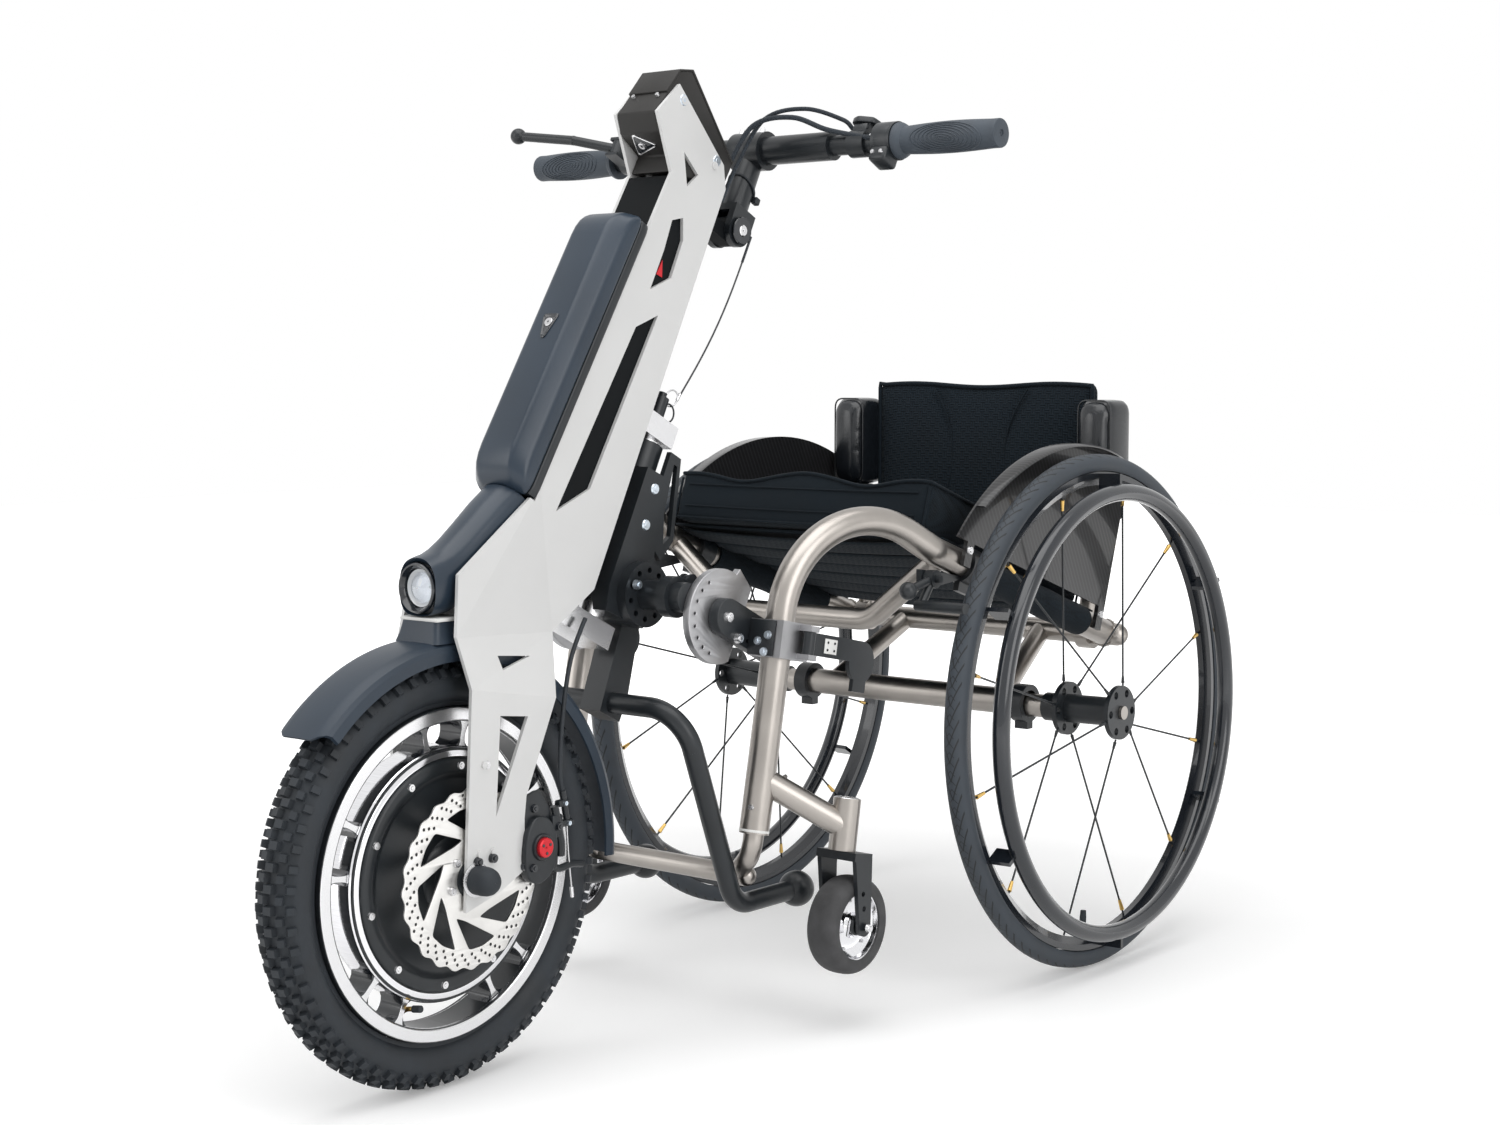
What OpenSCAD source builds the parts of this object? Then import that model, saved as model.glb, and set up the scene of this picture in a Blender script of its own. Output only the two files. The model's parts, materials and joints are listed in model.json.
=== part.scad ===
// Rigid titanium wheelchair with an electric front drive clamped to its frame.
// Millimetres. +Z is up, -Y is forward and +X is the rider's left; z = 0 is the floor.

/* [Rear wheels] */
// Outside diameter of the rear tyres
rear_wheel_d = 610; // [580:1:630]
// Width of the rear tyre section
rear_tyre_w = 25; // [22:0.5:28]
// Distance between the rear wheels' centre planes at the hubs
rear_track = 524; // [516:1:560]
// Camber of the rear wheels in degrees
rear_camber = 1; // [0:0.5:2]
// Width of the rear rims
rear_rim_w = 19; // [16:0.5:22]
// Radial depth of the rear rims
rear_rim_depth = 16; // [12:0.5:20]
// Centre line diameter of the handrims
handrim_d = 520; // [490:1:530]
// Tube diameter of the handrims
handrim_tube_d = 20; // [16:0.5:22]
// Distance from the wheel's centre plane to the handrim's
handrim_offset = 38; // [32:0.5:42]
// Spokes in each rear wheel
rear_spokes = 12; // [8:2:20]
// Diameter of the rear spokes
spoke_d = 2.4; // [1.8:0.1:3]
// Diameter of the rear hub flanges
hub_flange_d = 64; // [56:1:70]
// Diameter of the rear axles
rear_axle_d = 12.7; // [12:0.1:14]

/* [Front wheel] */
// Outside diameter of the front tyre
front_wheel_d = 428; // [416:1:436]
// Width of the front tyre section
front_tyre_w = 54; // [48:1:58]
// Distance between the front and rear axles
wheelbase = 819; // [800:1:850]
// Width of the front rim
front_rim_w = 42; // [36:1:46]
// Diameter of the hub motor
motor_d = 232; // [220:1:236]
// Width of the hub motor
motor_w = 50; // [44:1:54]
// Pairs of webs between rim and motor
web_pairs = 5; // [3:1:7]
// Diameter of the brake rotor
rotor_d = 180; // [160:1:184]
// Diameter of the front axle
front_axle_d = 12; // [10:0.5:14]

/* [Chair frame] */
// Diameter of the main frame tubes
tube_d = 32; // [29:0.5:34]
// Wall of the frame tubes
tube_wall = 2; // [1.5:0.1:3]
// Half distance between the seat rails
rail_half_w = 200; // [194:1:201]
// Half distance between the front down tubes
down_half_w = 140; // [136:1:146]
// Forward reach of the down tube's lower end from the rear axle
foot_reach = 491; // [480:1:500]
// Drop of the down tube's lower end below the rear axle
foot_drop = 84; // [70:1:95]
// Forward reach of the arch's corner
knee_reach = 413; // [405:1:420]
// Rise of the arch's corner above the rear axle
knee_rise = 309; // [300:1:320]
// Forward reach of the seat rail's front end
junction_reach = 247; // [242:1:252]
// Rise of the seat rail's front end
junction_rise = 202; // [196:1:208]
// Reach of the rear cross tube behind the rear axle
rear_reach = 136; // [130:1:142]
// Rise of the rear cross tube above the rear axle
rear_rise = 75; // [70:1:80]
// Bend radius of the arch
arch_r = 116; // [105:1:120]
// Diameter of the rear cross tube
cross_d = 28; // [25:0.5:30]
// Diameter of the struts and of the front hoop
strut_d = 25; // [22:0.5:26]
// Half width of the front hoop's level run
hoop_half_w = 100; // [90:1:110]
// Drop of the front hoop below the seat rails
hoop_drop = 80; // [70:1:90]

/* [Casters] */
// Diameter of the caster wheels
caster_d = 106; // [98:1:110]
// Width of the caster tyres
caster_w = 34; // [28:1:36]
// Half distance between the caster swivel axes
caster_half_w = 200; // [198:1:210]
// Forward reach of the caster barrels
caster_reach = 416; // [410:1:420]
// Drop of the barrels' lower ends below the rear axle
caster_drop = 109; // [104:1:114]
// Backward lean of the swivel axes in degrees
caster_tilt = 10; // [6:0.5:12]
// Trail of the caster axle behind the swivel axis
caster_trail = 21; // [16:0.5:24]
// Drop of the caster axle below the barrel
caster_fork_h = 79; // [76:0.5:84]
// Diameter of the caster axles
caster_axle_d = 8; // [6:0.5:10]

/* [Seat and back] */
// Width of the seat cushion
cushion_w = 366; // [340:1:370]
// Length of the seat cushion along the rails
cushion_l = 350; // [320:1:352]
// Height of the cushion's front
cushion_h = 62; // [50:1:70]
// Width of the back upholstery between the bolsters
back_w = 328; // [300:1:332]
// Height of the back upholstery
back_h = 205; // [180:1:215]
// Thickness of the back upholstery
back_t = 26; // [20:1:30]
// Rise of the back upholstery's lower edge above the rear cross tube
back_rise = 106; // [104:1:115]
// Diameter of the back posts
post_d = 22; // [19:0.5:24]

/* [Mast] */
// Horizontal run of the mast from the front axle to its rear corner
mast_reach = 412; // [405:1:420]
// Height of the mast plates above the front axle
mast_rise = 798; // [780:1:810]
// Width over the upper mast plates
mast_w = 63; // [60:1:66]
// Width over the legs beside the front wheel
leg_w = 114; // [112:1:118]
// Thickness of the mast plates
plate_t = 4; // [3:0.5:5]
// Width of the battery
battery_w = 72; // [66:1:78]
// Depth of the battery in front of the mast plates
battery_depth = 48; // [42:1:52]
// Length of the battery
battery_l = 332; // [310:1:336]
// Outside radius of the front fender
fender_r = 232; // [228:0.5:233]
// Width of the front fender
fender_w = 68; // [60:1:69]
// Diameter of the headlight's bezel
headlight_d = 46; // [38:1:50]

/* [Steering head] */
// Distance of the steering axis behind the mast plates
steer_offset = 38; // [37:0.5:44]
// Diameter of the head tube
head_tube_d = 30; // [28:0.5:32]
// Diameter of the kingpin
kingpin_d = 20; // [16:0.5:22]
// Length of the head tube
head_tube_l = 204; // [190:1:214]
// Width of the head housing
housing_w = 60; // [54:1:62]

/* [Coupling] */
// Diameter of the coupling's cross tube
coupling_d = 32; // [28:0.5:34]
// Half length of the coupling's cross tube
coupling_half_l = 98; // [94:1:99]
// Radius of the indexed flanges
flange_r = 35; // [31:0.5:37]
// Index holes in each flange
flange_holes = 10; // [6:1:12]
// Radius of the quadrant plates
quadrant_r = 50; // [46:1:54]
// Height of the clamps along the down tubes
clamp_h = 40; // [34:1:44]
// Length of the clamp levers behind their hinge
clamp_lever_l = 118; // [100:1:122]

/* [Parking stand] */
// Diameter of the stand's tube
stand_d = 22; // [18:0.5:23]
// Half width of the stand
stand_half_w = 112; // [108:1:113]
// Drop of the stand's feet below its cross bar
stand_drop = 220; // [212:1:226]
// Length of the stand's feet
stand_foot_l = 108; // [96:1:112]

/* [Handlebar] */
// Length of the handlebar with its grips
bar_l = 666; // [640:1:690]
// Diameter of the handlebar
bar_d = 22.2; // [20:0.1:24]
// Diameter of the grips
grip_d = 34; // [30:0.5:36]
// Length of the grips
grip_l = 130; // [115:1:135]
// Length of the stem from its pivot to the handlebar
stem_l = 102; // [96:1:110]

/* [Hidden] */
$fn = 48;

titanium = [0.70, 0.66, 0.60];
black_alloy = [0.10, 0.10, 0.11];
silver_alloy = [0.76, 0.76, 0.77];
plate_paint = [0.80, 0.80, 0.79];
black_rubber = [0.08, 0.08, 0.08];
black_cloth = [0.11, 0.11, 0.12];
case_plastic = [0.09, 0.11, 0.13];

// Gaps: cuts overrun, seated faces, running fits and neighbours that move apart
cut = 2;
seat_gap = 0.05;
run_gap = 0.05;
body_gap = 0.3;
bend_lap = 1;
bend_draw = 0.05;

// Datum points
front_r = front_wheel_d / 2;
rear_r = rear_wheel_d / 2;
total_l = front_r + wheelbase + rear_r;
front_hub = [0, front_r - total_l / 2, front_r];
rear_hub_z = (rear_r - rear_tyre_w / 2) * cos(rear_camber) + rear_tyre_w / 2;
rear_hub = [0, front_hub.y + wheelbase, rear_hub_z];

// Frame points of the left side
foot_end = rear_hub + [down_half_w, -foot_reach, -foot_drop];
knee = rear_hub + [down_half_w, -knee_reach, knee_rise];
junction = rear_hub + [rail_half_w, -junction_reach, junction_rise];
rail_end = rear_hub + [rail_half_w, rear_reach, rear_rise];
junction_r = 20;
rail_stop = 8;
seat_angle = atan2(junction.z - rail_end.z, rail_end.y - junction.y);
rail_l = norm(rail_end - junction);
down_lean = atan2(knee.y - foot_end.y, knee.z - foot_end.z);

// Rear wheel sizes
rear_bead_share = 0.84;
rear_bead_r = rear_r - rear_tyre_w * rear_bead_share;
rear_rim_in = rear_bead_r - rear_rim_depth;
rim_nose_share = 0.4;
rim_wall_share = 0.45;
hub_barrel_d = 34;
hub_inner_l = 64;
hub_outer_l = 38;
flange_t = 6;
flange_inset = 25;
hub_hole_d = 9;
hub_hole_count = 6;
spoke_seat = 0.4;
handrim_tabs = 6;
tab_t = 5;
tab_drop = 2;
tab_seat = 22;
axle_button_d = 16;
axle_button_l = 4;
bush_d = 28;
bush_l = 30;
bush_clear = 0.5;
camber_inset = 3.5;
camber_half_l = rear_track / 2 - hub_inner_l - bush_clear - bush_l - camber_inset;
axle_clamp_l = 18;
axle_clamp_wall = 7;
clamp_lug_w = 12;
clamp_lug_h = 16;

// Front wheel sizes
front_bead_share = 0.9;
front_bead_r = front_r - front_tyre_w * front_bead_share;
front_rim_h = 14;
motor_ring_t = 9;
motor_ring_w = 40;
motor_lip = 6;
web_t = 5;
web_w = 24;
web_spread = 21;
motor_boss_d = 56;
motor_boss_right = 31;
rotor_t = 2;
rotor_x = 49;
rotor_band = 21;
rotor_hub_d = 62;
rotor_arms = 6;
rotor_arm_w = 9;
rotor_arm_skew = 24;
rotor_hole_d = 4;
rotor_holes = 30;
rotor_row_shares = [0.3, 0.7];
spacer_d = 20;
axle_nut_d = 24;
axle_nut_l = 6;
axle_cap_d = 28;
axle_cap_l = 22;

// Mast outline as shares of its run and of its height, from the front axle
mast_top_share = [0.816, 1.000];
rear_top_share = [0.993, 0.899];
rear_corner_share = [1.000, 0.866];
rear_low_share = [0.481, 0.335];
fold_rear_share = [0.330, 0.287];
fold_front_share = [-0.017, 0.296];
lamp_corner_share = [0.005, 0.371];
battery_foot_share = [0.291, 0.472];
front_knee_share = [0.782, 0.882];
front_top_share = [0.728, 0.961];
leg_front_top_share = [-0.005, 0.233];
leg_rear_top_share = [0.277, 0.208];
leg_rear_low_share = [0.085, -0.022];
leg_tip_share = [-0.032, -0.039];
tab_low_share = [0.165, -0.002];
tab_high_share = [0.165, 0.062];
tab_root_share = [0.172, 0.090];
crest_front_share = [0.833, 1.019];
crest_rear_share = [0.879, 1.021];
spine_foot_share = [1.044, 0.901];
slot_shares = [[0.728, 0.692], [0.642, 0.676], [0.345, 0.440], [0.468, 0.466]];
hex_shares = [[0.784, 0.819], [0.827, 0.823], [0.827, 0.793], [0.779, 0.742], [0.697, 0.726], [0.752, 0.779]];
peak_shares = [[0.832, 0.911], [0.888, 0.882], [0.843, 0.865]];
facet_shares = [[0.110, 0.268], [0.225, 0.262], [0.118, 0.250]];
leg_cut_shares = [[0.087, 0.196], [0.180, 0.190], [0.070, 0.072]];
lamp_flare = 4;
fold_flare = 10;
cover_wall = 2.5;
leg_bolt_d = 7;
leg_bolt_shares = [[0.013, 0.030], [0.058, 0.030], [0.030, 0.139]];
leg_bolt_head = 2.5;
plate_screw_d = 9;
plate_screw_head = 1.2;
plate_screw_shares = [[0.832, 0.979], [0.955, 0.897]];

function on_mast(share) = [front_hub.y + share.x * mast_reach, front_hub.z + share.y * mast_rise];
function mast_points(shares) = [for (s = shares) on_mast(s)];

// Steering axis, parallel to the mast's rear edge
rear_edge_run = (rear_corner_share.x - rear_low_share.x) * mast_reach;
rear_edge_rise = (rear_corner_share.y - rear_low_share.y) * mast_rise;
steer_lean = atan2(rear_edge_run, rear_edge_rise);
rear_low = on_mast(rear_low_share);
steer_base = [0, rear_low.x + steer_offset * cos(steer_lean), rear_low.y - steer_offset * sin(steer_lean)];
steer_axis = [0, sin(steer_lean), cos(steer_lean)];
steer_back = [0, cos(steer_lean), -sin(steer_lean)];
function on_steer(x, back, up) = steer_base + [x, 0, 0] + back * steer_back + up * steer_axis;

// Battery axis, parallel to the mast's front edge
front_edge_run = (front_knee_share.x - battery_foot_share.x) * mast_reach;
front_edge_rise = (front_knee_share.y - battery_foot_share.y) * mast_rise;
battery_lean = atan2(front_edge_run, front_edge_rise);
battery_foot = on_mast(battery_foot_share);
battery_drop = 16;
battery_chamfer = 13;
battery_end_cut = 26;

// Head and coupling sizes, measured from the steering axis
head_low = -18;
block_gap = 2.5;
block_h = 25;
block_back = 22;
upper_block_w = 36;
lower_block_w = 40;
lower_block_front = 82;
wing_l = 20;
housing_outline = [[-17, 150], [20, 152], [34, 70], [52, 40], [52, -8], [-10, -12], [-17, 14]];
coupling_back = 30;
coupling_up = 23;
flange_t2 = 12;
index_hole_d = 6.5;
index_pcd_share = 0.74;
index_bolt_d = 12;
index_bolt_l = 12;
loop_outline = [[10, 180], [28, 180], [56, 96], [46, 68], [20, 80], [10, 140]];
loop_slot = [[20, 170], [26, 170], [49, 98], [42, 86], [29, 116]];
loop_t = 6;
wrap_l = 34;
wrap_t = 4;
leg_outline = [[36, 14], [60, 8], [78, -76], [78, -106], [44, -106], [40, -60], [36, -20]];
stand_leg_w = 30;
stand_back = 60;
stand_up = -91;
stand_lean_run = 84;
stand_heel_r = 34;
stand_top_r = 45;
stand_ball_d = 40;
collar_l = 14;
collar_wall = 6;
collar_pos = 78;
collar_lug_d = 14;
qr_lever_l = 46;
qr_lever_t = 7;
qr_pin_d = 5;
quadrant_t = 9;
quadrant_back = 78;
quadrant_up = 22;
quadrant_holes = 8;
quadrant_hole_d = 5;
quadrant_hole_share = 0.82;
quadrant_tail = 28;
quadrant_tail_at = 40;
quadrant_tail_share = 1.12;
quadrant_first = 115;
quadrant_sweep = 130;
arm_w = 38;
clamp_share = 0.51;
clamp_inner = 19.5;
clamp_outer = 24;
clamp_half_l = 24;
hinge_x = 33;
hinge_y = 12;
hinge_r = 7;
hinge_pin_d = 6;
ear_t = 6;
lever_t = 5;
lever_h = 24;
paddle_w = 46;
paddle_h = 66;
clamp_bolt_d = 9;
clamp_bolt_h = 2;

// Handlebar sizes
pivot_back = 17;
pivot_up = 455;
stem_lug_w = 20;
stem_lug_d = 34;
stem_eye_d = 36;
stem_bolt_d = 10;
stem_tube_d = 30;
stem_ear_t = 8;
bar_sleeve_d = 31.8;
bar_sleeve_l = 230;
bar_clamp_l = 44;
bar_clamp_wall = 6;
collar_w = 24;
throttle_collar_d = 42;
switch_gap = 15.7;
switch_w = 22;
switch_h = 16;
button_d = 10;
button_h = 7;
perch_gap = 10;
perch_w = 18;
perch_reach = 36;
lever_pin_d = 6;
lever_eye_d = 16;
lever_run = 124;
lever_rise = 44;
lever_rod_d = 11;
lever_ball_d = 19;
lever_bend_share = 0.4;

function unit(v) = v / norm(v);
function turn(a, b, c) = acos(unit(b - a) * unit(c - b));
function bend_start(a, b, c, r) = b - unit(b - a) * r * tan(turn(a, b, c) / 2);
function bend_end(a, b, c, r) = b + unit(c - b) * r * tan(turn(a, b, c) / 2);
function mirrored(p) = [-p.x, p.y, p.z];
function polar(x, r, a) = [x, r * cos(a), r * sin(a)];
function between(a, b, share) = a + (b - a) * share;

module sided(side) {
    if (side > 0) children();
    else mirror([1, 0, 0]) children();
}

module both_sides() {
    children();
    mirror([1, 0, 0]) children();
}

// Turns children so that their z axis runs from a towards b
module along(a, b) {
    d = b - a;
    translate(a) rotate([0, acos(d.z / norm(d)), atan2(d.y, d.x)]) children();
}

module rod(a, b, d) {
    along(a, b) cylinder(d = d, h = norm(b - a));
}

module tube_section(d, wall) {
    difference() {
        circle(d = d);
        if (wall > 0) circle(d = d - 2 * wall);
    }
}

// One bend of a tube at corner b, drawn in by a hair and lapped into the straight runs
module tube_bend(a, b, c, r, d, wall) {
    lap = bend_lap / r * 180 / PI;
    thin = wall > 0 ? wall - 2 * bend_draw : 0;
    u = unit(b - a);
    n = unit(cross(b - a, c - b));
    m = cross(n, u);
    o = bend_start(a, b, c, r) + m * r;
    multmatrix([
        [-m.x, u.x, n.x, o.x],
        [-m.y, u.y, n.y, o.y],
        [-m.z, u.z, n.z, o.z],
        [0, 0, 0, 1]
    ]) rotate([0, 0, -lap]) rotate_extrude(angle = turn(a, b, c) + 2 * lap)
        translate([r, 0]) tube_section(d - 2 * bend_draw, thin);
}

// Round tube, or bar where wall is 0, through corner points with bent corners
module bent_tube(points, radii, d, wall = 0) {
    last = len(points) - 1;
    for (i = [0:last - 1]) {
        from = i == 0 ? points[0] : bend_end(points[i - 1], points[i], points[i + 1], radii[i - 1]);
        to = i == last - 1 ? points[last]
            : bend_start(points[i], points[i + 1], points[i + 2], radii[i]);
        along(from, to) linear_extrude(norm(to - from)) tube_section(d, wall);
    }
    for (i = [1:last - 1])
        tube_bend(points[i - 1], points[i], points[i + 1], radii[i - 1], d, wall);
}

// A profile of radius and axial place, turned about the x axis
module turned(angle = 360) {
    rotate([0, 90, 0]) rotate_extrude(angle = angle) children();
}

// A y-z outline given thickness from x0 to x1
module slab(x0, x1) {
    translate([x0, 0, 0]) rotate([90, 0, 90]) linear_extrude(x1 - x0) children();
}

module x_rod(x0, x1, d) {
    translate([x0, 0, 0]) rotate([0, 90, 0]) cylinder(d = d, h = x1 - x0);
}

module at_steer() {
    translate(steer_base) rotate([-steer_lean, 0, 0]) children();
}

module at_rail() {
    translate([0, junction.y, junction.z]) rotate([-seat_angle, 0, 0]) children();
}

// Pads: closed soft forms on a grid, crowned on top and drawn in between their corners
function pad_edge(half, draw, t) = half * (1 - draw * (1 - t * t));
function pad_top(u, v, h, crown, dip) =
    h + crown * (1 - pow(u, 4)) * (1 - pow(v, 4)) - dip * (1 - cos(720 * abs(u) / 2)) / 2;
function pad_grid(w, l, h, crown, draw, dip, nu, nv, top) = [
    for (j = [0:nv], i = [0:nu])
        let (u = 2 * i / nu - 1, v = 2 * j / nv - 1)
        [u * pad_edge(w / 2, draw, v), v * pad_edge(l / 2, draw, u), top ? pad_top(u, v, h, crown, dip) : 0]
];
function pad_rim(nu, nv) = concat(
    [for (i = [0:nu - 1]) i],
    [for (j = [0:nv - 1]) j * (nu + 1) + nu],
    [for (i = [0:nu - 1]) nv * (nu + 1) + nu - i],
    [for (j = [0:nv - 1]) (nv - j) * (nu + 1)]
);
function bowed(points, bow, half) = [for (p = points) [p.x, p.y, p.z + bow * pow(p.x / half, 2)]];

module pad(w, l, h, crown, draw, dip = 0, bow = 0, nu = 20, nv = 12, bulge = 2) {
    top = bowed(pad_grid(w, l, h, crown, draw, dip, nu, nv, true), bow, w / 2);
    base = bowed(pad_grid(w, l, h, crown, draw, dip, nu, nv, false), bow, w / 2);
    rim = pad_rim(nu, nv);
    n = (nu + 1) * (nv + 1);
    m = len(rim);
    swell = 1 + 2 * bulge / min(w, l);
    waist = [
        for (k = rim)
            let (p = (top[k] + base[k]) / 2)
            [p.x * swell, p.y * swell, p.z]
    ];
    polyhedron(
        points = concat(top, base, waist),
        faces = concat(
            [for (j = [0:nv - 1], i = [0:nu - 1], t = [0, 1])
                let (a = j * (nu + 1) + i, b = a + nu + 1)
                t == 0 ? [a, b, a + 1] : [a + 1, b, b + 1]],
            [for (j = [0:nv - 1], i = [0:nu - 1], t = [0, 1])
                let (a = n + j * (nu + 1) + i, b = a + nu + 1)
                t == 0 ? [a, a + 1, b] : [a + 1, b + 1, b]],
            [for (k = [0:m - 1], t = [0:3])
                let (q = (k + 1) % m, c = 2 * n + k, d = 2 * n + q)
                t == 0 ? [rim[k], rim[q], c] : t == 1 ? [rim[q], d, c]
                    : t == 2 ? [c, d, n + rim[k]] : [d, n + rim[q], n + rim[k]]]
        )
    );
}

// Chair frame
side_points = [foot_end, knee, junction, rail_end - rail_stop * unit(rail_end - junction)];
side_radii = [arch_r, junction_r];

module cross_tube_bar(d) {
    translate([0, rail_end.y, rail_end.z]) x_rod(-rail_half_w, rail_half_w, d);
}

module frame_side() {
    color(titanium) difference() {
        bent_tube(side_points, side_radii, tube_d, tube_wall);
        translate([0, rail_end.y, rail_end.z])
            x_rod(0, rail_half_w + tube_d, cross_d + 2 * seat_gap);
    }
}

module frame_left() {
    frame_side();
}

module frame_right() {
    mirror([1, 0, 0]) frame_side();
}

hoop_set = 18;
hoop_r = 45;
strut_top_x = 105;
strut_inset = 37;
strut_foot_x = camber_half_l - strut_inset;
hoop_top = junction + unit(rail_end - junction) * hoop_set;
hoop_low = [hoop_half_w, hoop_top.y, hoop_top.z - hoop_drop];
cross_overhang = 14;

module cross_tubes() {
    color(titanium) {
        difference() {
            bent_tube([hoop_top, hoop_low, mirrored(hoop_low), mirrored(hoop_top)],
                [hoop_r, hoop_r], strut_d, tube_wall);
            both_sides() rod(junction, rail_end, tube_d + 2 * seat_gap);
        }
        translate([0, rail_end.y, rail_end.z]) {
            rotate([90, 0, 90]) translate([0, 0, -rail_half_w - cross_overhang])
                linear_extrude(2 * (rail_half_w + cross_overhang)) tube_section(cross_d, tube_wall);
            both_sides() translate([rail_half_w + cross_overhang + seat_gap, 0, 0]) intersection() {
                sphere(d = cross_d);
                x_rod(0, cross_d, cross_d + cut);
            }
        }
        both_sides() difference() {
            along([strut_top_x, rail_end.y, rail_end.z], rear_hub + [strut_foot_x, 0, 0])
                linear_extrude(norm([strut_top_x - strut_foot_x, rear_reach, rear_rise]))
                    tube_section(strut_d, tube_wall);
            cross_tube_bar(cross_d + 2 * seat_gap);
            translate(rear_hub) x_rod(-camber_half_l, camber_half_l, tube_d + 2 * seat_gap);
        }
    }
}

module rear_place(side) {
    sided(side) translate(rear_hub + [rear_track / 2, 0, 0]) rotate([0, -rear_camber, 0]) children();
}

module camber_tube() {
    color(titanium) translate(rear_hub) rotate([90, 0, 90]) translate([0, 0, -camber_half_l])
        linear_extrude(2 * camber_half_l) tube_section(tube_d, tube_wall);
    color(silver_alloy) for (side = [-1, 1]) rear_place(side) {
        x_rod(-hub_inner_l - bush_clear - bush_l, -hub_inner_l - bush_clear, bush_d);
        x_rod(-hub_inner_l - bush_clear - cut, hub_outer_l + axle_button_l, rear_axle_d);
        x_rod(hub_outer_l + bush_clear, hub_outer_l + axle_button_l, axle_button_d);
    }
}

lock_set = 66;
lock_ring_w = 26;
lock_ring_wall = 6;
lock_out = 213;
lock_reach = 268;
lock_rise = 173;
lock_pivot = rear_hub + [lock_out, -lock_reach, lock_rise];
lock_pin_d = 8;
lock_plate_w = 22;
lock_plate_t = 7;
lock_plate_inset = 14;
lock_plate_x = lock_pivot.x - lock_plate_inset;

module lock_pin() {
    translate([lock_plate_x + lock_plate_t - cut, lock_pivot.y, lock_pivot.z])
        x_rod(0, lock_pivot.x - lock_plate_x + lock_plate_t, lock_pin_d);
}

module frame_clamps() {
    color(black_alloy) {
        both_sides() translate(rear_hub + [camber_half_l - axle_clamp_l / 2 + bush_clear, 0, 0])
            difference() {
                union() {
                    x_rod(0, axle_clamp_l, tube_d + 2 * axle_clamp_wall);
                    translate([0, -clamp_lug_w / 2, -tube_d / 2 - axle_clamp_wall - clamp_lug_h / 2])
                        cube([axle_clamp_l, clamp_lug_w, clamp_lug_h]);
                }
                x_rod(-cut, axle_clamp_l + cut, tube_d + 2 * seat_gap);
            }
        both_sides() difference() {
            union() {
                at_rail() translate([rail_half_w, lock_set - lock_ring_w / 2, 0]) rotate([-90, 0, 0])
                    cylinder(d = tube_d + 2 * lock_ring_wall, h = lock_ring_w);
                at_rail() translate([lock_plate_x, lock_set - lock_ring_w / 2, -tube_d])
                    cube([lock_plate_t, lock_ring_w, tube_d]);
                slab(lock_plate_x, lock_plate_x + lock_plate_t) polygon(lock_arm());
                lock_pin();
            }
            rod(junction, rail_end, tube_d + 2 * seat_gap);
        }
    }
}

// Outline of the wheel lock's carrier, from the rail clamp to the lock's pivot
function lock_arm() =
    let (a = junction + lock_set * unit(rail_end - junction), w = lock_plate_w / 2)
    [
        [a.y + w, a.z - w], [a.y - w, a.z - w], [lock_pivot.y - w, lock_pivot.z + w],
        [lock_pivot.y - w, lock_pivot.z - w], [lock_pivot.y + w, lock_pivot.z - w]
    ];

barrel_h = 56;
barrel_d = 30;
caster_stem_d = 15;
caster_arm_d = 28;
caster_arm_share = 0.14;
barrel_lap_share = 0.45;
caster_base = rear_hub + [caster_half_w, -caster_reach, -caster_drop];
caster_axis = [0, sin(caster_tilt), cos(caster_tilt)];

module caster_place(side) {
    sided(side) translate(caster_base) rotate([-caster_tilt, 0, 0]) children();
}

module caster_mounts() {
    color(titanium) both_sides() difference() {
        union() {
            caster_place(1) cylinder(d = barrel_d, h = barrel_h);
            rod(between(foot_end, knee, caster_arm_share),
                caster_base + caster_axis * barrel_h * barrel_lap_share, caster_arm_d);
        }
        caster_place(1) translate([0, 0, -cut])
            cylinder(d = caster_stem_d + 2 * run_gap, h = barrel_h + 2 * cut);
        rod(foot_end, knee, tube_d + 2 * seat_gap);
    }
}

hanger_d = 22;
hanger_in = 50;
hanger_out = 24;
hanger_r = 26;
sleeve_lip = 3;
sleeve_l = 30;
foot_bar_d = 22;
foot_bar_half_l = 112;
foot_bar_reach = 470;
foot_bar_drop = 140;
hanger_foot_x = 98;
down_axis = unit(knee - foot_end);
foot_bar = rear_hub + [0, -foot_bar_reach, -foot_bar_drop];

module footrest() {
    color(titanium) {
        both_sides() difference() {
            bent_tube([foot_end + down_axis * hanger_in, foot_end - down_axis * hanger_out,
                foot_bar + [hanger_foot_x, 0, 0]], [hanger_r], hanger_d);
            translate(foot_bar) x_rod(-foot_bar_half_l, foot_bar_half_l, foot_bar_d + 2 * seat_gap);
        }
        translate(foot_bar) {
            x_rod(-foot_bar_half_l, foot_bar_half_l, foot_bar_d);
            both_sides() translate([foot_bar_half_l, 0, 0]) intersection() {
                sphere(d = foot_bar_d);
                x_rod(0, foot_bar_d, foot_bar_d + cut);
            }
        }
    }
    color("white") both_sides() along(foot_end - down_axis * sleeve_lip, knee) difference() {
        union() {
            cylinder(d = tube_d - 2 * tube_wall - 2 * seat_gap, h = sleeve_l);
            cylinder(d = tube_d, h = sleeve_lip - seat_gap);
        }
        translate([0, 0, -cut]) cylinder(d = hanger_d + 2 * seat_gap, h = sleeve_l + 2 * cut);
    }
}

// Seat
sling_t = 4;
sling_front = 14;
sling_rear = 40;
sleeve_rear = 72;
sling_base = tube_d / 2 + body_gap;
sleeve_wall = 2;
strap_w = 38;
strap_t = 4;
strap_inset = 26;
strap_count = 5;

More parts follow.
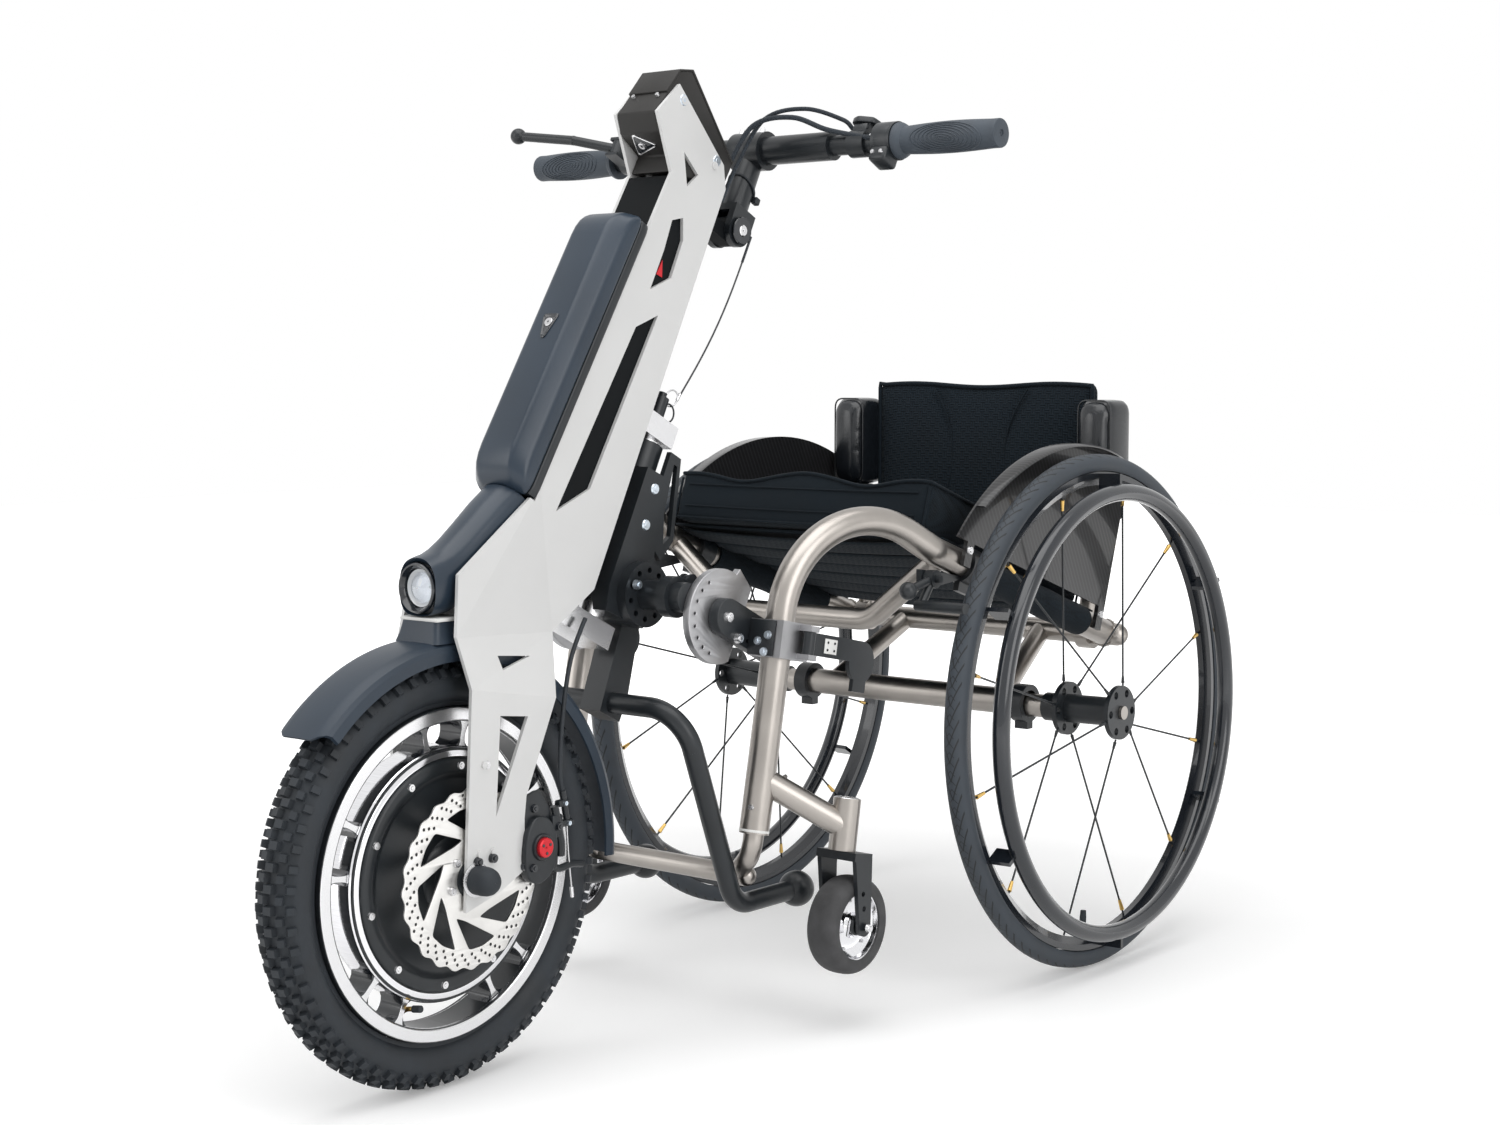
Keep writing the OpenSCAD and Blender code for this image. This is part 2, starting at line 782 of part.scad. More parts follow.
module seat_sling() {
    sling_l = rail_l - sling_front - sling_rear;
    strap_step = sling_l / strap_count;
    color(black_cloth) at_rail() difference() {
        union() {
            translate([-rail_half_w, sling_front, sling_base])
                cube([2 * rail_half_w, sling_l, sling_t]);
            both_sides() translate([rail_half_w, lock_set + lock_ring_w, 0]) rotate([-90, 0, 0])
                cylinder(d = tube_d + 2 * (body_gap + sleeve_wall), h = rail_l - sleeve_rear - lock_set - lock_ring_w);
            for (i = [0:strap_count - 1])
                translate([-rail_half_w + strap_inset, sling_front + (i + 0.5) * strap_step - strap_w / 2,
                        sling_base - strap_t])
                    cube([2 * (rail_half_w - strap_inset), strap_w, strap_t + sling_t / 2]);
        }
        both_sides() translate([rail_half_w, -cut, 0]) rotate([-90, 0, 0])
            cylinder(d = tube_d + 2 * body_gap, h = rail_l);
        both_sides() translate([rail_half_w, lock_set - lock_ring_w, 0]) rotate([-90, 0, 0])
            cylinder(d = tube_d + 2 * lock_ring_wall + 2 * body_gap, h = 2 * lock_ring_w);
    }
}

cushion_front = -6;
cushion_crown = 5;
cushion_draw_share = 0.02;
cushion_dip = 11;

module seat_cushion() {
    color(black_cloth) at_rail()
        translate([0, cushion_front + cushion_l / 2, sling_base + sling_t + body_gap])
            pad(cushion_w, cushion_l, cushion_h, cushion_crown, cushion_draw_share, cushion_dip);
}

guard_t = 3;
guard_x = 218.3;
guard_over = 12;
guard_l = 350;
guard_foot_w = 14;
guard_foot_set = 32;
guard_lift = 21;

module side_guards() {
    foot_x = rail_half_w + tube_d / 2 + seat_gap;
    color([0.07, 0.07, 0.08]) both_sides() {
        intersection() {
            translate([0, rear_hub.y, rear_hub.z])
                x_rod(guard_x, guard_x + guard_t, 2 * (rear_r + guard_over));
            slab(guard_x - cut, guard_x + guard_t + cut) translate([junction.y, junction.z])
                rotate(-seat_angle) translate([0, guard_lift]) square([guard_l, rear_wheel_d]);
        }
        at_rail() for (y = [guard_foot_set, guard_l - guard_foot_w])
            translate([foot_x, y, -guard_foot_w / 2])
                cube([guard_x + guard_t - foot_x, guard_foot_w, guard_lift + guard_foot_w]);
    }
}

lock_shoe_x = rear_track / 2;
lock_shoe_d = 12;
lock_shoe_back = -22;
lock_shoe_up = -28;
lock_eye_d = 20;
lock_eye_l = 12;
lock_knob_d = 20;
lock_knob_back = -46;
lock_knob_up = -10;
lock_rod_d = 10;

module lock_lever() {
    color(black_alloy) translate([0, lock_pivot.y, lock_pivot.z]) difference() {
        union() {
            x_rod(lock_pivot.x - lock_eye_l / 2, lock_pivot.x + lock_eye_l / 2, lock_eye_d);
            rod([lock_pivot.x, 0, 0], [lock_pivot.x, lock_knob_back, lock_knob_up], lock_rod_d);
            translate([lock_pivot.x, lock_knob_back, lock_knob_up]) sphere(d = lock_knob_d);
            rod([lock_pivot.x, 0, 0], [lock_pivot.x, lock_shoe_back, lock_shoe_up], lock_rod_d);
            translate([0, lock_shoe_back, lock_shoe_up])
                x_rod(lock_pivot.x - lock_shoe_d / 2, lock_shoe_x + lock_rod_d, lock_shoe_d);
        }
        x_rod(0, lock_pivot.x + lock_eye_l, lock_pin_d + 2 * run_gap);
    }
}

module wheel_lock_left() {
    lock_lever();
}

module wheel_lock_right() {
    mirror([1, 0, 0]) lock_lever();
}

// Backrest
post_x = 197;
knuckle_x = 172;
knuckle_w = 18;
knuckle_wall = 6;
post_jog_low = 40;
post_jog_high = 110;
post_jog_r = 60;
post_top = 270;
stiffener_up = 100;
stiffener_d = 16;
back_crown = 4;
back_draw_share = 0.015;
back_bulge = 0.8;
bolster_clear = 1;
back_tuck = 1.2;
bolster_h = 112;
bolster_t = 62;
bolster_drop = 20;

module back_posts() {
    color(titanium) translate([0, rail_end.y, rail_end.z]) {
        both_sides() difference() {
            union() {
                x_rod(knuckle_x - knuckle_w / 2, knuckle_x + knuckle_w / 2, cross_d + 2 * knuckle_wall);
                bent_tube([[knuckle_x, 0, 0], [knuckle_x, 0, post_jog_low], [post_x, 0, post_jog_high],
                    [post_x, 0, post_top]], [post_jog_r, post_jog_r], post_d);
            }
            x_rod(0, rail_half_w, cross_d + 2 * run_gap);
        }
        translate([0, 0, stiffener_up]) difference() {
            x_rod(-post_x, post_x, stiffener_d);
            both_sides() bent_tube([[knuckle_x, 0, -stiffener_up], [knuckle_x, 0, post_jog_low - stiffener_up],
                [post_x, 0, post_jog_high - stiffener_up], [post_x, 0, post_top]],
                [post_jog_r, post_jog_r], post_d + 2 * seat_gap);
            both_sides() translate([post_x, 0, -post_d])
                cube([post_d, 2 * post_d, 4 * post_d], center = true);
        }
    }
}

back_front = rail_end.y + post_d / 2 + body_gap;
back_edge = back_w / 2 * (1 + 2 * back_bulge / min(back_w, back_h));
bolster_in = back_edge - back_tuck;
bolster_out = guard_x - bolster_clear;
bolster_w = bolster_out - bolster_in - 2 * back_bulge;

module back_upholstery() {
    color(black_cloth)
        translate([0, back_front + back_t, rail_end.z + back_rise + back_h / 2])
            rotate([90, 0, 0]) pad(back_w, back_h, back_t, back_crown, back_draw_share, bulge = back_bulge);
}

module back_bolsters() {
    color([0.06, 0.06, 0.06]) both_sides() difference() {
        translate([(bolster_in + bolster_out) / 2, rail_end.y + bolster_t / 2,
                rail_end.z + back_rise + back_h - bolster_drop - bolster_h / 2])
            rotate([90, 0, 0]) pad(bolster_w, bolster_h, bolster_t, back_crown, back_draw_share,
                bulge = back_bulge, nu = 8, nv = 8);
        translate([post_x, rail_end.y, rail_end.z])
            cylinder(d = post_d + 2 * seat_gap, h = post_top + seat_gap);
    }
}

// Rear wheels
module rear_tyre(side) {
    color(black_rubber) rear_place(side) turned() difference() {
        translate([rear_r - rear_tyre_w / 2, 0]) circle(d = rear_tyre_w);
        translate([0, -rear_tyre_w]) square([rear_bead_r, 2 * rear_tyre_w]);
    }
}

module rear_rim(side) {
    outer = rear_bead_r - seat_gap;
    shoulder = rear_bead_r - rear_rim_depth * rim_wall_share;
    half = rear_rim_w / 2;
    nose = half * rim_nose_share;
    color(black_alloy) rear_place(side) turned() polygon([
        [outer, -half], [outer, half], [shoulder, half], [rear_rim_in, nose],
        [rear_rim_in, -nose], [shoulder, -half]
    ]);
}

module rear_hub_solid(side) {
    flange_out = hub_outer_l - flange_t;
    flange_in = -hub_inner_l + flange_inset;
    color(black_alloy) rear_place(side) {
        difference() {
            union() {
                x_rod(-hub_inner_l, hub_outer_l, hub_barrel_d);
                x_rod(flange_out, flange_out + flange_t, hub_flange_d);
                x_rod(flange_in, flange_in + flange_t, hub_flange_d);
            }
            x_rod(-hub_inner_l - cut, hub_outer_l + cut, rear_axle_d + 2 * run_gap);
            for (i = [0:hub_hole_count - 1])
                translate(polar(-hub_inner_l, (hub_flange_d + hub_barrel_d) / 4, 360 * i / hub_hole_count))
                    x_rod(0, hub_inner_l + hub_outer_l + cut, hub_hole_d);
        }
        for (i = [0:rear_spokes - 1]) {
            a = 360 * (i + 0.5) / rear_spokes;
            x = (i % 2 == 0 ? flange_out : flange_in) + flange_t / 2;
            rod(polar(x, hub_flange_d / 2 + spoke_seat, a), polar(0, rear_rim_in - spoke_seat, a), spoke_d);
        }
    }
}

module handrim(side) {
    tab_x = rear_rim_w / 2 + seat_gap;
    tab_out = rear_bead_r - tab_drop;
    tab_in = tab_out - tab_seat;
    ring_r = handrim_d / 2;
    color(black_alloy) rear_place(side) {
        translate([handrim_offset, 0, 0]) turned() translate([ring_r, 0]) circle(d = handrim_tube_d);
        for (i = [0:handrim_tabs - 1]) rotate([360 * i / handrim_tabs, 0, 0]) {
            translate([tab_x, -tab_t / 2, tab_in]) cube([handrim_offset - tab_x, tab_t, tab_seat]);
            translate([handrim_offset - tab_t, -tab_t / 2, min(tab_in, ring_r)])
                cube([tab_t, tab_t, max(tab_out, ring_r) - min(tab_in, ring_r)]);
        }
    }
}

module rear_tyre_left() { rear_tyre(1); }
module rear_rim_left() { rear_rim(1); }
module rear_hub_left() { rear_hub_solid(1); }
module handrim_left() { handrim(1); }
module rear_tyre_right() { rear_tyre(-1); }
module rear_rim_right() { rear_rim(-1); }
module rear_hub_right() { rear_hub_solid(-1); }
module handrim_right() { handrim(-1); }

// Casters
fork_gap = 4;
fork_leg_t = 5;
fork_leg_w = 20;
fork_crown_t = 9;
fork_crown_gap = 0.4;
fork_slot_w = 6;
fork_hole_shares = [0.55, 0.75];
caster_tyre_t = 15;
caster_web_w = 8;
caster_rim_w = 26;
caster_rim_t = 5;
caster_hub_d = 24;

module fork_outline(d) {
    polygon([
        [-d / 2, -fork_crown_gap], [d / 2 + caster_trail / 2, -fork_crown_gap],
        [caster_trail + d / 2, -caster_fork_h], [caster_trail - d / 2, -caster_fork_h]
    ]);
    translate([caster_trail, -caster_fork_h]) circle(d = d);
}

module caster_fork(side) {
    inner = caster_w / 2 + fork_gap;
    outer = inner + fork_leg_t;
    color(black_alloy) caster_place(side) {
        difference() {
            union() {
                for (s = [-1, 1])
                    slab(s > 0 ? inner : -outer, s > 0 ? outer : -inner) fork_outline(fork_leg_w);
                translate([-outer, -fork_leg_w / 2, -fork_crown_gap - fork_crown_t])
                    cube([2 * outer, fork_leg_w + caster_trail / 2, fork_crown_t]);
            }
            for (s = fork_hole_shares)
                translate([0, caster_trail * s, -caster_fork_h * s])
                    x_rod(-outer - cut, outer + cut, fork_slot_w);
        }
        translate([0, 0, -fork_crown_gap - fork_crown_t / 2])
            cylinder(d = caster_stem_d, h = barrel_h);
        translate([0, caster_trail, -caster_fork_h])
            x_rod(-outer - fork_gap, outer + fork_gap, caster_axle_d);
    }
}

module caster_wheel(side) {
    tyre_r = caster_d / 2 - caster_tyre_t;
    rim_in = tyre_r - caster_rim_t;
    caster_place(side) translate([0, caster_trail, -caster_fork_h]) {
        color(black_rubber) turned() difference() {
            union() {
                translate([caster_d / 2 - caster_w / 2, 0]) circle(d = caster_w);
                translate([tyre_r, -caster_w / 2]) square([caster_d / 2 - caster_w / 2 - tyre_r, caster_w]);
            }
            translate([0, -caster_w]) square([tyre_r, 2 * caster_w]);
        }
        color(silver_alloy) turned() {
            translate([rim_in, -caster_rim_w / 2]) square([tyre_r - seat_gap - rim_in, caster_rim_w]);
            translate([caster_axle_d / 2 + run_gap, -caster_web_w / 2])
                square([rim_in - caster_axle_d / 2, caster_web_w]);
            translate([caster_axle_d / 2 + run_gap, -caster_w / 2])
                square([(caster_hub_d - caster_axle_d) / 2, caster_w + fork_gap]);
        }
    }
}

module caster_fork_left() { caster_fork(1); }
module caster_wheel_left() { caster_wheel(1); }
module caster_fork_right() { caster_fork(-1); }
module caster_wheel_right() { caster_wheel(-1); }

// Steering head and coupling on the chair
head_high = head_low + head_tube_l;

module head_tube() {
    color(silver_alloy) at_steer() translate([0, 0, head_low]) difference() {
        cylinder(d = head_tube_d, h = head_tube_l);
        translate([0, 0, -cut]) cylinder(d = kingpin_d + 2 * run_gap, h = head_tube_l + 2 * cut);
    }
}

module head_housing() {
    color(black_alloy) at_steer() {
        difference() {
            slab(-housing_w / 2, housing_w / 2) {
                polygon(housing_outline);
                translate([coupling_back, coupling_up]) circle(r = flange_r);
            }
            translate([0, 0, head_low - cut])
                cylinder(d = head_tube_d + 2 * seat_gap, h = head_tube_l + 2 * cut);
        }
        slab(housing_w / 2 - loop_t, housing_w / 2) difference() {
            polygon(loop_outline);
            polygon(loop_slot);
        }
        slab(-stand_leg_w / 2, stand_leg_w / 2) difference() {
            polygon(leg_outline);
            translate([coupling_back, coupling_up]) circle(r = flange_r + seat_gap);
            translate([stand_back, stand_up]) circle(d = stand_d + 2 * seat_gap);
        }
    }
    color(silver_alloy) at_steer() translate([0, 0, head_high - wrap_l]) difference() {
        cylinder(d = head_tube_d + 2 * wrap_t, h = wrap_l - block_gap);
        translate([0, 0, -cut]) cylinder(d = head_tube_d + 2 * seat_gap, h = wrap_l + 2 * cut);
    }
}

module coupling_place(side) {
    sided(side) at_steer() translate([0, coupling_back, coupling_up]) children();
}

module coupling_tube() {
    color(black_alloy) for (side = [-1, 1]) coupling_place(side) {
        difference() {
            x_rod(housing_w / 2, housing_w / 2 + flange_t2, 2 * flange_r);
            for (i = [1:flange_holes - 1])
                translate(polar(0, flange_r * index_pcd_share, 360 * i / flange_holes))
                    x_rod(housing_w / 2 - cut, housing_w / 2 + flange_t2 + cut, index_hole_d);
        }
        translate(polar(0, flange_r * index_pcd_share, 0))
            x_rod(housing_w / 2 + flange_t2, housing_w / 2 + flange_t2 + index_bolt_l, index_bolt_d);
        x_rod(housing_w / 2 + flange_t2, coupling_half_l, coupling_d);
        x_rod(collar_pos - collar_l / 2, collar_pos + collar_l / 2, coupling_d + 2 * collar_wall);
        difference() {
            slab(collar_pos - collar_l / 2, collar_pos + collar_l / 2) rotate(qr_at) {
                translate([0, -collar_lug_d / 2]) square([qr_lug_r, collar_lug_d]);
                translate([qr_lug_r, 0]) circle(d = collar_lug_d);
            }
            slab(collar_pos - qr_slot / 2, collar_pos + qr_slot / 2) rotate(qr_at)
                translate([coupling_d / 2 + collar_wall, -collar_lug_d])
                    square([2 * collar_lug_d, 2 * collar_lug_d]);
        }
        translate(polar(0, qr_lug_r, qr_at)) x_rod(collar_pos - collar_l / 2, collar_pos + collar_l / 2, qr_pin_d);
    }
}

qr_at = 60;
qr_slot = qr_lever_t + 2 * body_gap;
qr_eye_d = 12;
qr_bar_t = 6;
qr_lug_r = coupling_d / 2 + collar_wall + qr_eye_d / 2 + 2 * body_gap;

module qr_lever() {
    color(black_alloy) coupling_place(1) translate(polar(0, qr_lug_r, qr_at))
        slab(collar_pos - qr_lever_t / 2, collar_pos + qr_lever_t / 2) difference() {
            union() {
                circle(d = qr_eye_d);
                translate([0, qr_eye_d / 2 - qr_bar_t]) square([qr_lever_l, qr_bar_t]);
            }
            circle(d = qr_pin_d + 2 * run_gap);
        }
}

module qr_lever_left() { qr_lever(); }
module qr_lever_right() { mirror([1, 0, 0]) qr_lever(); }

module parking_stand() {
    bar = on_steer(stand_half_w, stand_back, stand_up);
    heel = bar + [0, stand_lean_run, -stand_drop];
    toe = heel + [0, stand_foot_l, 0];
    color(black_alloy) bent_tube(
        [toe, heel, bar, mirrored(bar), mirrored(heel), mirrored(toe)],
        [stand_heel_r, stand_top_r, stand_top_r, stand_heel_r], stand_d);
    color(black_rubber) both_sides() difference() {
        translate(toe) sphere(d = stand_ball_d);
        rod(toe - [0, stand_foot_l / 2, 0], toe + [0, seat_gap, 0], stand_d + 2 * seat_gap);
    }
}

// Quadrant centre and clamp centre of the left arm
quadrant_at = on_steer(0, quadrant_back, quadrant_up);
clamp_at = between(foot_end, knee, clamp_share);
arm_angle = atan2(clamp_at.z - quadrant_at.z, clamp_at.y - quadrant_at.y);
arm_l = norm([clamp_at.y - quadrant_at.y, clamp_at.z - quadrant_at.z]);

module coupling_arms() {
    q0 = coupling_half_l + seat_gap;
    q1 = q0 + quadrant_t;
    a0 = q1 + seat_gap;
    a1 = down_half_w - clamp_inner - seat_gap;
    color(silver_alloy) both_sides() translate([0, quadrant_at.y, quadrant_at.z]) difference() {
        slab(q0, q1) {
            circle(r = quadrant_r);
            rotate(quadrant_tail_at) translate([0, -quadrant_tail / 2])
                square([quadrant_r * quadrant_tail_share, quadrant_tail]);
        }
        for (i = [0:quadrant_holes - 1])
            translate(polar(0, quadrant_r * quadrant_hole_share, quadrant_first + quadrant_sweep * i / (quadrant_holes - 1)))
                x_rod(q0 - cut, q1 + cut, quadrant_hole_d);
    }
    color(black_alloy) both_sides() translate([0, quadrant_at.y, quadrant_at.z]) {
        slab(a0, a1) {
            circle(d = arm_w);
            rotate(arm_angle) translate([0, -arm_w / 2]) square([arm_l + arm_w / 2, arm_w]);
        }
        x_rod(a1, a1 + clamp_bolt_h, clamp_bolt_d);
    }
}

module clamp_place(side) {
    sided(side) translate(clamp_at) rotate([-down_lean, 0, 0]) children();
}

module tube_clamps() {
    color(silver_alloy) for (side = [-1, 1]) clamp_place(side) {
        difference() {
            union() {
                translate([-clamp_inner, -clamp_half_l, -clamp_h / 2])
                    cube([clamp_inner + clamp_outer, 2 * clamp_half_l, clamp_h]);
                for (s = [-1, 1])
                    translate([clamp_outer - cut, hinge_y - hinge_r, s > 0 ? lever_h / 2 + body_gap
                            : -lever_h / 2 - body_gap - ear_t])
                        cube([hinge_x - clamp_outer + cut + hinge_r, 2 * hinge_r, ear_t]);
            }
            translate([0, 0, -clamp_h]) cylinder(d = tube_d + 2 * seat_gap, h = 2 * clamp_h);
        }
        translate([hinge_x, hinge_y, -lever_h / 2 - body_gap - ear_t / 2])
            cylinder(d = hinge_pin_d, h = lever_h + 2 * body_gap + ear_t);
    }
}

module clamp_lever() {
    color(black_alloy) clamp_place(1) translate([hinge_x, hinge_y, 0]) difference() {
        union() {
            translate([0, 0, -lever_h / 2]) cylinder(r = hinge_r - body_gap, h = lever_h);
            translate([-lever_t / 2, 0, -lever_h / 2]) cube([lever_t, clamp_lever_l - paddle_w / 2, lever_h]);
            translate([0, clamp_lever_l - paddle_w / 2, -paddle_h / 6]) slab(-lever_t / 2, lever_t / 2) {
                circle(d = paddle_w);
                translate([-paddle_w / 4, -paddle_h / 2]) square([paddle_w / 2, paddle_h / 2]);
            }
        }
        translate([0, 0, -lever_h]) cylinder(d = hinge_pin_d + 2 * run_gap, h = 2 * lever_h);
    }
}

module clamp_lever_left() { clamp_lever(); }
module clamp_lever_right() { mirror([1, 0, 0]) clamp_lever(); }

// Mast
plate_out = mast_w / 2;
plate_in = plate_out - plate_t;
leg_out = leg_w / 2;
leg_in = leg_out - plate_t;

function lifted(share, x) = let (p = on_mast(share)) [x, p.x, p.y];

// A folded face of sheet: four corners on the outer side, thick towards the centre plane
module sheet_face(a, b, c, d) {
    inner = [-plate_t, 0, 0];
    polyhedron(
        points = [a, b, c, d, a + inner, b + inner, c + inner, d + inner],
        faces = [[0, 2, 1], [0, 3, 2], [4, 5, 6], [4, 6, 7], [0, 1, 5, 4], [1, 2, 6, 5], [2, 3, 7, 6], [3, 0, 4, 7]]
    );
}

module mast_plate(side) {
    color(plate_paint) sided(side) difference() {
        union() {
            slab(plate_in, plate_out) polygon(mast_points([
                mast_top_share, front_top_share, front_knee_share, battery_foot_share,
                fold_rear_share, rear_low_share, rear_corner_share, rear_top_share
            ]));
            sheet_face(
                lifted(battery_foot_share, plate_out), lifted(lamp_corner_share, plate_out + lamp_flare),
                lifted(fold_front_share, plate_out + fold_flare), lifted(fold_rear_share, plate_out));
            sheet_face(
                lifted(fold_rear_share, plate_out), lifted(fold_front_share, plate_out + fold_flare),
                lifted(leg_front_top_share, leg_out), lifted(leg_rear_top_share, leg_out));
            slab(leg_in, leg_out) polygon(mast_points([
                leg_front_top_share, leg_tip_share, leg_rear_low_share, tab_low_share, tab_high_share,
                tab_root_share, leg_rear_top_share
            ]));
        }
        for (window = [slot_shares, hex_shares, peak_shares])
            slab(plate_in - cut, plate_out + cut) polygon(mast_points(window));
        for (window = [facet_shares, leg_cut_shares])
            slab(plate_in - cut, leg_out + cut) polygon(mast_points(window));
        translate(front_hub) x_rod(leg_in - cut, leg_out + cut, front_axle_d + 2 * seat_gap);
        at_battery() translate([0, -battery_depth - cut, -battery_drop - body_gap])
            cube([battery_w, battery_depth + cut - body_gap / 2, battery_l]);
    }
    color(black_alloy) sided(side) {
        for (p = mast_points(leg_bolt_shares))
            translate([leg_out, p.x, p.y]) x_rod(0, leg_bolt_head, leg_bolt_d);
        for (p = mast_points(plate_screw_shares))
            translate([plate_out, p.x, p.y]) x_rod(0, plate_screw_head, plate_screw_d);
    }
}

module mast_plate_left() { mast_plate(1); }
module mast_plate_right() { mast_plate(-1); }

cover_half = plate_in - seat_gap;

module cover_outline() {
    polygon(mast_points([
        front_knee_share, front_top_share, crest_front_share, crest_rear_share, spine_foot_share,
        rear_corner_share
    ]));
}

module mast_cover() {
    centre = on_mast((front_top_share + rear_top_share) / 2);
    shrink = 1 - 2 * cover_wall / (mast_rise * (crest_rear_share.y - front_knee_share.y));
    color(black_alloy) difference() {
        slab(-cover_half, cover_half) cover_outline();
        slab(-cover_half + cover_wall, cover_half - cover_wall)
            translate(centre) scale(shrink) translate(-centre) cover_outline();
    }
}

module stem_lug() {
    at_steer() difference() {
        slab(-stem_lug_w / 2, stem_lug_w / 2) {
            translate([pivot_back, pivot_up]) circle(d = stem_lug_d);
            translate([-steer_offset - cut, pivot_up - stem_lug_d / 2])
                square([steer_offset + cut + pivot_back, stem_lug_d / 2]);
        }
        translate([0, pivot_back, pivot_up]) x_rod(-stem_lug_w, stem_lug_w, stem_bolt_d + 2 * run_gap);
    }
}

spine_top_share = 0.99;

module controller_case() {
    color(case_plastic) {
        slab(-cover_half, cover_half) polygon(mast_points([
            battery_foot_share, rear_low_share, between(rear_low_share, rear_corner_share, spine_top_share),
            between(battery_foot_share, front_knee_share, spine_top_share)
        ]));
        stem_lug();
    }
}

module at_battery() {
    translate([0, battery_foot.x, battery_foot.y]) rotate([-battery_lean, 0, 0]) children();
}

module battery_outline() {
    polygon([
        [-battery_w / 2, -body_gap], [battery_w / 2, -body_gap],
        [battery_w / 2, -battery_depth + battery_chamfer],
        [battery_w / 2 - battery_chamfer, -battery_depth],
        [-battery_w / 2 + battery_chamfer, -battery_depth],
        [-battery_w / 2, -battery_depth + battery_chamfer]
    ]);
}

module battery() {
    color(case_plastic) at_battery() difference() {
        translate([0, 0, -battery_drop]) linear_extrude(battery_l) battery_outline();
        for (end = [[-battery_drop, 1], [battery_l - battery_drop, -1]])
            translate([0, -battery_depth, end[0]]) rotate([end[1] * 45, 0, 0])
                cube([2 * battery_w, battery_end_cut, battery_end_cut], center = true);
    }
}

lamp_l = 62;
lamp_rear = 40;
lamp_up = 71;
lamp_body_h = 58;
lamp_body_w = 53;
lens_share = 0.8;
neck_share = 0.28;
lens_t = 8;
bezel_l = 10;
bezel_t = 2;
lamp_front = 22;
lamp_centre = [0, front_hub.y, front_hub.z + fender_r - body_gap + lamp_up - lamp_rear / 2];

module headlight() {
    color(case_plastic) translate(lamp_centre) difference() {
        union() {
            translate([-lamp_body_w / 2, -lamp_front + bezel_l, -lamp_body_h / 2])
                cube([lamp_body_w, lamp_l, lamp_body_h]);
            rotate([-90, 0, 0]) translate([0, 0, -lamp_front]) cylinder(d = headlight_d + 2 * bezel_t, h = bezel_l + cut);
            translate(-lamp_centre) slab(-lamp_body_w / 2, lamp_body_w / 2) polygon(lamp_neck());
        }
        rotate([-90, 0, 0]) translate([0, 0, -lamp_front - cut])
            cylinder(d = headlight_d * lens_share + 2 * seat_gap, h = lens_t + cut);
    }
}

// Outline of the lamp housing's neck, up to the controller case's lower edge
function lamp_neck() =
    let (
        a = on_mast(battery_foot_share), b = on_mast(between(battery_foot_share, rear_low_share, neck_share)),
        n = seat_gap * [a.y - b.y, b.x - a.x] / norm(b - a),
        low = lamp_centre.z - lamp_body_h / 2, back = lamp_centre.y - lamp_front + bezel_l
    )
    [a - n, a - (battery_drop + body_gap) * [sin(battery_lean), cos(battery_lean)],
        [back + cut, low + lamp_body_h], [back + lamp_l / 2, low], [back + lamp_l, low], b - n];

module headlight_lens() {
    color([0.85, 0.9, 0.95]) translate(lamp_centre) rotate([-90, 0, 0])
        translate([0, 0, -lamp_front]) cylinder(d = headlight_d * lens_share, h = lens_t - seat_gap);
}

fender_t = 3;
fender_skirt = 20;
fender_front_angle = 138;
fender_rear_angle = -4;
stay_l = 46;
stay_w = 24;

module front_fender() {
    half = fender_w / 2;
    color([0.10, 0.11, 0.12]) translate(front_hub) {
        rotate([fender_rear_angle, 0, 0]) rotate([0, 90, 0])
            rotate([0, 0, 90]) rotate_extrude(angle = fender_front_angle - fender_rear_angle) {
                translate([fender_r - fender_t, -half]) square([fender_t, fender_w]);
                for (s = [-half, half - fender_t])
                    translate([fender_r - fender_skirt, s]) square([fender_skirt, fender_t]);
            }
        difference() {
            translate([-stay_w / 2, -stay_w / 2, fender_r - fender_t])
                cube([stay_w, stay_l, lamp_centre.z - lamp_body_h / 2 - front_hub.z - fender_r + fender_t
                    - seat_gap]);
            x_rod(-stay_w, stay_w, 2 * fender_r - fender_t);
        }
    }
}

module front_axle() {
    color(silver_alloy) translate(front_hub) {
        x_rod(-leg_out - axle_nut_l - cut, leg_out + axle_nut_l + cut, front_axle_d);
        both_sides() x_rod(leg_out + seat_gap, leg_out + axle_nut_l, axle_nut_d);
        x_rod(rotor_x + rotor_t + bush_clear, leg_in - seat_gap, spacer_d);
        x_rod(-leg_in + seat_gap, -motor_boss_right - bush_clear, spacer_d);
    }
    color(black_rubber) translate(front_hub) both_sides() difference() {
        union() {
            x_rod(leg_out + axle_nut_l + seat_gap, leg_out + axle_nut_l + axle_cap_l - axle_cap_d / 2, axle_cap_d);
            translate([leg_out + axle_nut_l + axle_cap_l - axle_cap_d / 2, 0, 0]) intersection() {
                sphere(d = axle_cap_d);
                x_rod(0, axle_cap_d, axle_cap_d + cut);
            }
        }
        x_rod(0, leg_out + axle_nut_l + cut + seat_gap, front_axle_d + 2 * seat_gap);
    }
}

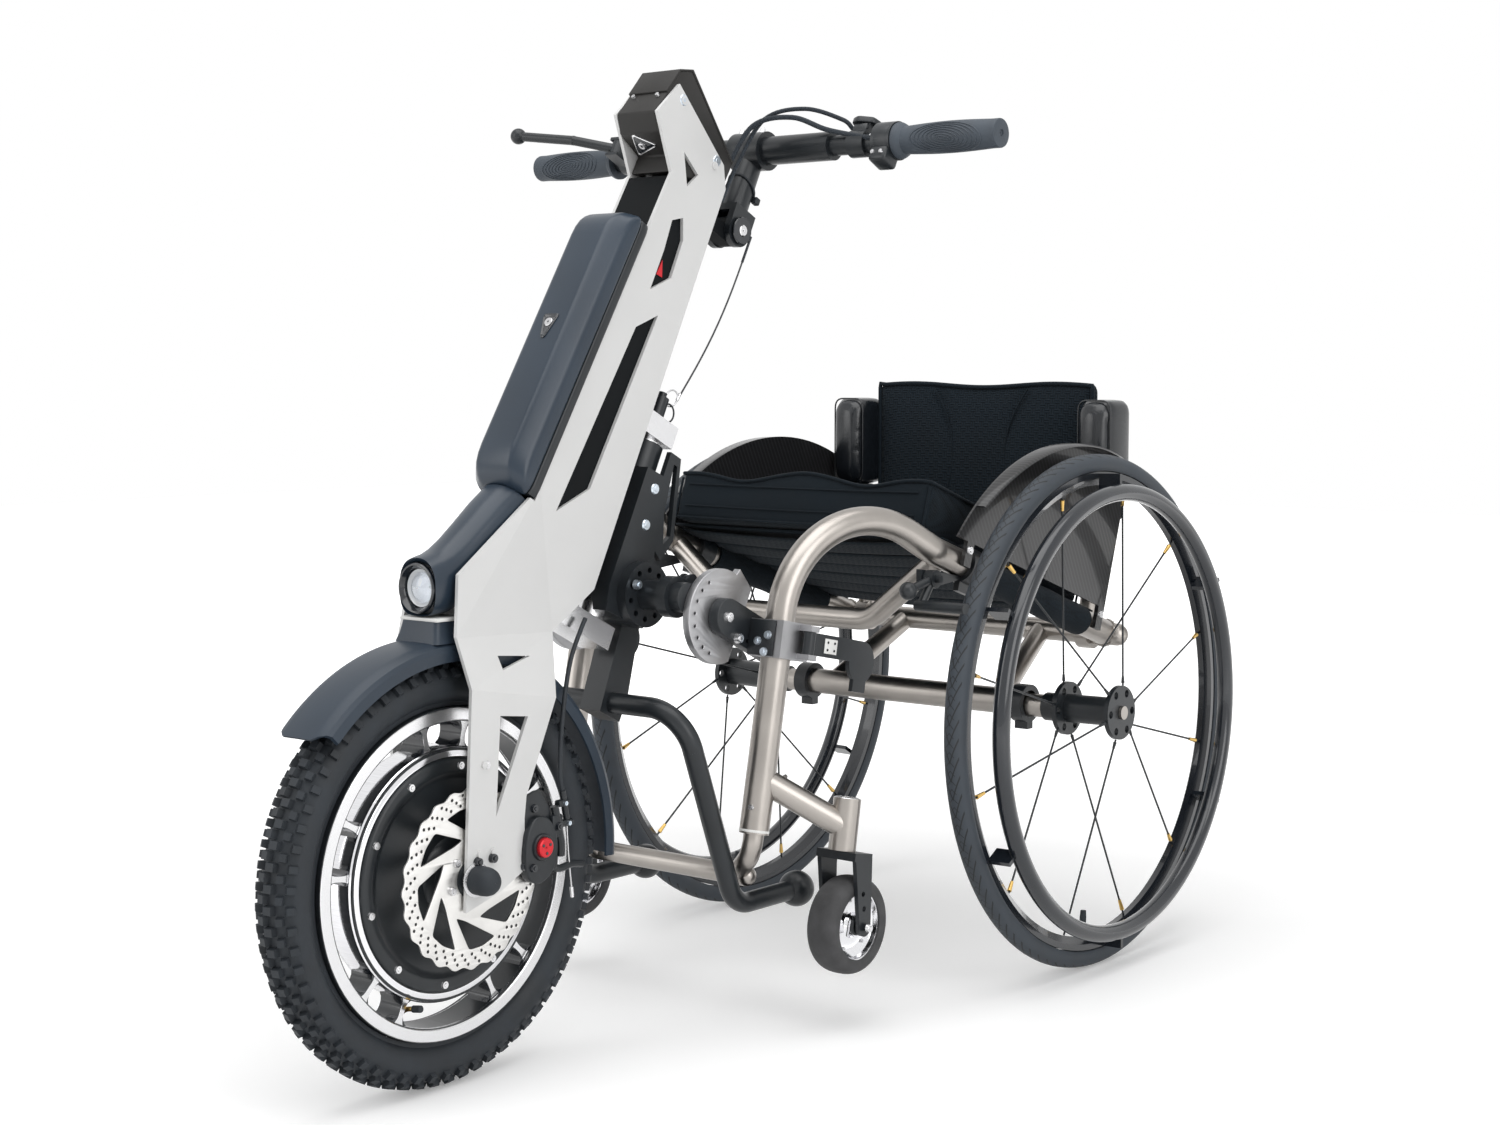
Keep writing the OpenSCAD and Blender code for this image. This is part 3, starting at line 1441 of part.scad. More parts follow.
module pivot_blocks() {
    color(silver_alloy) at_steer() {
        difference() {
            translate([-upper_block_w / 2, seat_gap - steer_offset, head_high + block_gap])
                cube([upper_block_w, steer_offset + block_back, block_h]);
            translate([0, 0, head_high]) cylinder(d = kingpin_d + 2 * seat_gap, h = block_gap + block_h / 2);
            translate([0, 0, head_high]) cylinder(d = plunger_d + 2 * run_gap, h = 2 * block_h);
        }
        difference() {
            union() {
                translate([-lower_block_w / 2, -lower_block_front, head_low - block_gap - block_h])
                    cube([lower_block_w, lower_block_front + block_back, block_h]);
                translate([-cover_half, -lower_block_front, head_low - block_gap - block_h])
                    cube([2 * cover_half, wing_l, block_h]);
            }
            translate([0, 0, head_low - 2 * block_h])
                cylinder(d = kingpin_d + 2 * seat_gap, h = 2 * block_h);
        }
        translate([0, 0, head_low - block_gap - block_h])
            cylinder(d = kingpin_d, h = head_tube_l + 2 * block_gap + block_h + block_h / 2 - seat_gap);
    }
}

plunger_d = 8;
plunger_in = 10;
knob_d = 18;
knob_l = 26;
tip_d = 10;
tip_l = 6;
ring_d = 20;
ring_wire_d = 2;
ring_set = 17;

module release_pin() {
    top = head_high + block_gap + block_h;
    color(black_alloy) at_steer() {
        translate([0, 0, top - plunger_in]) cylinder(d = plunger_d, h = plunger_in + knob_l);
        translate([0, 0, top + body_gap]) cylinder(d = knob_d, h = knob_l);
        translate([0, 0, top + knob_l]) cylinder(d = tip_d, h = tip_l);
        translate([0, ring_set, top + knob_l - ring_d / 2]) rotate([0, 90, 0])
            rotate_extrude() translate([ring_d / 2, 0]) circle(d = ring_wire_d);
    }
}

caliper_l = 44;
caliper_h = 62;
caliper_w = 30;
caliper_back = tab_low_share.x * mast_reach + seat_gap;
caliper_up = -16;
caliper_slot = 6;
caliper_knob_d = 20;
caliper_knob_l = 5;

module brake_caliper() {
    x0 = rotor_x + rotor_t / 2 - caliper_w / 2;
    color(black_alloy) translate(front_hub) {
        difference() {
            translate([x0, caliper_back, caliper_up]) cube([caliper_w, caliper_l, caliper_h]);
            translate([rotor_x + rotor_t / 2 - caliper_slot / 2, 0, caliper_up - cut])
                cube([caliper_slot, rotor_d / 2 + fork_gap, caliper_h + 2 * cut]);
        }
    }
    color([0.8, 0.1, 0.1]) translate(front_hub + [x0 + caliper_w, caliper_back + caliper_l / 2,
            caliper_up + caliper_h / 2])
        x_rod(0, caliper_knob_l, caliper_knob_d);
}

// Front wheel
module front_tyre() {
    color(black_rubber) translate(front_hub) turned() difference() {
        translate([front_r - front_tyre_w / 2, 0]) circle(d = front_tyre_w);
        translate([0, -front_tyre_w]) square([front_bead_r, 2 * front_tyre_w]);
    }
}

module front_rim() {
    ring_in = motor_d / 2 + seat_gap;
    ring_out = ring_in + motor_ring_t;
    rim_in = front_bead_r - front_rim_h;
    color(silver_alloy) translate(front_hub) {
        turned() {
            translate([rim_in, -front_rim_w / 2]) square([front_rim_h - seat_gap, front_rim_w]);
            translate([ring_in, -motor_ring_w / 2]) square([motor_ring_t, motor_ring_w]);
        }
        for (i = [0:web_pairs - 1], s = [-1, 1])
            rotate([360 * i / web_pairs + s * web_spread / 2, 0, 0])
                translate([-web_w / 2, -web_t / 2, ring_out - web_t / 2])
                    cube([web_w, web_t, rim_in - ring_out + web_t]);
    }
}

module hub_motor() {
    color(black_alloy) translate(front_hub) difference() {
        union() {
            x_rod(-motor_w / 2 + motor_lip, motor_w / 2 - motor_lip, motor_d);
            x_rod(-motor_w / 2, motor_w / 2, motor_d - 2 * motor_lip);
            x_rod(-motor_boss_right, rotor_x - seat_gap, motor_boss_d);
        }
        x_rod(-motor_w, 2 * motor_w, front_axle_d + 2 * run_gap);
    }
}

module brake_rotor() {
    band_in = rotor_d / 2 - rotor_band;
    color(silver_alloy) translate(front_hub + [rotor_x, 0, 0]) difference() {
        union() {
            turned() translate([band_in, 0]) square([rotor_band, rotor_t]);
            turned() translate([spacer_d / 2 + run_gap, 0])
                square([(rotor_hub_d - spacer_d) / 2, rotor_t]);
            for (i = [0:rotor_arms - 1])
                rotate([360 * i / rotor_arms, 0, 0]) translate([0, 0, rotor_hub_d / 2 - rotor_arm_w])
                    rotate([rotor_arm_skew, 0, 0]) translate([0, -rotor_arm_w / 2, 0])
                        cube([rotor_t, rotor_arm_w, band_in - rotor_hub_d / 2 + 2 * rotor_arm_w]);
        }
        for (i = [0:rotor_holes - 1])
            translate(polar(-cut, rotor_d / 2 - rotor_band * rotor_row_shares[i % 2], 360 * i / rotor_holes))
                x_rod(0, rotor_t + 2 * cut, rotor_hole_d);
    }
}

// Handlebar
bar_up = pivot_up + stem_l;

module at_bar() {
    at_steer() translate([0, pivot_back, bar_up]) children();
}

module stem() {
    ear_in = stem_lug_w / 2 + body_gap;
    color(black_alloy) at_steer() {
        difference() {
            union() {
                for (s = [-1, 1])
                    slab(s > 0 ? ear_in : -ear_in - stem_ear_t, s > 0 ? ear_in + stem_ear_t : -ear_in) {
                        translate([pivot_back, pivot_up]) circle(d = stem_eye_d);
                        translate([pivot_back - stem_eye_d / 2, pivot_up])
                            square([stem_eye_d, stem_eye_d / 2 + stem_ear_t + 2 * body_gap]);
                    }
                slab(-ear_in - stem_ear_t, ear_in + stem_ear_t)
                    translate([pivot_back - stem_eye_d / 2, pivot_up + stem_eye_d / 2 + body_gap])
                        square([stem_eye_d, stem_ear_t]);
                translate([0, pivot_back, pivot_up + stem_eye_d / 2 + stem_ear_t / 2])
                    cylinder(d = stem_tube_d, h = stem_l - stem_eye_d / 2 - stem_ear_t / 2);
                translate([0, pivot_back, bar_up])
                    x_rod(-bar_clamp_l / 2, bar_clamp_l / 2, bar_sleeve_d + 2 * bar_clamp_wall);
            }
            translate([0, pivot_back, bar_up]) x_rod(-bar_l, bar_l, bar_sleeve_d + 2 * seat_gap);
        }
        translate([0, pivot_back, pivot_up])
            x_rod(-ear_in - stem_ear_t, ear_in + stem_ear_t, stem_bolt_d);
    }
}

grip_end = bar_l / 2;
grip_start = grip_end - grip_l;
grip_cap = 6;
collar_x = grip_start - body_gap - collar_w;
switch_x = collar_x - switch_gap - switch_w / 2;
perch_x = grip_start - perch_gap - perch_w / 2;
bar_bore_d = 18;
bar_bore_l = 40;

module handlebar() {
    color(black_alloy) at_bar() {
        difference() {
            x_rod(-grip_end + grip_cap + seat_gap, grip_end - grip_cap - body_gap, bar_d);
            x_rod(-grip_end, -grip_end + grip_cap + seat_gap + bar_bore_l, bar_bore_d);
        }
        x_rod(-bar_sleeve_l / 2, bar_sleeve_l / 2, bar_sleeve_d);
        x_rod(collar_x, collar_x + collar_w, throttle_collar_d);
        translate([switch_x, 0, 0]) difference() {
            union() {
                x_rod(-switch_w / 2, switch_w / 2, bar_d + switch_h / 2);
                translate([-switch_w / 2, -switch_h / 2, 0]) cube([switch_w, switch_h, bar_d / 2 + switch_h]);
            }
            translate([0, 0, bar_d / 2 + switch_h - button_h])
                cylinder(d = button_d + 2 * run_gap, h = button_h + cut);
        }
        difference() {
            union() {
                x_rod(-perch_x - perch_w / 2, -perch_x + perch_w / 2, bar_d + switch_h / 2);
                translate([-perch_x - perch_w / 2, -perch_reach, -lever_eye_d / 2 - perch_ear])
                    cube([perch_w, perch_reach, lever_eye_d + 2 * perch_ear]);
            }
            translate([-perch_x - perch_w, -perch_reach - cut, -lever_eye_d / 2 - body_gap])
                cube([2 * perch_w, perch_reach + cut - bar_d / 2 - perch_ear, lever_eye_d + 2 * body_gap]);
        }
        translate([-perch_x, -perch_reach + lever_eye_d / 2, -lever_eye_d / 2 - perch_ear])
            cylinder(d = lever_pin_d, h = lever_eye_d + 2 * perch_ear);
    }
}

perch_ear = 4;

module grip(side, inner_d, end_d = 0) {
    color(black_rubber) sided(side) at_bar() difference() {
        union() {
            x_rod(grip_start, grip_end, grip_d);
            x_rod(grip_start, grip_start + grip_cap, grip_d + grip_cap);
        }
        x_rod(grip_start - cut, grip_end - grip_cap, inner_d);
        if (end_d > 0) x_rod(grip_start, grip_end + cut, end_d);
    }
}

module grip_right() { grip(-1, bar_d + 2 * seat_gap, bar_bore_d + 2 * body_gap); }
module throttle() { grip(1, bar_d + 2 * run_gap); }

module brake_lever() {
    tip = [-lever_run, -lever_rise, 0];
    knuckle = tip * lever_bend_share + [0, -lever_eye_d / 2, 0];
    color(black_alloy) at_bar() translate([-perch_x, -perch_reach + lever_eye_d / 2, 0]) difference() {
        union() {
            translate([0, 0, -lever_eye_d / 2]) cylinder(d = lever_eye_d, h = lever_eye_d);
            rod([0, 0, 0], knuckle, lever_rod_d);
            translate(knuckle) sphere(d = lever_rod_d + 2 * body_gap);
            rod(knuckle, tip, lever_rod_d);
            translate(tip) sphere(d = lever_ball_d);
        }
        translate([0, 0, -lever_eye_d]) cylinder(d = lever_pin_d + 2 * run_gap, h = 2 * lever_eye_d);
    }
}

button_proud = 3;

module light_switch() {
    color([0.6, 0.6, 0.6]) at_bar()
        translate([switch_x, 0, bar_d / 2 + switch_h - button_h + button_proud])
            cylinder(d = button_d, h = button_h);
}

// Brake hose, lead and pull wire, each swept along points chosen by hand
hose_d = 5;
hose_start = -perch_x + perch_w / 2 + 2 * body_gap;
lead_start = switch_x - switch_w / 2 - 2 * body_gap;
hose_route = [[hose_start, -24, 10], [-168, -24.2, 10.2], [-150, -30, 17], [-100, -40, 28], [-52, -46, 14], [-24, -42, -40], [-22, -46, -92]];
lead_route = [[lead_start, 0, 20], [134, -0.2, 20.2], [122, -8, 28], [80, -26, 34], [42, -42, 14], [24, -42, -40], [22, -46, -92]];

function catmull(p0, p1, p2, p3, t) =
    0.5 * (2 * p1 + (p2 - p0) * t + (2 * p0 - 5 * p1 + 4 * p2 - p3) * t * t
        + (3 * p1 - p0 - 3 * p2 + p3) * t * t * t);
function smooth(points, steps) = concat(
    [for (i = [0:len(points) - 2], k = [0:steps - 1])
        catmull(points[max(i - 1, 0)], points[i], points[i + 1], points[min(i + 2, len(points) - 1)], k / steps)],
    [points[len(points) - 1]]
);

module swept(route, d, sides, steps) {
    path = smooth(route, steps);
    last = len(path) - 1;
    ring = [
        for (i = [0:last])
            let (
                t = unit(path[min(i + 1, last)] - path[max(i - 1, 0)]),
                ref = abs(t.y) > 0.9 ? [1, 0, 0] : [0, 1, 0],
                a = unit(cross(t, ref)),
                b = cross(t, a)
            )
            for (k = [0:sides - 1]) path[i] + (a * cos(360 * k / sides) + b * sin(360 * k / sides)) * d / 2
    ];
    polyhedron(
        points = concat(ring, [path[0], path[last]]),
        faces = concat(
            [for (i = [0:last - 1], k = [0:sides - 1], h = [0, 1])
                let (q = (k + 1) % sides, a = i * sides, b = a + sides)
                h == 0 ? [a + k, a + q, b + k] : [a + q, b + q, b + k]],
            [for (k = [0:sides - 1]) [(k + 1) % sides, k, len(ring)]],
            [for (k = [0:sides - 1]) [last * sides + k, last * sides + (k + 1) % sides, len(ring) + 1]]
        )
    );
}

module cables() {
    color(black_rubber) at_bar() {
        swept(hose_route, hose_d, 8, 6);
        swept(lead_route, hose_d, 8, 6);
    }
}

frame_left();
frame_right();
cross_tubes();
camber_tube();
frame_clamps();
caster_mounts();
footrest();
seat_sling();
seat_cushion();
side_guards();
wheel_lock_left();
wheel_lock_right();
back_posts();
back_upholstery();
back_bolsters();
rear_tyre_left();
rear_rim_left();
rear_hub_left();
handrim_left();
rear_tyre_right();
rear_rim_right();
rear_hub_right();
handrim_right();
caster_fork_left();
caster_wheel_left();
caster_fork_right();
caster_wheel_right();
head_housing();
head_tube();
coupling_tube();
coupling_arms();
tube_clamps();
parking_stand();
clamp_lever_left();
clamp_lever_right();
qr_lever_left();
qr_lever_right();
mast_plate_left();
mast_plate_right();
mast_cover();
battery();
controller_case();
headlight();
headlight_lens();
front_fender();
front_axle();
pivot_blocks();
brake_caliper();
release_pin();
front_tyre();
front_rim();
hub_motor();
brake_rotor();
stem();
handlebar();
grip_right();
throttle();
brake_lever();
light_switch();
cables();
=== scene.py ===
"""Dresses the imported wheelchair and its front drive: materials, soft goods, treads, fasteners and studio."""
import json
import math

import bmesh
import bpy
from mathutils import Matrix, Vector


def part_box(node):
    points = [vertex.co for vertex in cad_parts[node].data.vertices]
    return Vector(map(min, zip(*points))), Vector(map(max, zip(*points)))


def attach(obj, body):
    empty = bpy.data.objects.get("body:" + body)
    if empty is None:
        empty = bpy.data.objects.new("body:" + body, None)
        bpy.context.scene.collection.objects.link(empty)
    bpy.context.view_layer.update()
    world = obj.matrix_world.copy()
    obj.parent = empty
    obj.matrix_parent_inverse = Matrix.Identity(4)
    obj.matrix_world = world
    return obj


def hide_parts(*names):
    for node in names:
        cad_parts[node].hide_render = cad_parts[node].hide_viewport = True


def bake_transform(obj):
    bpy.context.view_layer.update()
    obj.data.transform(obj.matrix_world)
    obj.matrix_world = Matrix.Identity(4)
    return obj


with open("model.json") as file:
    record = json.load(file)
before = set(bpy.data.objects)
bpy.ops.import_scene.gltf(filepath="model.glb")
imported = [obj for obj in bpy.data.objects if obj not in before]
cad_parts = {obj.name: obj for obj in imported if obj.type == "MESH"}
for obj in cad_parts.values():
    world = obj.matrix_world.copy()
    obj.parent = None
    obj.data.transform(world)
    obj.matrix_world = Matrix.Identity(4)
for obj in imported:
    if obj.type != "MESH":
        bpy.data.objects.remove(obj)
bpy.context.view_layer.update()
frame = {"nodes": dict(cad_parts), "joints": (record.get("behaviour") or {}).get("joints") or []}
NODES = frame["nodes"]

bl_info = {
    "name": "Wheelchair with front drive",
    "version": (1, 0, 0),
    "blender": (4, 5, 0),
    "location": "View3D > Sidebar > Chair",
    "description": "Builds the finishes, soft goods and small parts of a wheelchair with a front drive",
    "category": "Object",
}

MM = 0.001
MERGE = 1e-6
X_AXIS = Vector((1, 0, 0))
SIDES = ((1, "left"), (-1, "right"))


def mm(x, y, z):
    """A point given in millimetres, in metres."""
    return Vector((x * MM, y * MM, z * MM))


def joint(name):
    """The frame's record of a joint."""
    return next(j for j in frame["joints"] if j["name"] == name)


def frame_matrix(origin, x_axis, y_axis, z_axis):
    """The frame with that origin and those axes, as a matrix."""
    m = Matrix((x_axis, y_axis, z_axis)).transposed().to_4x4()
    m.translation = origin
    return m


STEER_UP = Vector(joint("steering_turn")["axis"]).normalized()
STEER_BACK = STEER_UP.cross(X_AXIS)
FRONT_HUB = Vector(joint("front_wheel_spin")["pos_m"])
FRONT = Matrix.Translation(FRONT_HUB)
REAR_HUB = mm(262, 364, 304.955)
REAR_CAMBER = math.radians(-1)
BAR = frame_matrix(Vector(joint("throttle_twist")["pos_m"]), X_AXIS, STEER_BACK, STEER_UP)
RAIL_FRONT = Vector((0, 0.117, 0.506955))
RAIL_REAR = Vector((0, 0.5, 0.379955))
RAIL_BACK = (RAIL_REAR - RAIL_FRONT).normalized()
RAIL = frame_matrix(RAIL_FRONT, X_AXIS, RAIL_BACK, X_AXIS.cross(RAIL_BACK))
DOWN_TUBE = Vector(joint("clamp_lever_right_hinge")["axis"]).normalized()


def mast(y, z, x=0):
    """A point given from the front axle in millimetres."""
    return FRONT_HUB + mm(x, y, z)


def around(count, start=0.0):
    """Equal steps of a full turn, in radians."""
    return [start + 2 * math.pi * k / count for k in range(count)]


def radial_at(angle):
    """The direction out from an axle along x, at an angle from y."""
    return Vector((0, math.cos(angle), math.sin(angle)))


def polar(r, angle):
    return (r * math.cos(angle), r * math.sin(angle))


def eased(value, power):
    """A power that keeps its sign, for sections between a circle and a square."""
    return math.copysign(abs(value) ** power, value)


def flipped(profile, sign):
    """A profile as it is for the left side, or mirrored for the right."""
    return [(r, x * sign) for r, x in profile]


def both_sides(profile):
    """A half profile with its mirror image after it."""
    return profile + [(r, -x) for r, x in reversed(profile)]


def toned(colour, factor):
    """A colour made darker or lighter."""
    return [min(1, c * factor) for c in colour]


class FinishSettings(bpy.types.PropertyGroup):
    """Colours of the main finishes."""

    plate: bpy.props.FloatVectorProperty(
        name="Mast plates", description="Powder coat of the mast plates", subtype="COLOR",
        default=(0.65, 0.65, 0.645))
    titanium: bpy.props.FloatVectorProperty(
        name="Frame", description="Bare metal of the chair frame", subtype="COLOR", default=(0.37, 0.345, 0.32))
    casing: bpy.props.FloatVectorProperty(
        name="Casings", description="Moulded battery, lamp and fender", subtype="COLOR",
        default=(0.021, 0.034, 0.052))
    cloth: bpy.props.FloatVectorProperty(
        name="Cloth", description="Seat and back covers", subtype="COLOR", default=(0.005, 0.0085, 0.012))
    rubber: bpy.props.FloatVectorProperty(
        name="Rubber", description="Tyres and grips", subtype="COLOR", default=(0.016, 0.020, 0.025))


class ShapeSettings(bpy.types.PropertyGroup):
    """Sizes of the small parts."""

    knob_count: bpy.props.IntProperty(
        name="Tread blocks", description="Blocks in each row of the front tyre", default=66, min=40, max=90)
    knob_height: bpy.props.FloatProperty(
        name="Tread depth", description="Height of the front tyre's blocks", subtype="DISTANCE", default=0.0055)
    piping: bpy.props.FloatProperty(
        name="Piping", description="Diameter of the sewn piping", subtype="DISTANCE", default=0.0045)
    screw: bpy.props.FloatProperty(
        name="Cover screws", description="Head diameter of the motor cover's screws", subtype="DISTANCE",
        default=0.0085)
    wire: bpy.props.FloatProperty(
        name="Lanyard", description="Diameter of the release pin's wire", subtype="DISTANCE", default=0.002)


# Shader helpers


def feed(node, label, source):
    """Links a socket to a node's input."""
    node.id_data.links.new(source, node.inputs[label])


def set_to(node, label, value):
    """Sets a node's input to a plain value."""
    node.inputs[label].default_value = value


def socket_group(name, inputs, outputs):
    """A new shader node group with float inputs {name: default} and outputs {name: type}."""
    tree = bpy.data.node_groups.new(name, "ShaderNodeTree")
    tree.interface.new_socket("Vector", in_out="INPUT", socket_type="NodeSocketVector")
    for label, value in inputs.items():
        tree.interface.new_socket(label, in_out="INPUT", socket_type="NodeSocketFloat").default_value = value
    for label in outputs:
        tree.interface.new_socket(label, in_out="OUTPUT", socket_type="NodeSocketFloat")
    return tree, tree.nodes.new("NodeGroupInput"), tree.nodes.new("NodeGroupOutput")


def calc(tree, operation, a, b=None, clamp=False):
    """A maths node whose inputs are sockets or numbers."""
    node = tree.nodes.new("ShaderNodeMath")
    node.operation = operation
    node.use_clamp = clamp
    for index, value in enumerate((a, b)):
        if value is None:
            continue
        if isinstance(value, (int, float)):
            node.inputs[index].default_value = value
        else:
            tree.links.new(value, node.inputs[index])
    return node.outputs[0]


def grain_group():
    """Fine and coarse noise for moulded, blasted and painted skins."""
    tree, start, end = socket_group("surface_grain", {"Fine": 900.0, "Coarse": 9.0}, ("Fine", "Coarse"))
    for label, detail in (("Fine", 2.0), ("Coarse", 5.0)):
        noise = tree.nodes.new("ShaderNodeTexNoise")
        set_to(noise, "Detail", detail)
        feed(noise, "Vector", start.outputs["Vector"])
        feed(noise, "Scale", start.outputs[label])
        tree.links.new(noise.outputs["Fac"], end.inputs[label])
    return tree


def brushed_group():
    """Scratches drawn out along one axis."""
    tree, start, end = socket_group("brushed_lines", {"Along": 40.0, "Across": 1800.0}, ("Lines",))
    combine = tree.nodes.new("ShaderNodeCombineXYZ")
    feed(combine, 0, start.outputs["Along"])
    feed(combine, 1, start.outputs["Across"])
    feed(combine, 2, start.outputs["Across"])
    scale = tree.nodes.new("ShaderNodeVectorMath")
    scale.operation = "MULTIPLY"
    feed(scale, 0, start.outputs["Vector"])
    feed(scale, 1, combine.outputs[0])
    noise = tree.nodes.new("ShaderNodeTexNoise")
    set_to(noise, "Scale", 1.0)
    set_to(noise, "Detail", 3.0)
    feed(noise, "Vector", scale.outputs[0])
    feed(end, "Lines", noise.outputs["Fac"])
    return tree


def weave_group():
    """Over-and-under threads, from two crossed waves."""
    tree, start, end = socket_group("woven_threads", {"Threads": 500.0}, ("Height",))
    split = tree.nodes.new("ShaderNodeSeparateXYZ")
    feed(split, 0, start.outputs["Vector"])
    a = calc(tree, "MULTIPLY", split.outputs[0], start.outputs["Threads"])
    across = calc(tree, "ADD", split.outputs[1], split.outputs[2])
    b = calc(tree, "MULTIPLY", across, start.outputs["Threads"])
    warp = calc(tree, "ABSOLUTE", calc(tree, "SINE", a))
    weft = calc(tree, "ABSOLUTE", calc(tree, "SINE", b))
    half_a = calc(tree, "SINE", calc(tree, "MULTIPLY", a, 0.5))
    half_b = calc(tree, "SINE", calc(tree, "MULTIPLY", b, 0.5))
    over = calc(tree, "GREATER_THAN", calc(tree, "MULTIPLY", half_a, half_b), 0.0)
    under = calc(tree, "SUBTRACT", 1.0, over)
    raised = calc(tree, "MULTIPLY", warp, over)
    lowered = calc(tree, "MULTIPLY", weft, under)
    feed(end, "Height", calc(tree, "ADD", raised, lowered))
    return tree


def tread_group():
    """Slanted cuts that meet at the middle of a tread, with smooth walls beside them."""
    tree, start, end = socket_group("tread_cuts", {"Slant": 1.6, "Width": 0.2}, ("Height",))
    split = tree.nodes.new("ShaderNodeSeparateXYZ")
    feed(split, 0, start.outputs["Vector"])
    across = calc(tree, "ABSOLUTE", split.outputs[1])
    bent = calc(tree, "ADD", split.outputs[0], calc(tree, "MULTIPLY", across, start.outputs["Slant"]))
    cut = calc(tree, "LESS_THAN", calc(tree, "FRACT", bent), start.outputs["Width"])
    turned_back = calc(tree, "SUBTRACT", split.outputs[0], calc(tree, "MULTIPLY", across, 0.7))
    doubled = calc(tree, "MULTIPLY", turned_back, 2.0)
    sipe = calc(tree, "LESS_THAN", calc(tree, "FRACT", doubled), 0.13)
    inside = calc(tree, "LESS_THAN", across, 0.78)
    middle = calc(tree, "LESS_THAN", across, 0.4)
    long_cuts = calc(tree, "MULTIPLY", cut, inside)
    cuts = calc(tree, "MAXIMUM", long_cuts, calc(tree, "MULTIPLY", sipe, middle))
    feed(end, "Height", calc(tree, "SUBTRACT", 1.0, cuts))
    return tree


GROUPS = {}
MATERIALS = {}


def group_node(tree, name, vector, **values):
    """Places a shared node group, which is built at its first use."""
    builders = {"grain": grain_group, "brushed": brushed_group, "weave": weave_group, "tread": tread_group}
    if name not in GROUPS:
        GROUPS[name] = builders[name]()
    node = tree.nodes.new("ShaderNodeGroup")
    node.node_tree = GROUPS[name]
    feed(node, "Vector", vector)
    for label, value in values.items():
        node.inputs[label].default_value = value
    return node


def blank_material(name):
    """A new named material: its tree, its shader and its coordinates."""
    material = bpy.data.materials.new(name)
    material.use_nodes = True
    tree = material.node_tree
    shader = tree.nodes["Principled BSDF"]
    coords = tree.nodes.new("ShaderNodeTexCoord")
    MATERIALS[name] = material
    return tree, shader, coords


def ramp(tree, source, low, high, dark, light):
    """A colour ramp from dark to light between two values of source."""
    node = tree.nodes.new("ShaderNodeValToRGB")
    node.color_ramp.elements[0].position = low
    node.color_ramp.elements[1].position = high
    node.color_ramp.elements[0].color = (*dark, 1)
    node.color_ramp.elements[1].color = (*light, 1)
    feed(node, "Fac", source)
    return node.outputs["Color"]


def span(tree, source, low, high):
    """Maps 0..1 of source to low..high."""
    node = tree.nodes.new("ShaderNodeMapRange")
    set_to(node, "To Min", low)
    set_to(node, "To Max", high)
    feed(node, "Value", source)
    return node.outputs["Result"]


def bump(tree, shader, height, distance):
    """Raises the skin by a height, at full strength."""
    node = tree.nodes.new("ShaderNodeBump")
    set_to(node, "Distance", distance)
    set_to(node, "Strength", 1.0)
    feed(node, "Height", height)
    feed(shader, "Normal", node.outputs["Normal"])


def grained(name, colour, rough, metallic=0.0, fine=900.0, coarse=9.0, depth=0.00006, spread=0.12, coat=0.0,
            ior=1.45):
    """A skin with fine grain, patchy sheen and slight colour drift."""
    tree, shader, coords = blank_material(name)
    grain = group_node(tree, "grain", coords.outputs["Object"], Fine=fine, Coarse=coarse)
    dark = toned(colour, 1 - spread)
    light = toned(colour, 1 + spread)
    feed(shader, "Base Color", ramp(tree, grain.outputs["Coarse"], 0.3, 0.7, dark, light))
    feed(shader, "Roughness", span(tree, grain.outputs["Coarse"], rough * 0.8, min(1, rough * 1.2)))
    set_to(shader, "Metallic", metallic)
    set_to(shader, "IOR", ior)
    set_to(shader, "Coat Weight", coat)
    bump(tree, shader, grain.outputs["Fine"], depth)


def brushed(name, colour, rough, along=40.0, across=1800.0):
    """Machined metal with drawn-out lines."""
    tree, shader, coords = blank_material(name)
    lines = group_node(tree, "brushed", coords.outputs["Object"], Along=along, Across=across)
    dark = toned(colour, 0.9)
    light = toned(colour, 1.06)
    feed(shader, "Base Color", ramp(tree, lines.outputs["Lines"], 0.3, 0.7, dark, light))
    feed(shader, "Roughness", span(tree, lines.outputs["Lines"], rough * 0.75, rough * 1.25))
    set_to(shader, "Metallic", 1.0)
    bump(tree, shader, lines.outputs["Lines"], 0.00003)


def woven(name, colour, threads, depth, rough=0.85, sheen=0.03):
    """Cloth with over-and-under threads and a little fuzz."""
    tree, shader, coords = blank_material(name)
    weave = group_node(tree, "weave", coords.outputs["Object"], Threads=threads)
    grain = group_node(tree, "grain", coords.outputs["Object"], Fine=1400.0, Coarse=14.0)
    # Painted shade: the gaps between threads are darker and the crowns lighter, mixed with random tone from the
    # grain.
    lit = calc(tree, "ADD", calc(tree, "MULTIPLY", weave.outputs["Height"], 0.6),
                    calc(tree, "MULTIPLY", grain.outputs["Coarse"], 0.4))
    feed(shader, "Base Color", ramp(tree, lit, 0.15, 0.9, toned(colour, 0.45), toned(colour, 1.8)))
    feed(shader, "Roughness", span(tree, grain.outputs["Coarse"], rough - 0.1, min(1, rough + 0.1)))
    set_to(shader, "Specular IOR Level", 0.15)
    set_to(shader, "Sheen Weight", sheen)
    set_to(shader, "Sheen Roughness", 0.5)
    bump(tree, shader, weave.outputs["Height"], depth)


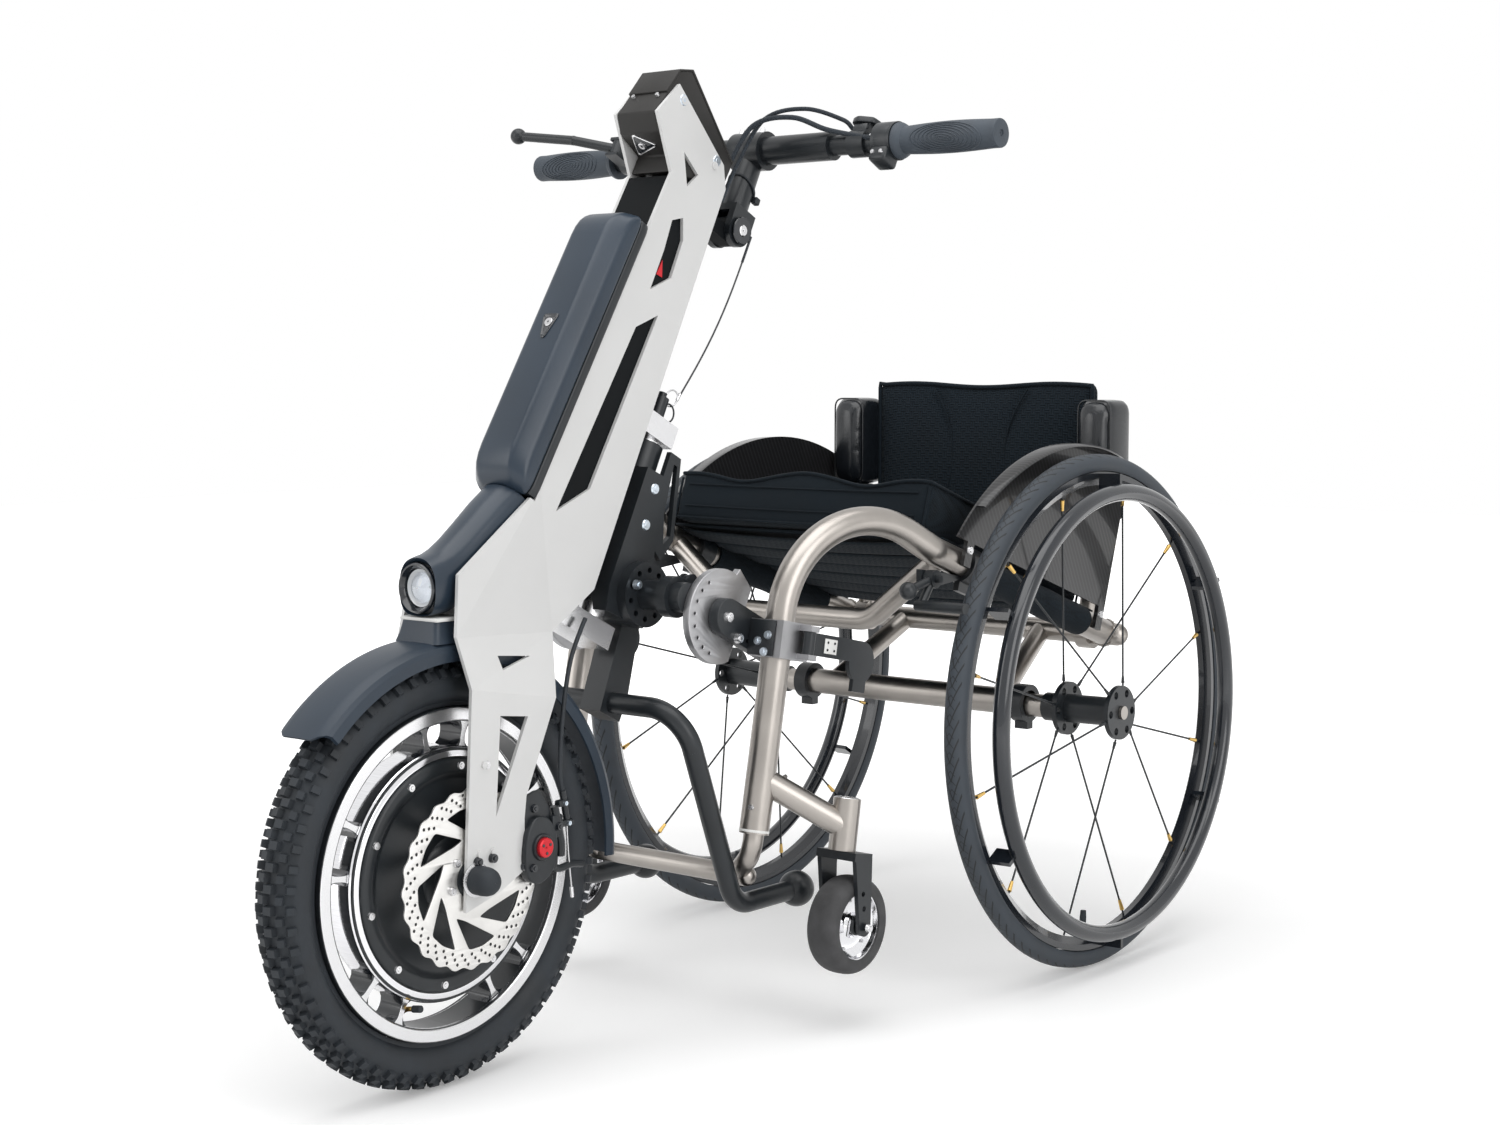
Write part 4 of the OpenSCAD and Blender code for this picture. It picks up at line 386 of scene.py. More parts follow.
def hide_leather(name, colour):
    """Grained leather: pebbles with painted shade in the creases between them."""
    tree, shader, coords = blank_material(name)
    cells = tree.nodes.new("ShaderNodeTexVoronoi")
    cells.feature = "DISTANCE_TO_EDGE"
    set_to(cells, "Scale", 420.0)
    feed(cells, "Vector", coords.outputs["Object"])
    grain = group_node(tree, "grain", coords.outputs["Object"], Fine=700.0, Coarse=16.0)
    pebble = calc(tree, "MULTIPLY", cells.outputs["Distance"], 3.0, clamp=True)
    feed(shader, "Base Color", ramp(tree, pebble, 0.0, 0.6, toned(colour, 0.5), toned(colour, 1.4)))
    feed(shader, "Roughness", span(tree, grain.outputs["Coarse"], 0.17, 0.3))
    set_to(shader, "Coat Weight", 0.12)
    bump(tree, shader, pebble, 0.00006)


def laminate(name, colour):
    """Gloss clear coat over a twill weave."""
    tree, shader, coords = blank_material(name)
    split = tree.nodes.new("ShaderNodeSeparateXYZ")
    feed(split, 0, coords.outputs["Object"])
    a = calc(tree, "MULTIPLY", split.outputs[1], 900.0)
    b = calc(tree, "MULTIPLY", split.outputs[2], 900.0)
    row = calc(tree, "FLOOR", a)
    step = calc(tree, "MULTIPLY", calc(tree, "FLOOR", b), 0.5)
    twill = calc(tree, "SINE", calc(tree, "ADD", row, step))
    shade = span(tree, twill, 0.0, 1.0)
    feed(shader, "Base Color", ramp(tree, shade, 0.0, 1.0, toned(colour, 0.6), toned(colour, 2.2)))
    set_to(shader, "Roughness", 0.35)
    set_to(shader, "Specular IOR Level", 0.3)
    set_to(shader, "Coat Weight", 0.4)
    set_to(shader, "Coat Roughness", 0.05)


def tread(name, colour):
    """Tyre rubber with cuts on the tread's own UV map, painted shade in the cuts and dust on the walls."""
    tree, shader, coords = blank_material(name)
    cuts = group_node(tree, "tread", coords.outputs["UV"])
    grain = group_node(tree, "grain", coords.outputs["Object"], Fine=800.0, Coarse=24.0)
    lit = calc(tree, "MULTIPLY", calc(tree, "ADD", grain.outputs["Coarse"], 0.4), cuts.outputs["Height"])
    feed(shader, "Base Color", ramp(tree, lit, 0.0, 1.0, toned(colour, 0.35), toned(colour, 1.7)))
    feed(shader, "Roughness", span(tree, grain.outputs["Coarse"], 0.5, 0.72))
    bump(tree, shader, cuts.outputs["Height"], 0.0012)


def clear_lens(name):
    """Clear moulded plastic."""
    tree, shader, coords = blank_material(name)
    grain = group_node(tree, "grain", coords.outputs["Object"], Fine=300.0, Coarse=40.0)
    feed(shader, "Roughness", span(tree, grain.outputs["Coarse"], 0.02, 0.06))
    set_to(shader, "Transmission Weight", 1.0)
    set_to(shader, "Base Color", (0.95, 0.97, 1.0, 1))
    set_to(shader, "IOR", 1.49)


def make_materials(finish):
    grained("titanium_blast", finish.titanium, 0.31, metallic=1.0, fine=1600.0, coarse=22.0, depth=0.00003,
            spread=0.07)
    grained("titanium_weld", toned(finish.titanium, 0.86), 0.3, metallic=1.0, fine=700.0, coarse=60.0,
            depth=0.0002, spread=0.2)
    grained("black_anodised", (0.014, 0.017, 0.020), 0.34, fine=1300.0, coarse=24.0, depth=0.00003, spread=0.2)
    grained("black_gloss", (0.010, 0.013, 0.018), 0.2, fine=500.0, coarse=20.0, depth=0.00001, spread=0.15,
            coat=0.5)
    grained("plate_coat", finish.plate, 0.42, metallic=0.12, fine=2200.0, coarse=7.0, depth=0.00003,
            spread=0.03)
    grained("casing_moulded", finish.casing, 0.3, fine=1500.0, coarse=8.0, depth=0.00002, spread=0.12)
    grained("fender_moulded", toned(finish.casing, 0.85), 0.42, fine=900.0, coarse=9.0, depth=0.00005,
            spread=0.15)
    grained("tyre_rubber", finish.rubber, 0.62, fine=700.0, coarse=30.0, depth=0.00008, spread=0.3)
    grained("grip_rubber", toned(finish.rubber, 3.0), 0.58, fine=1500.0, coarse=30.0, depth=0.00006, spread=0.2)
    grained("caster_rubber", (0.055, 0.055, 0.057), 0.7, fine=600.0, coarse=40.0, depth=0.00008, spread=0.35)
    grained("red_anodised", (0.62, 0.02, 0.03), 0.3, metallic=0.4, fine=900.0, coarse=50.0, spread=0.1)
    grained("white_nylon", (0.78, 0.78, 0.76), 0.45, fine=900.0, coarse=30.0, spread=0.04)
    grained("gold_brass", (0.76, 0.50, 0.16), 0.3, metallic=1.0, fine=900.0, coarse=60.0, spread=0.1)
    grained("cover_coat", (0.020, 0.019, 0.018), 0.46, fine=1900.0, coarse=10.0, depth=0.00004, spread=0.12,
            ior=1.33)
    # Painted shade: the controller case is near black with little shine, so the mast's windows read as dark
    # hollows.
    grained("case_shade_black", (0.005, 0.006, 0.007), 0.6, fine=1300.0, coarse=24.0, depth=0.00003, spread=0.2,
            ior=1.2)
    grained("zinc_plate", (0.66, 0.73, 0.80), 0.3, metallic=1.0, fine=900.0, coarse=70.0, spread=0.12)
    grained("rotor_steel", (0.74, 0.73, 0.71), 0.3, metallic=1.0, fine=1500.0, coarse=30.0, depth=0.00004,
            spread=0.08)
    grained("cast_alloy", (0.41, 0.41, 0.42), 0.4, metallic=1.0, fine=1200.0, coarse=26.0, depth=0.00005,
            spread=0.1)
    grained("lamp_white", (0.86, 0.88, 0.90), 0.25, fine=900.0, coarse=40.0, spread=0.03)
    tread("tread_rubber", toned(finish.rubber, 1.35))
    woven("hose_braid", toned(finish.rubber, 1.6), 2400.0, 0.0004, rough=0.55, sheen=0.1)
    brushed("machined_alloy", (0.74, 0.74, 0.75), 0.24)
    brushed("turned_steel", (0.60, 0.60, 0.61), 0.26, along=300.0, across=900.0)
    brushed("chrome_mirror", (0.82, 0.82, 0.84), 0.08)
    woven("cover_cloth", finish.cloth, 2600.0, 0.00012)
    woven("strap_web", toned(finish.cloth, 1.15), 1500.0, 0.0003)
    woven("spacer_mesh", toned(finish.cloth, 1.2), 900.0, 0.0007, sheen=0.04)
    hide_leather("bolster_leather", (0.008, 0.010, 0.013))
    laminate("guard_laminate", (0.012, 0.012, 0.013))
    clear_lens("lens_clear")


# Mesh helpers


def placed(name, data):
    """A new object in the scene."""
    obj = bpy.data.objects.new(name, data)
    bpy.context.scene.collection.objects.link(obj)
    return obj


def evaluated_mesh(obj):
    """An object's mesh with its modifiers applied."""
    return bpy.data.meshes.new_from_object(obj.evaluated_get(bpy.context.evaluated_depsgraph_get()))


def finish_mesh(mesh, angle=35):
    """Smooth faces, with edges sharp above an angle in degrees."""
    mesh.polygons.foreach_set("use_smooth", [True] * len(mesh.polygons))
    mesh.set_sharp_from_angle(angle=math.radians(angle))
    mesh.update()


def piece(name, mesh, body, material, replaces=(), angle=35):
    """Links a mesh as a piece of the object, riding on a body when one is given."""
    obj = placed(name, mesh)
    mesh.materials.clear()
    mesh.materials.append(MATERIALS[material])
    finish_mesh(mesh, angle)
    if body:
        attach(obj, body)
    if replaces:
        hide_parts(*replaces)
    return obj


def to_mesh(bm, name, outward=True):
    """A mesh with its doubles merged and its faces outwards; an open sheet keeps its own."""
    bmesh.ops.remove_doubles(bm, verts=bm.verts, dist=MERGE)
    if outward:
        bmesh.ops.recalc_face_normals(bm, faces=bm.faces)
    mesh = bpy.data.meshes.new(name)
    bm.to_mesh(mesh)
    bm.free()
    return mesh


def from_bmesh(name, bm, body, material, replaces=(), angle=35):
    return piece(name, to_mesh(bm, name), body, material, replaces, angle)


def add_loops(bm, loops, closed=False, caps=False):
    """Skins a row of equal loops; closed joins the last loop to the first."""
    rings = [[bm.verts.new(p) for p in loop] for loop in loops]
    count = len(rings[0])
    pairs = list(zip(rings, rings[1:])) + ([(rings[-1], rings[0])] if closed else [])
    for a, b in pairs:
        for i in range(count):
            j = (i + 1) % count
            bm.faces.new((a[i], a[j], b[j], b[i]))
    if caps and not closed:
        bm.faces.new(list(reversed(rings[0])))
        bm.faces.new(rings[-1])


def lathe(bm, profile, matrix, steps=96):
    """Turns a closed profile of (radius, axial place) in millimetres about the matrix's x axis."""
    loops = [[matrix @ mm(x, *polar(r, a)) for r, x in profile] for a in around(steps)]
    add_loops(bm, loops, closed=True)


def turned(name, profile, matrix, body, material, replaces=(), steps=96, angle=35):
    bm = bmesh.new()
    lathe(bm, profile, matrix, steps)
    return from_bmesh(name, bm, body, material, replaces, angle)


def smooth_path(points, steps=8):
    """A rounded path through the points."""
    points = [Vector(p) for p in points]
    out = []
    for i in range(len(points) - 1):
        p0, p1 = points[max(i - 1, 0)], points[i]
        p2, p3 = points[i + 1], points[min(i + 2, len(points) - 1)]
        for k in range(steps):
            t = k / steps
            out.append(0.5 * (2 * p1 + (p2 - p0) * t + (2 * p0 - 5 * p1 + 4 * p2 - p3) * t * t
                              + (3 * p1 - p0 - 3 * p2 + p3) * t ** 3))
    return out + [points[-1]]


def add_tube(bm, path, radius, sides=10, closed=False):
    """Sweeps a round section along a path without twisting it."""
    path = [Vector(p) for p in path]
    last = len(path) - 1
    normal = None
    loops = []
    for i, p in enumerate(path):
        if closed:
            tangent = (path[(i + 1) % len(path)] - path[i - 1]).normalized()
        else:
            tangent = (path[min(i + 1, last)] - path[max(i - 1, 0)]).normalized()
        if normal is None:
            normal = tangent.orthogonal().normalized()
        normal = (normal - tangent * normal.dot(tangent)).normalized()
        other = tangent.cross(normal)
        r = radius(i / last) if callable(radius) else radius
        loops.append([p + (normal * math.cos(a) + other * math.sin(a)) * r for a in around(sides)])
    add_loops(bm, loops, closed=closed, caps=not closed)


def declare_cord(path):
    """Sums the length of a cable's path; nothing is declared and the length is not kept."""
    length = sum((b - a).length for a, b in zip(path, path[1:]))
    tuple(path[0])


def tube(name, path, radius, body, material, sides=10, closed=False, replaces=()):
    bm = bmesh.new()
    add_tube(bm, path, radius, sides, closed)
    return from_bmesh(name, bm, body, material, replaces, 50)


def flat_part(name, outline, holes, thickness, matrix, bevel=0.0, segments=2):
    """A flat plate with holes, cut in the matrix's y-z plane in millimetres, as a mesh centred on x = 0."""
    curve = bpy.data.curves.new(name, "CURVE")
    curve.dimensions = "2D"
    curve.fill_mode = "BOTH"
    curve.extrude = (thickness / 2 - bevel) * MM
    curve.bevel_depth = bevel * MM
    curve.bevel_resolution = segments
    for loop in [outline] + list(holes):
        spline = curve.splines.new("POLY")
        spline.points.add(len(loop) - 1)
        for point, (y, z) in zip(spline.points, loop):
            point.co = (y * MM, z * MM, 0, 1)
        spline.use_cyclic_u = True
    holder = placed(name, curve)
    mesh = evaluated_mesh(holder)
    bpy.data.objects.remove(holder)
    turn = Matrix(((0, 0, 1, 0), (1, 0, 0, 0), (0, 1, 0, 0), (0, 0, 0, 1)))
    mesh.transform(matrix @ turn)
    bm = bmesh.new()
    bm.from_mesh(mesh)
    bpy.data.meshes.remove(mesh)
    return to_mesh(bm, name)


def circle_points(cy, cz, r, steps=24):
    return [(cy + r * math.cos(a), cz + r * math.sin(a)) for a in around(steps)]


def rounded(points, radius, steps=5):
    """Rounds the corners of a polygon in the plane."""
    out = []
    count = len(points)
    for i in range(count):
        p, a, b = (Vector(points[k % count]) for k in (i, i - 1, i + 1))
        u, v = (a - p), (b - p)
        cut = min(radius, u.length * 0.45, v.length * 0.45)
        start, end = p + u.normalized() * cut, p + v.normalized() * cut
        for k in range(steps + 1):
            t = k / steps
            out.append(tuple(start * (1 - t) ** 2 + p * 2 * t * (1 - t) + end * t * t))
    return out


def add_box(bm, low, high, matrix=Matrix.Identity(4), bevel=0.0, segments=2):
    """A box between two corners in millimetres, with rounded edges."""
    size = mm(*[b - a for a, b in zip(low, high)])
    centre = mm(*[(a + b) / 2 for a, b in zip(low, high)])
    made = bmesh.ops.create_cube(bm, size=1.0)["verts"]
    for v in made:
        v.co = Vector([c * s for c, s in zip(v.co, size)]) + centre
    if bevel:
        edges = list({e for v in made for e in v.link_edges})
        cut = bmesh.ops.bevel(bm, geom=edges, offset=bevel * MM, segments=segments, affect="EDGES", profile=0.5)
        made = list({v for v in cut["verts"] or made if v.is_valid})
    linked = set(made)
    for v in made:
        linked.update(w for e in v.link_edges for w in e.verts)
    for v in linked:
        v.co = matrix @ v.co


def add_side_box(bm, sign, across, low, high, matrix=Matrix.Identity(4), bevel=0.0, segments=2):
    """A box whose span across is given for the left side, and mirrored for the right."""
    near, far = sorted(sign * x for x in across)
    add_box(bm, (near, *low), (far, *high), matrix, bevel, segments)


# Repeats by Geometry Nodes

TREES = {}


def repeat_tree(shape):
    """A tree that sets a screw, cap or block on every point, turned by the points' own turn."""
    tree = bpy.data.node_groups.new("repeat_" + shape, "GeometryNodeTree")
    face = tree.interface
    face.new_socket("Geometry", in_out="INPUT", socket_type="NodeSocketGeometry")
    for label in ("Radius", "Height", "Width"):
        face.new_socket(label, in_out="INPUT", socket_type="NodeSocketFloat")
    face.new_socket("Material", in_out="INPUT", socket_type="NodeSocketMaterial")
    face.new_socket("Geometry", in_out="OUTPUT", socket_type="NodeSocketGeometry")
    node = tree.nodes.new
    link = tree.links.new
    start, end = node("NodeGroupInput"), node("NodeGroupOutput")

    def scaled(source, factor):
        times = node("ShaderNodeMath")
        times.operation = "MULTIPLY"
        set_to(times, 1, factor)
        link(source, times.inputs[0])
        return times.outputs[0]

    def cone(sides, base, top, depth, lift=None):
        made = node("GeometryNodeMeshCone")
        set_to(made, "Vertices", sides)
        link(base, made.inputs["Radius Bottom"])
        link(top, made.inputs["Radius Top"])
        link(depth, made.inputs["Depth"])
        if lift is None:
            return made.outputs["Mesh"]
        move = node("GeometryNodeTransform")
        raise_by = node("ShaderNodeCombineXYZ")
        link(lift, raise_by.inputs[2])
        link(raise_by.outputs[0], move.inputs["Translation"])
        link(made.outputs["Mesh"], move.inputs["Geometry"])
        return move.outputs["Geometry"]

    radius, height, width = (start.outputs[k] for k in ("Radius", "Height", "Width"))
    if shape == "screw":
        head = cone(20, radius, scaled(radius, 0.86), height)
        socket = cone(6, scaled(radius, 0.5), scaled(radius, 0.42), scaled(height, 0.3), height)
        parts = [head, socket]
    elif shape == "cap":
        parts = [cone(14, radius, width, height)]
    else:
        move = node("GeometryNodeTransform")
        set_to(move, "Rotation", (0, 0, math.pi / 4))
        link(cone(4, radius, scaled(radius, 0.82), height), move.inputs["Geometry"])
        stretch = node("GeometryNodeTransform")
        by = node("ShaderNodeCombineXYZ")
        for axis in (0, 2):
            set_to(by, axis, 1.0)
        link(width, by.inputs[1])
        link(by.outputs[0], stretch.inputs["Scale"])
        link(move.outputs["Geometry"], stretch.inputs["Geometry"])
        parts = [stretch.outputs["Geometry"]]
    join = node("GeometryNodeJoinGeometry")
    for part in parts:
        link(part, join.inputs["Geometry"])
    spread = node("GeometryNodeInstanceOnPoints")
    link(start.outputs["Geometry"], spread.inputs["Points"])
    link(join.outputs["Geometry"], spread.inputs["Instance"])
    turn = node("GeometryNodeInputNamedAttribute")
    turn.data_type = "FLOAT_VECTOR"
    set_to(turn, "Name", "turn")
    euler = node("FunctionNodeEulerToRotation")
    link(turn.outputs["Attribute"], euler.inputs["Euler"])
    link(euler.outputs["Rotation"], spread.inputs["Rotation"])
    real = node("GeometryNodeRealizeInstances")
    link(spread.outputs["Instances"], real.inputs["Geometry"])
    paint = node("GeometryNodeSetMaterial")
    link(real.outputs["Geometry"], paint.inputs["Geometry"])
    link(start.outputs["Material"], paint.inputs["Material"])
    link(paint.outputs["Geometry"], end.inputs["Geometry"])
    return tree


def repeated(name, shape, places, radius, height, width, body, material):
    """Repeats a small part at (point, up direction, side direction) places, as one plain mesh."""
    if shape not in TREES:
        TREES[shape] = repeat_tree(shape)
    tree = TREES[shape]
    points = bpy.data.meshes.new(name)
    points.from_pydata([p for p, _, _ in places], [], [])
    turns = points.attributes.new("turn", "FLOAT_VECTOR", "POINT")
    for k, (_, up, side) in enumerate(places):
        up = Vector(up).normalized()
        side = (Vector(side) - up * up.dot(Vector(side))).normalized()
        turns.data[k].vector = Matrix((side, up.cross(side), up)).transposed().to_euler()
    holder = placed(name, points)
    modifier = holder.modifiers.new("repeat", "NODES")
    modifier.node_group = tree
    values = {"Radius": radius * MM, "Height": height * MM, "Width": width, "Material": MATERIALS[material]}
    for item in tree.interface.items_tree:
        if item.in_out == "INPUT" and item.name in values:
            modifier[item.identifier] = values[item.name]
    mesh = evaluated_mesh(holder)
    bpy.data.objects.remove(holder)
    piece(name, mesh, body, material)


def screws(name, places, radius, height, body, material):
    repeated(name, "screw", places, radius, height, 1.0, body, material)


def side_spots(x, spots, lean=0.3):
    """Places for screws on both sides of the object, at x from its middle and facing outwards."""
    return [(mm(sign * x, y, z), (sign, 0, 0), (0, 1, lean)) for sign in (-1, 1) for y, z in spots]


def ring_places(matrix, radius, count, x, start=0.0, outward=1):
    """Places round the matrix's x axis, facing along it."""
    turn = matrix.to_3x3()
    up = turn @ Vector((outward, 0, 0))
    spots = [radial_at(a) for a in around(count, start)]
    return [(matrix @ (spot * radius * MM + mm(x, 0, 0)), up, turn @ spot) for spot in spots]


def paint(material, *names):
    """Gives the frame's own parts a material."""
    for name in names:
        mesh = NODES[name].data
        mesh.materials.clear()
        mesh.materials.append(MATERIALS[material])


# Wheels


def rear_wheel(side):
    """The left rear wheel's frame, mirrored for the right."""
    place = Matrix.Translation(REAR_HUB) @ Matrix.Rotation(REAR_CAMBER, 4, "Y")
    return place if side == "left" else Matrix.Diagonal((-1, 1, 1, 1)) @ place


def add_uv(mesh, matrix, turns, section):
    """UV round the wheel and across its section, for tread cuts."""
    back = matrix.inverted()
    layer = mesh.uv_layers.new(name="tread")
    for poly in mesh.polygons:
        spots = []
        for index in poly.loop_indices:
            p = back @ mesh.vertices[mesh.loops[index].vertex_index].co
            spots.append([math.atan2(p.z, p.y) / (2 * math.pi), p.x / (section * MM)])
        if max(s[0] for s in spots) - min(s[0] for s in spots) > 0.5:
            for s in spots:
                s[0] += 1.0 if s[0] < 0 else 0.0
        for index, (u, v) in zip(poly.loop_indices, spots):
            layer.data[index].uv = (u * turns, v)


def round_section(centre_r, half_h, half_w, steps=28, start=-140, end=140, power=2.0):
    """Points of a tyre's section from one bead over the tread to the other."""
    points = []
    for k in range(steps + 1):
        a = math.radians(start + (end - start) * k / steps)
        c, s = math.cos(a), math.sin(a)
        points.append((centre_r + half_h * eased(c, 2 / power), half_w * eased(s, 2 / power)))
    return points


class CHAIR_OT_front_tyre(bpy.types.Operator):
    """Makes the front tyre's carcass and its rows of tread blocks"""

    bl_idname = "chair.front_tyre"
    bl_label = "Front tyre"

    def execute(self, context):
        shape = context.scene.chair_shape
        depth = shape.knob_height / MM
        radius, middle, half_width = 27.0, 187.0, 25.0
        sunk, diagonal = 1.5, 0.7071
        base = radius - depth
        low = base - sunk
        section = round_section(middle, base, half_width)
        section += [(166.2, 15.5), (165.6, 0.0), (166.2, -15.5)]
        turned("front_tyre_carcass", section, FRONT, "front_wheel", "tyre_rubber", ("front_tyre",),
               steps=128)
        rows = ((9, 0.0, 9.5, 1.15), (-9, 0.5, 9.5, 1.15), (33, 0.5, 8.6, 0.95), (-33, 0.0, 8.6, 0.95),
                (57, 0.0, 8.2, 1.2), (-57, 0.5, 8.2, 1.2))
        for index, (lean, offset, size, stretch) in enumerate(rows):
            places = []
            a = math.radians(lean)
            over = low * math.sin(a) * half_width / base
            for k in range(shape.knob_count):
                radial = radial_at(2 * math.pi * (k + offset) / shape.knob_count)
                up = radial * math.cos(a) + X_AXIS * math.sin(a)
                point = FRONT_HUB + radial * (middle + low * math.cos(a)) * MM + X_AXIS * over * MM
                places.append((point, up, X_AXIS.cross(radial)))
            tall = depth + (sunk if abs(lean) < 50 else 0.6)
            repeated("front_tyre_blocks_%d" % index, "block", places, size * diagonal, tall, stretch,
                     "front_wheel", "tyre_rubber")
        return {"FINISHED"}


def web_loop(profile, radial, x):
    """The outline of a rim web, at x from the wheel's middle."""
    along = X_AXIS.cross(radial)
    return [FRONT_HUB + (radial * r + along * w) * MM + X_AXIS * x * MM for r, w in both_sides(profile)]


class CHAIR_OT_front_wheel(bpy.types.Operator):
    """Makes the front rim's faces, the motor's covers and screws, the drilled rotor and the bent valve"""

    bl_idname = "chair.front_wheel"
    bl_label = "Front wheel"

    def execute(self, context):
        screw = context.scene.chair_shape.screw / MM
        lip = [(164.6, 19.0), (164.6, 21.6), (163.8, 22.2), (153.2, 22.2), (152.2, 21.4), (151.2, 17.0),
               (153.0, 17.0), (154.5, 19.0)]
        for sign, label in SIDES:
            turned("rim_lip_" + label, flipped(lip, sign), FRONT, "front_wheel", "machined_alloy")
        band = [(126.2, -17.5), (126.8, -16.5), (126.8, 16.5), (126.2, 17.5), (122.0, 20.3), (117.0, 20.6),
                (116.6, 20.0), (116.6, -20.0), (117.0, -20.6), (122.0, -20.3)]
        turned("rim_inner_band", band, FRONT, "front_wheel", "chrome_mirror")
        waist = [(126.0, 8.0), (129.5, 4.6), (133.5, 3.1), (138.0, 2.7), (142.5, 3.3), (146.5, 5.4),
                 (149.5, 8.8), (151.9, 14.0)]
        thin = [(r, min(w, 2.6 + 0.35 * (w - 2.6))) for r, w in waist]
        web, proud = 15.0, 15.7
        webs, faces = bmesh.new(), bmesh.new()
        for k in range(5):
            for turn in (-10.5, 10.5):
                radial = radial_at(math.radians(90 + 72 * k + turn))
                add_loops(webs, [web_loop(waist, radial, x) for x in (-web, web)], caps=True)
                for sign in (-1, 1):
                    add_loops(faces, [web_loop(thin, radial, sign * x) for x in (web, proud)], caps=True)
        from_bmesh("rim_webs", webs, "front_wheel", "black_gloss")
        from_bmesh("rim_web_faces", faces, "front_wheel", "machined_alloy")

        cover = [(115.9, 17.0), (115.9, 21.0), (115.0, 23.0), (113.0, 24.2), (103.5, 24.4), (101.0, 23.4),
                 (98.5, 21.0), (94.0, 20.2), (70.0, 22.0), (48.0, 24.6), (40.0, 25.6), (37.5, 28.0),
                 (30.0, 29.4)]
        left = cover + [(28.0, 31.0), (28.0, 47.6), (27.2, 48.6), (6.3, 48.6)]
        right = cover + [(29.0, 30.4), (6.3, 30.6)]
        turned("motor_case", left + [(r, -x) for r, x in reversed(right)], FRONT, "front_wheel",
               "black_anodised", ("hub_motor",), steps=128)
        places = ring_places(FRONT, 108.0, 10, 24.4, 0.2) + ring_places(FRONT, 108.0, 10, -24.4, 0.2, -1)
        screws("motor_screws", places, screw / 2, 2.2, "front_wheel", "machined_alloy")

        outline = [polar(88.4 + 1.6 * math.cos(24 * a), a) for a in around(288)]
        holes = [circle_points(0, 0, 6.4, 32)]
        window = ((41, 14), (41, 33), (70.5, 72), (71, 57), (70.5, 42))
        holes += [rounded([polar(r, a + math.radians(turn)) for r, turn in window], 4.0, 4) for a in around(8)]
        for k in range(36):
            for r, turn in ((74.6, 0.0), (79.4, 3.4), (84.0, 6.6)):
                holes.append(circle_points(*polar(r, math.radians(10 * k + turn)), 1.9, 10))
        place = Matrix.Translation(FRONT_HUB + mm(50, 0, 0))
        mesh = flat_part("rotor_disc", outline, holes, 2.0, place, 0.2, 1)
        piece("rotor_disc", mesh, "front_wheel", "rotor_steel", ("brake_rotor",), 30)
        carrier = [(6.3, 49.0), (6.3, 52.2), (15.0, 52.6), (17.0, 51.4), (19.0, 51.3), (19.0, 51.0),
                   (19.0, 49.0)]
        turned("rotor_carrier", carrier, FRONT, "front_wheel", "black_anodised", steps=48)
        screws("rotor_bolts", ring_places(FRONT, 27.0, 6, 51.2, 0.3), 4.4, 3.0, "front_wheel", "turned_steel")

        radial = radial_at(math.radians(248))
        foot = FRONT_HUB + radial * 152.0 * MM + mm(4, 0, 0)
        route = ((0, 0), (7, 0), (12, 2), (16.5, 8), (18.5, 18))
        bend = smooth_path([foot - radial * down * MM + mm(out, 0, 0) for down, out in route], 6)
        tube("front_valve", bend, 2.5 * MM, "front_wheel", "gold_brass", 12)
        end, line = bend[-1], (bend[-1] - bend[-2]).normalized()
        tube("front_valve_cap", [end - line * MM, end + line * 9 * MM], 3.6 * MM, "front_wheel",
             "tyre_rubber", 14)
        return {"FINISHED"}


def valve_radius(t):
    """A rear valve's radius along its length: stem, cap and tip."""
    return (3.0 if t < 0.4 else 4.1 if t < 0.9 else 3.4) * MM


class CHAIR_OT_rear_wheels(bpy.types.Operator):
    """Makes the rear tyres, spoke nipples, spoke heads and valves"""

    bl_idname = "chair.rear_wheels"
    bl_label = "Rear wheels"

    def execute(self, context):
        for side in ("left", "right"):
            body = "rear_wheel_" + side
            place = rear_wheel(side)
            section = round_section(292.5, 12.5, 12.5, 36, -125, 125, 2.15)
            section += [(285.2, 7.5), (284.6, 0.0), (285.2, -7.5)]
            bm = bmesh.new()
            lathe(bm, section, place, 160)
            mesh = to_mesh(bm, "rear_tyre_carcass_" + side)
            add_uv(mesh, place, 92, 12.5)
            piece("rear_tyre_carcass_" + side, mesh, body, "tread_rubber", ("rear_tyre_" + side,), 60)
            nipples, collars = [], []
            for k in range(12):
                radial = radial_at(math.radians(15 + 30 * k))
                hub = place @ (radial * 32.4 * MM + mm(35 if k % 2 == 0 else -36, 0, 0))
                rim = place @ (radial * 267.6 * MM)
                line = (hub - rim).normalized()
                nipples.append((rim + line * 5.5 * MM, line, (0, 1, 0.2)))
                collars.append((hub - line * 3.0 * MM, -line, (0, 1, 0.2)))
            repeated("spoke_nipples_" + side, "cap", nipples, 2.7, 13.0, 1.9 * MM, body, "gold_brass")
            repeated("spoke_heads_" + side, "cap", collars, 2.1, 8.0, 1.5 * MM, body, "black_anodised")
            radial = radial_at(math.radians(-96))
            stem = [place @ (radial * r * MM) for r in (268.6, 262.0, 255.0, 246.0, 238.0)]
            tube("rear_valve_" + side, stem, valve_radius, body, "tyre_rubber", 12)
        return {"FINISHED"}


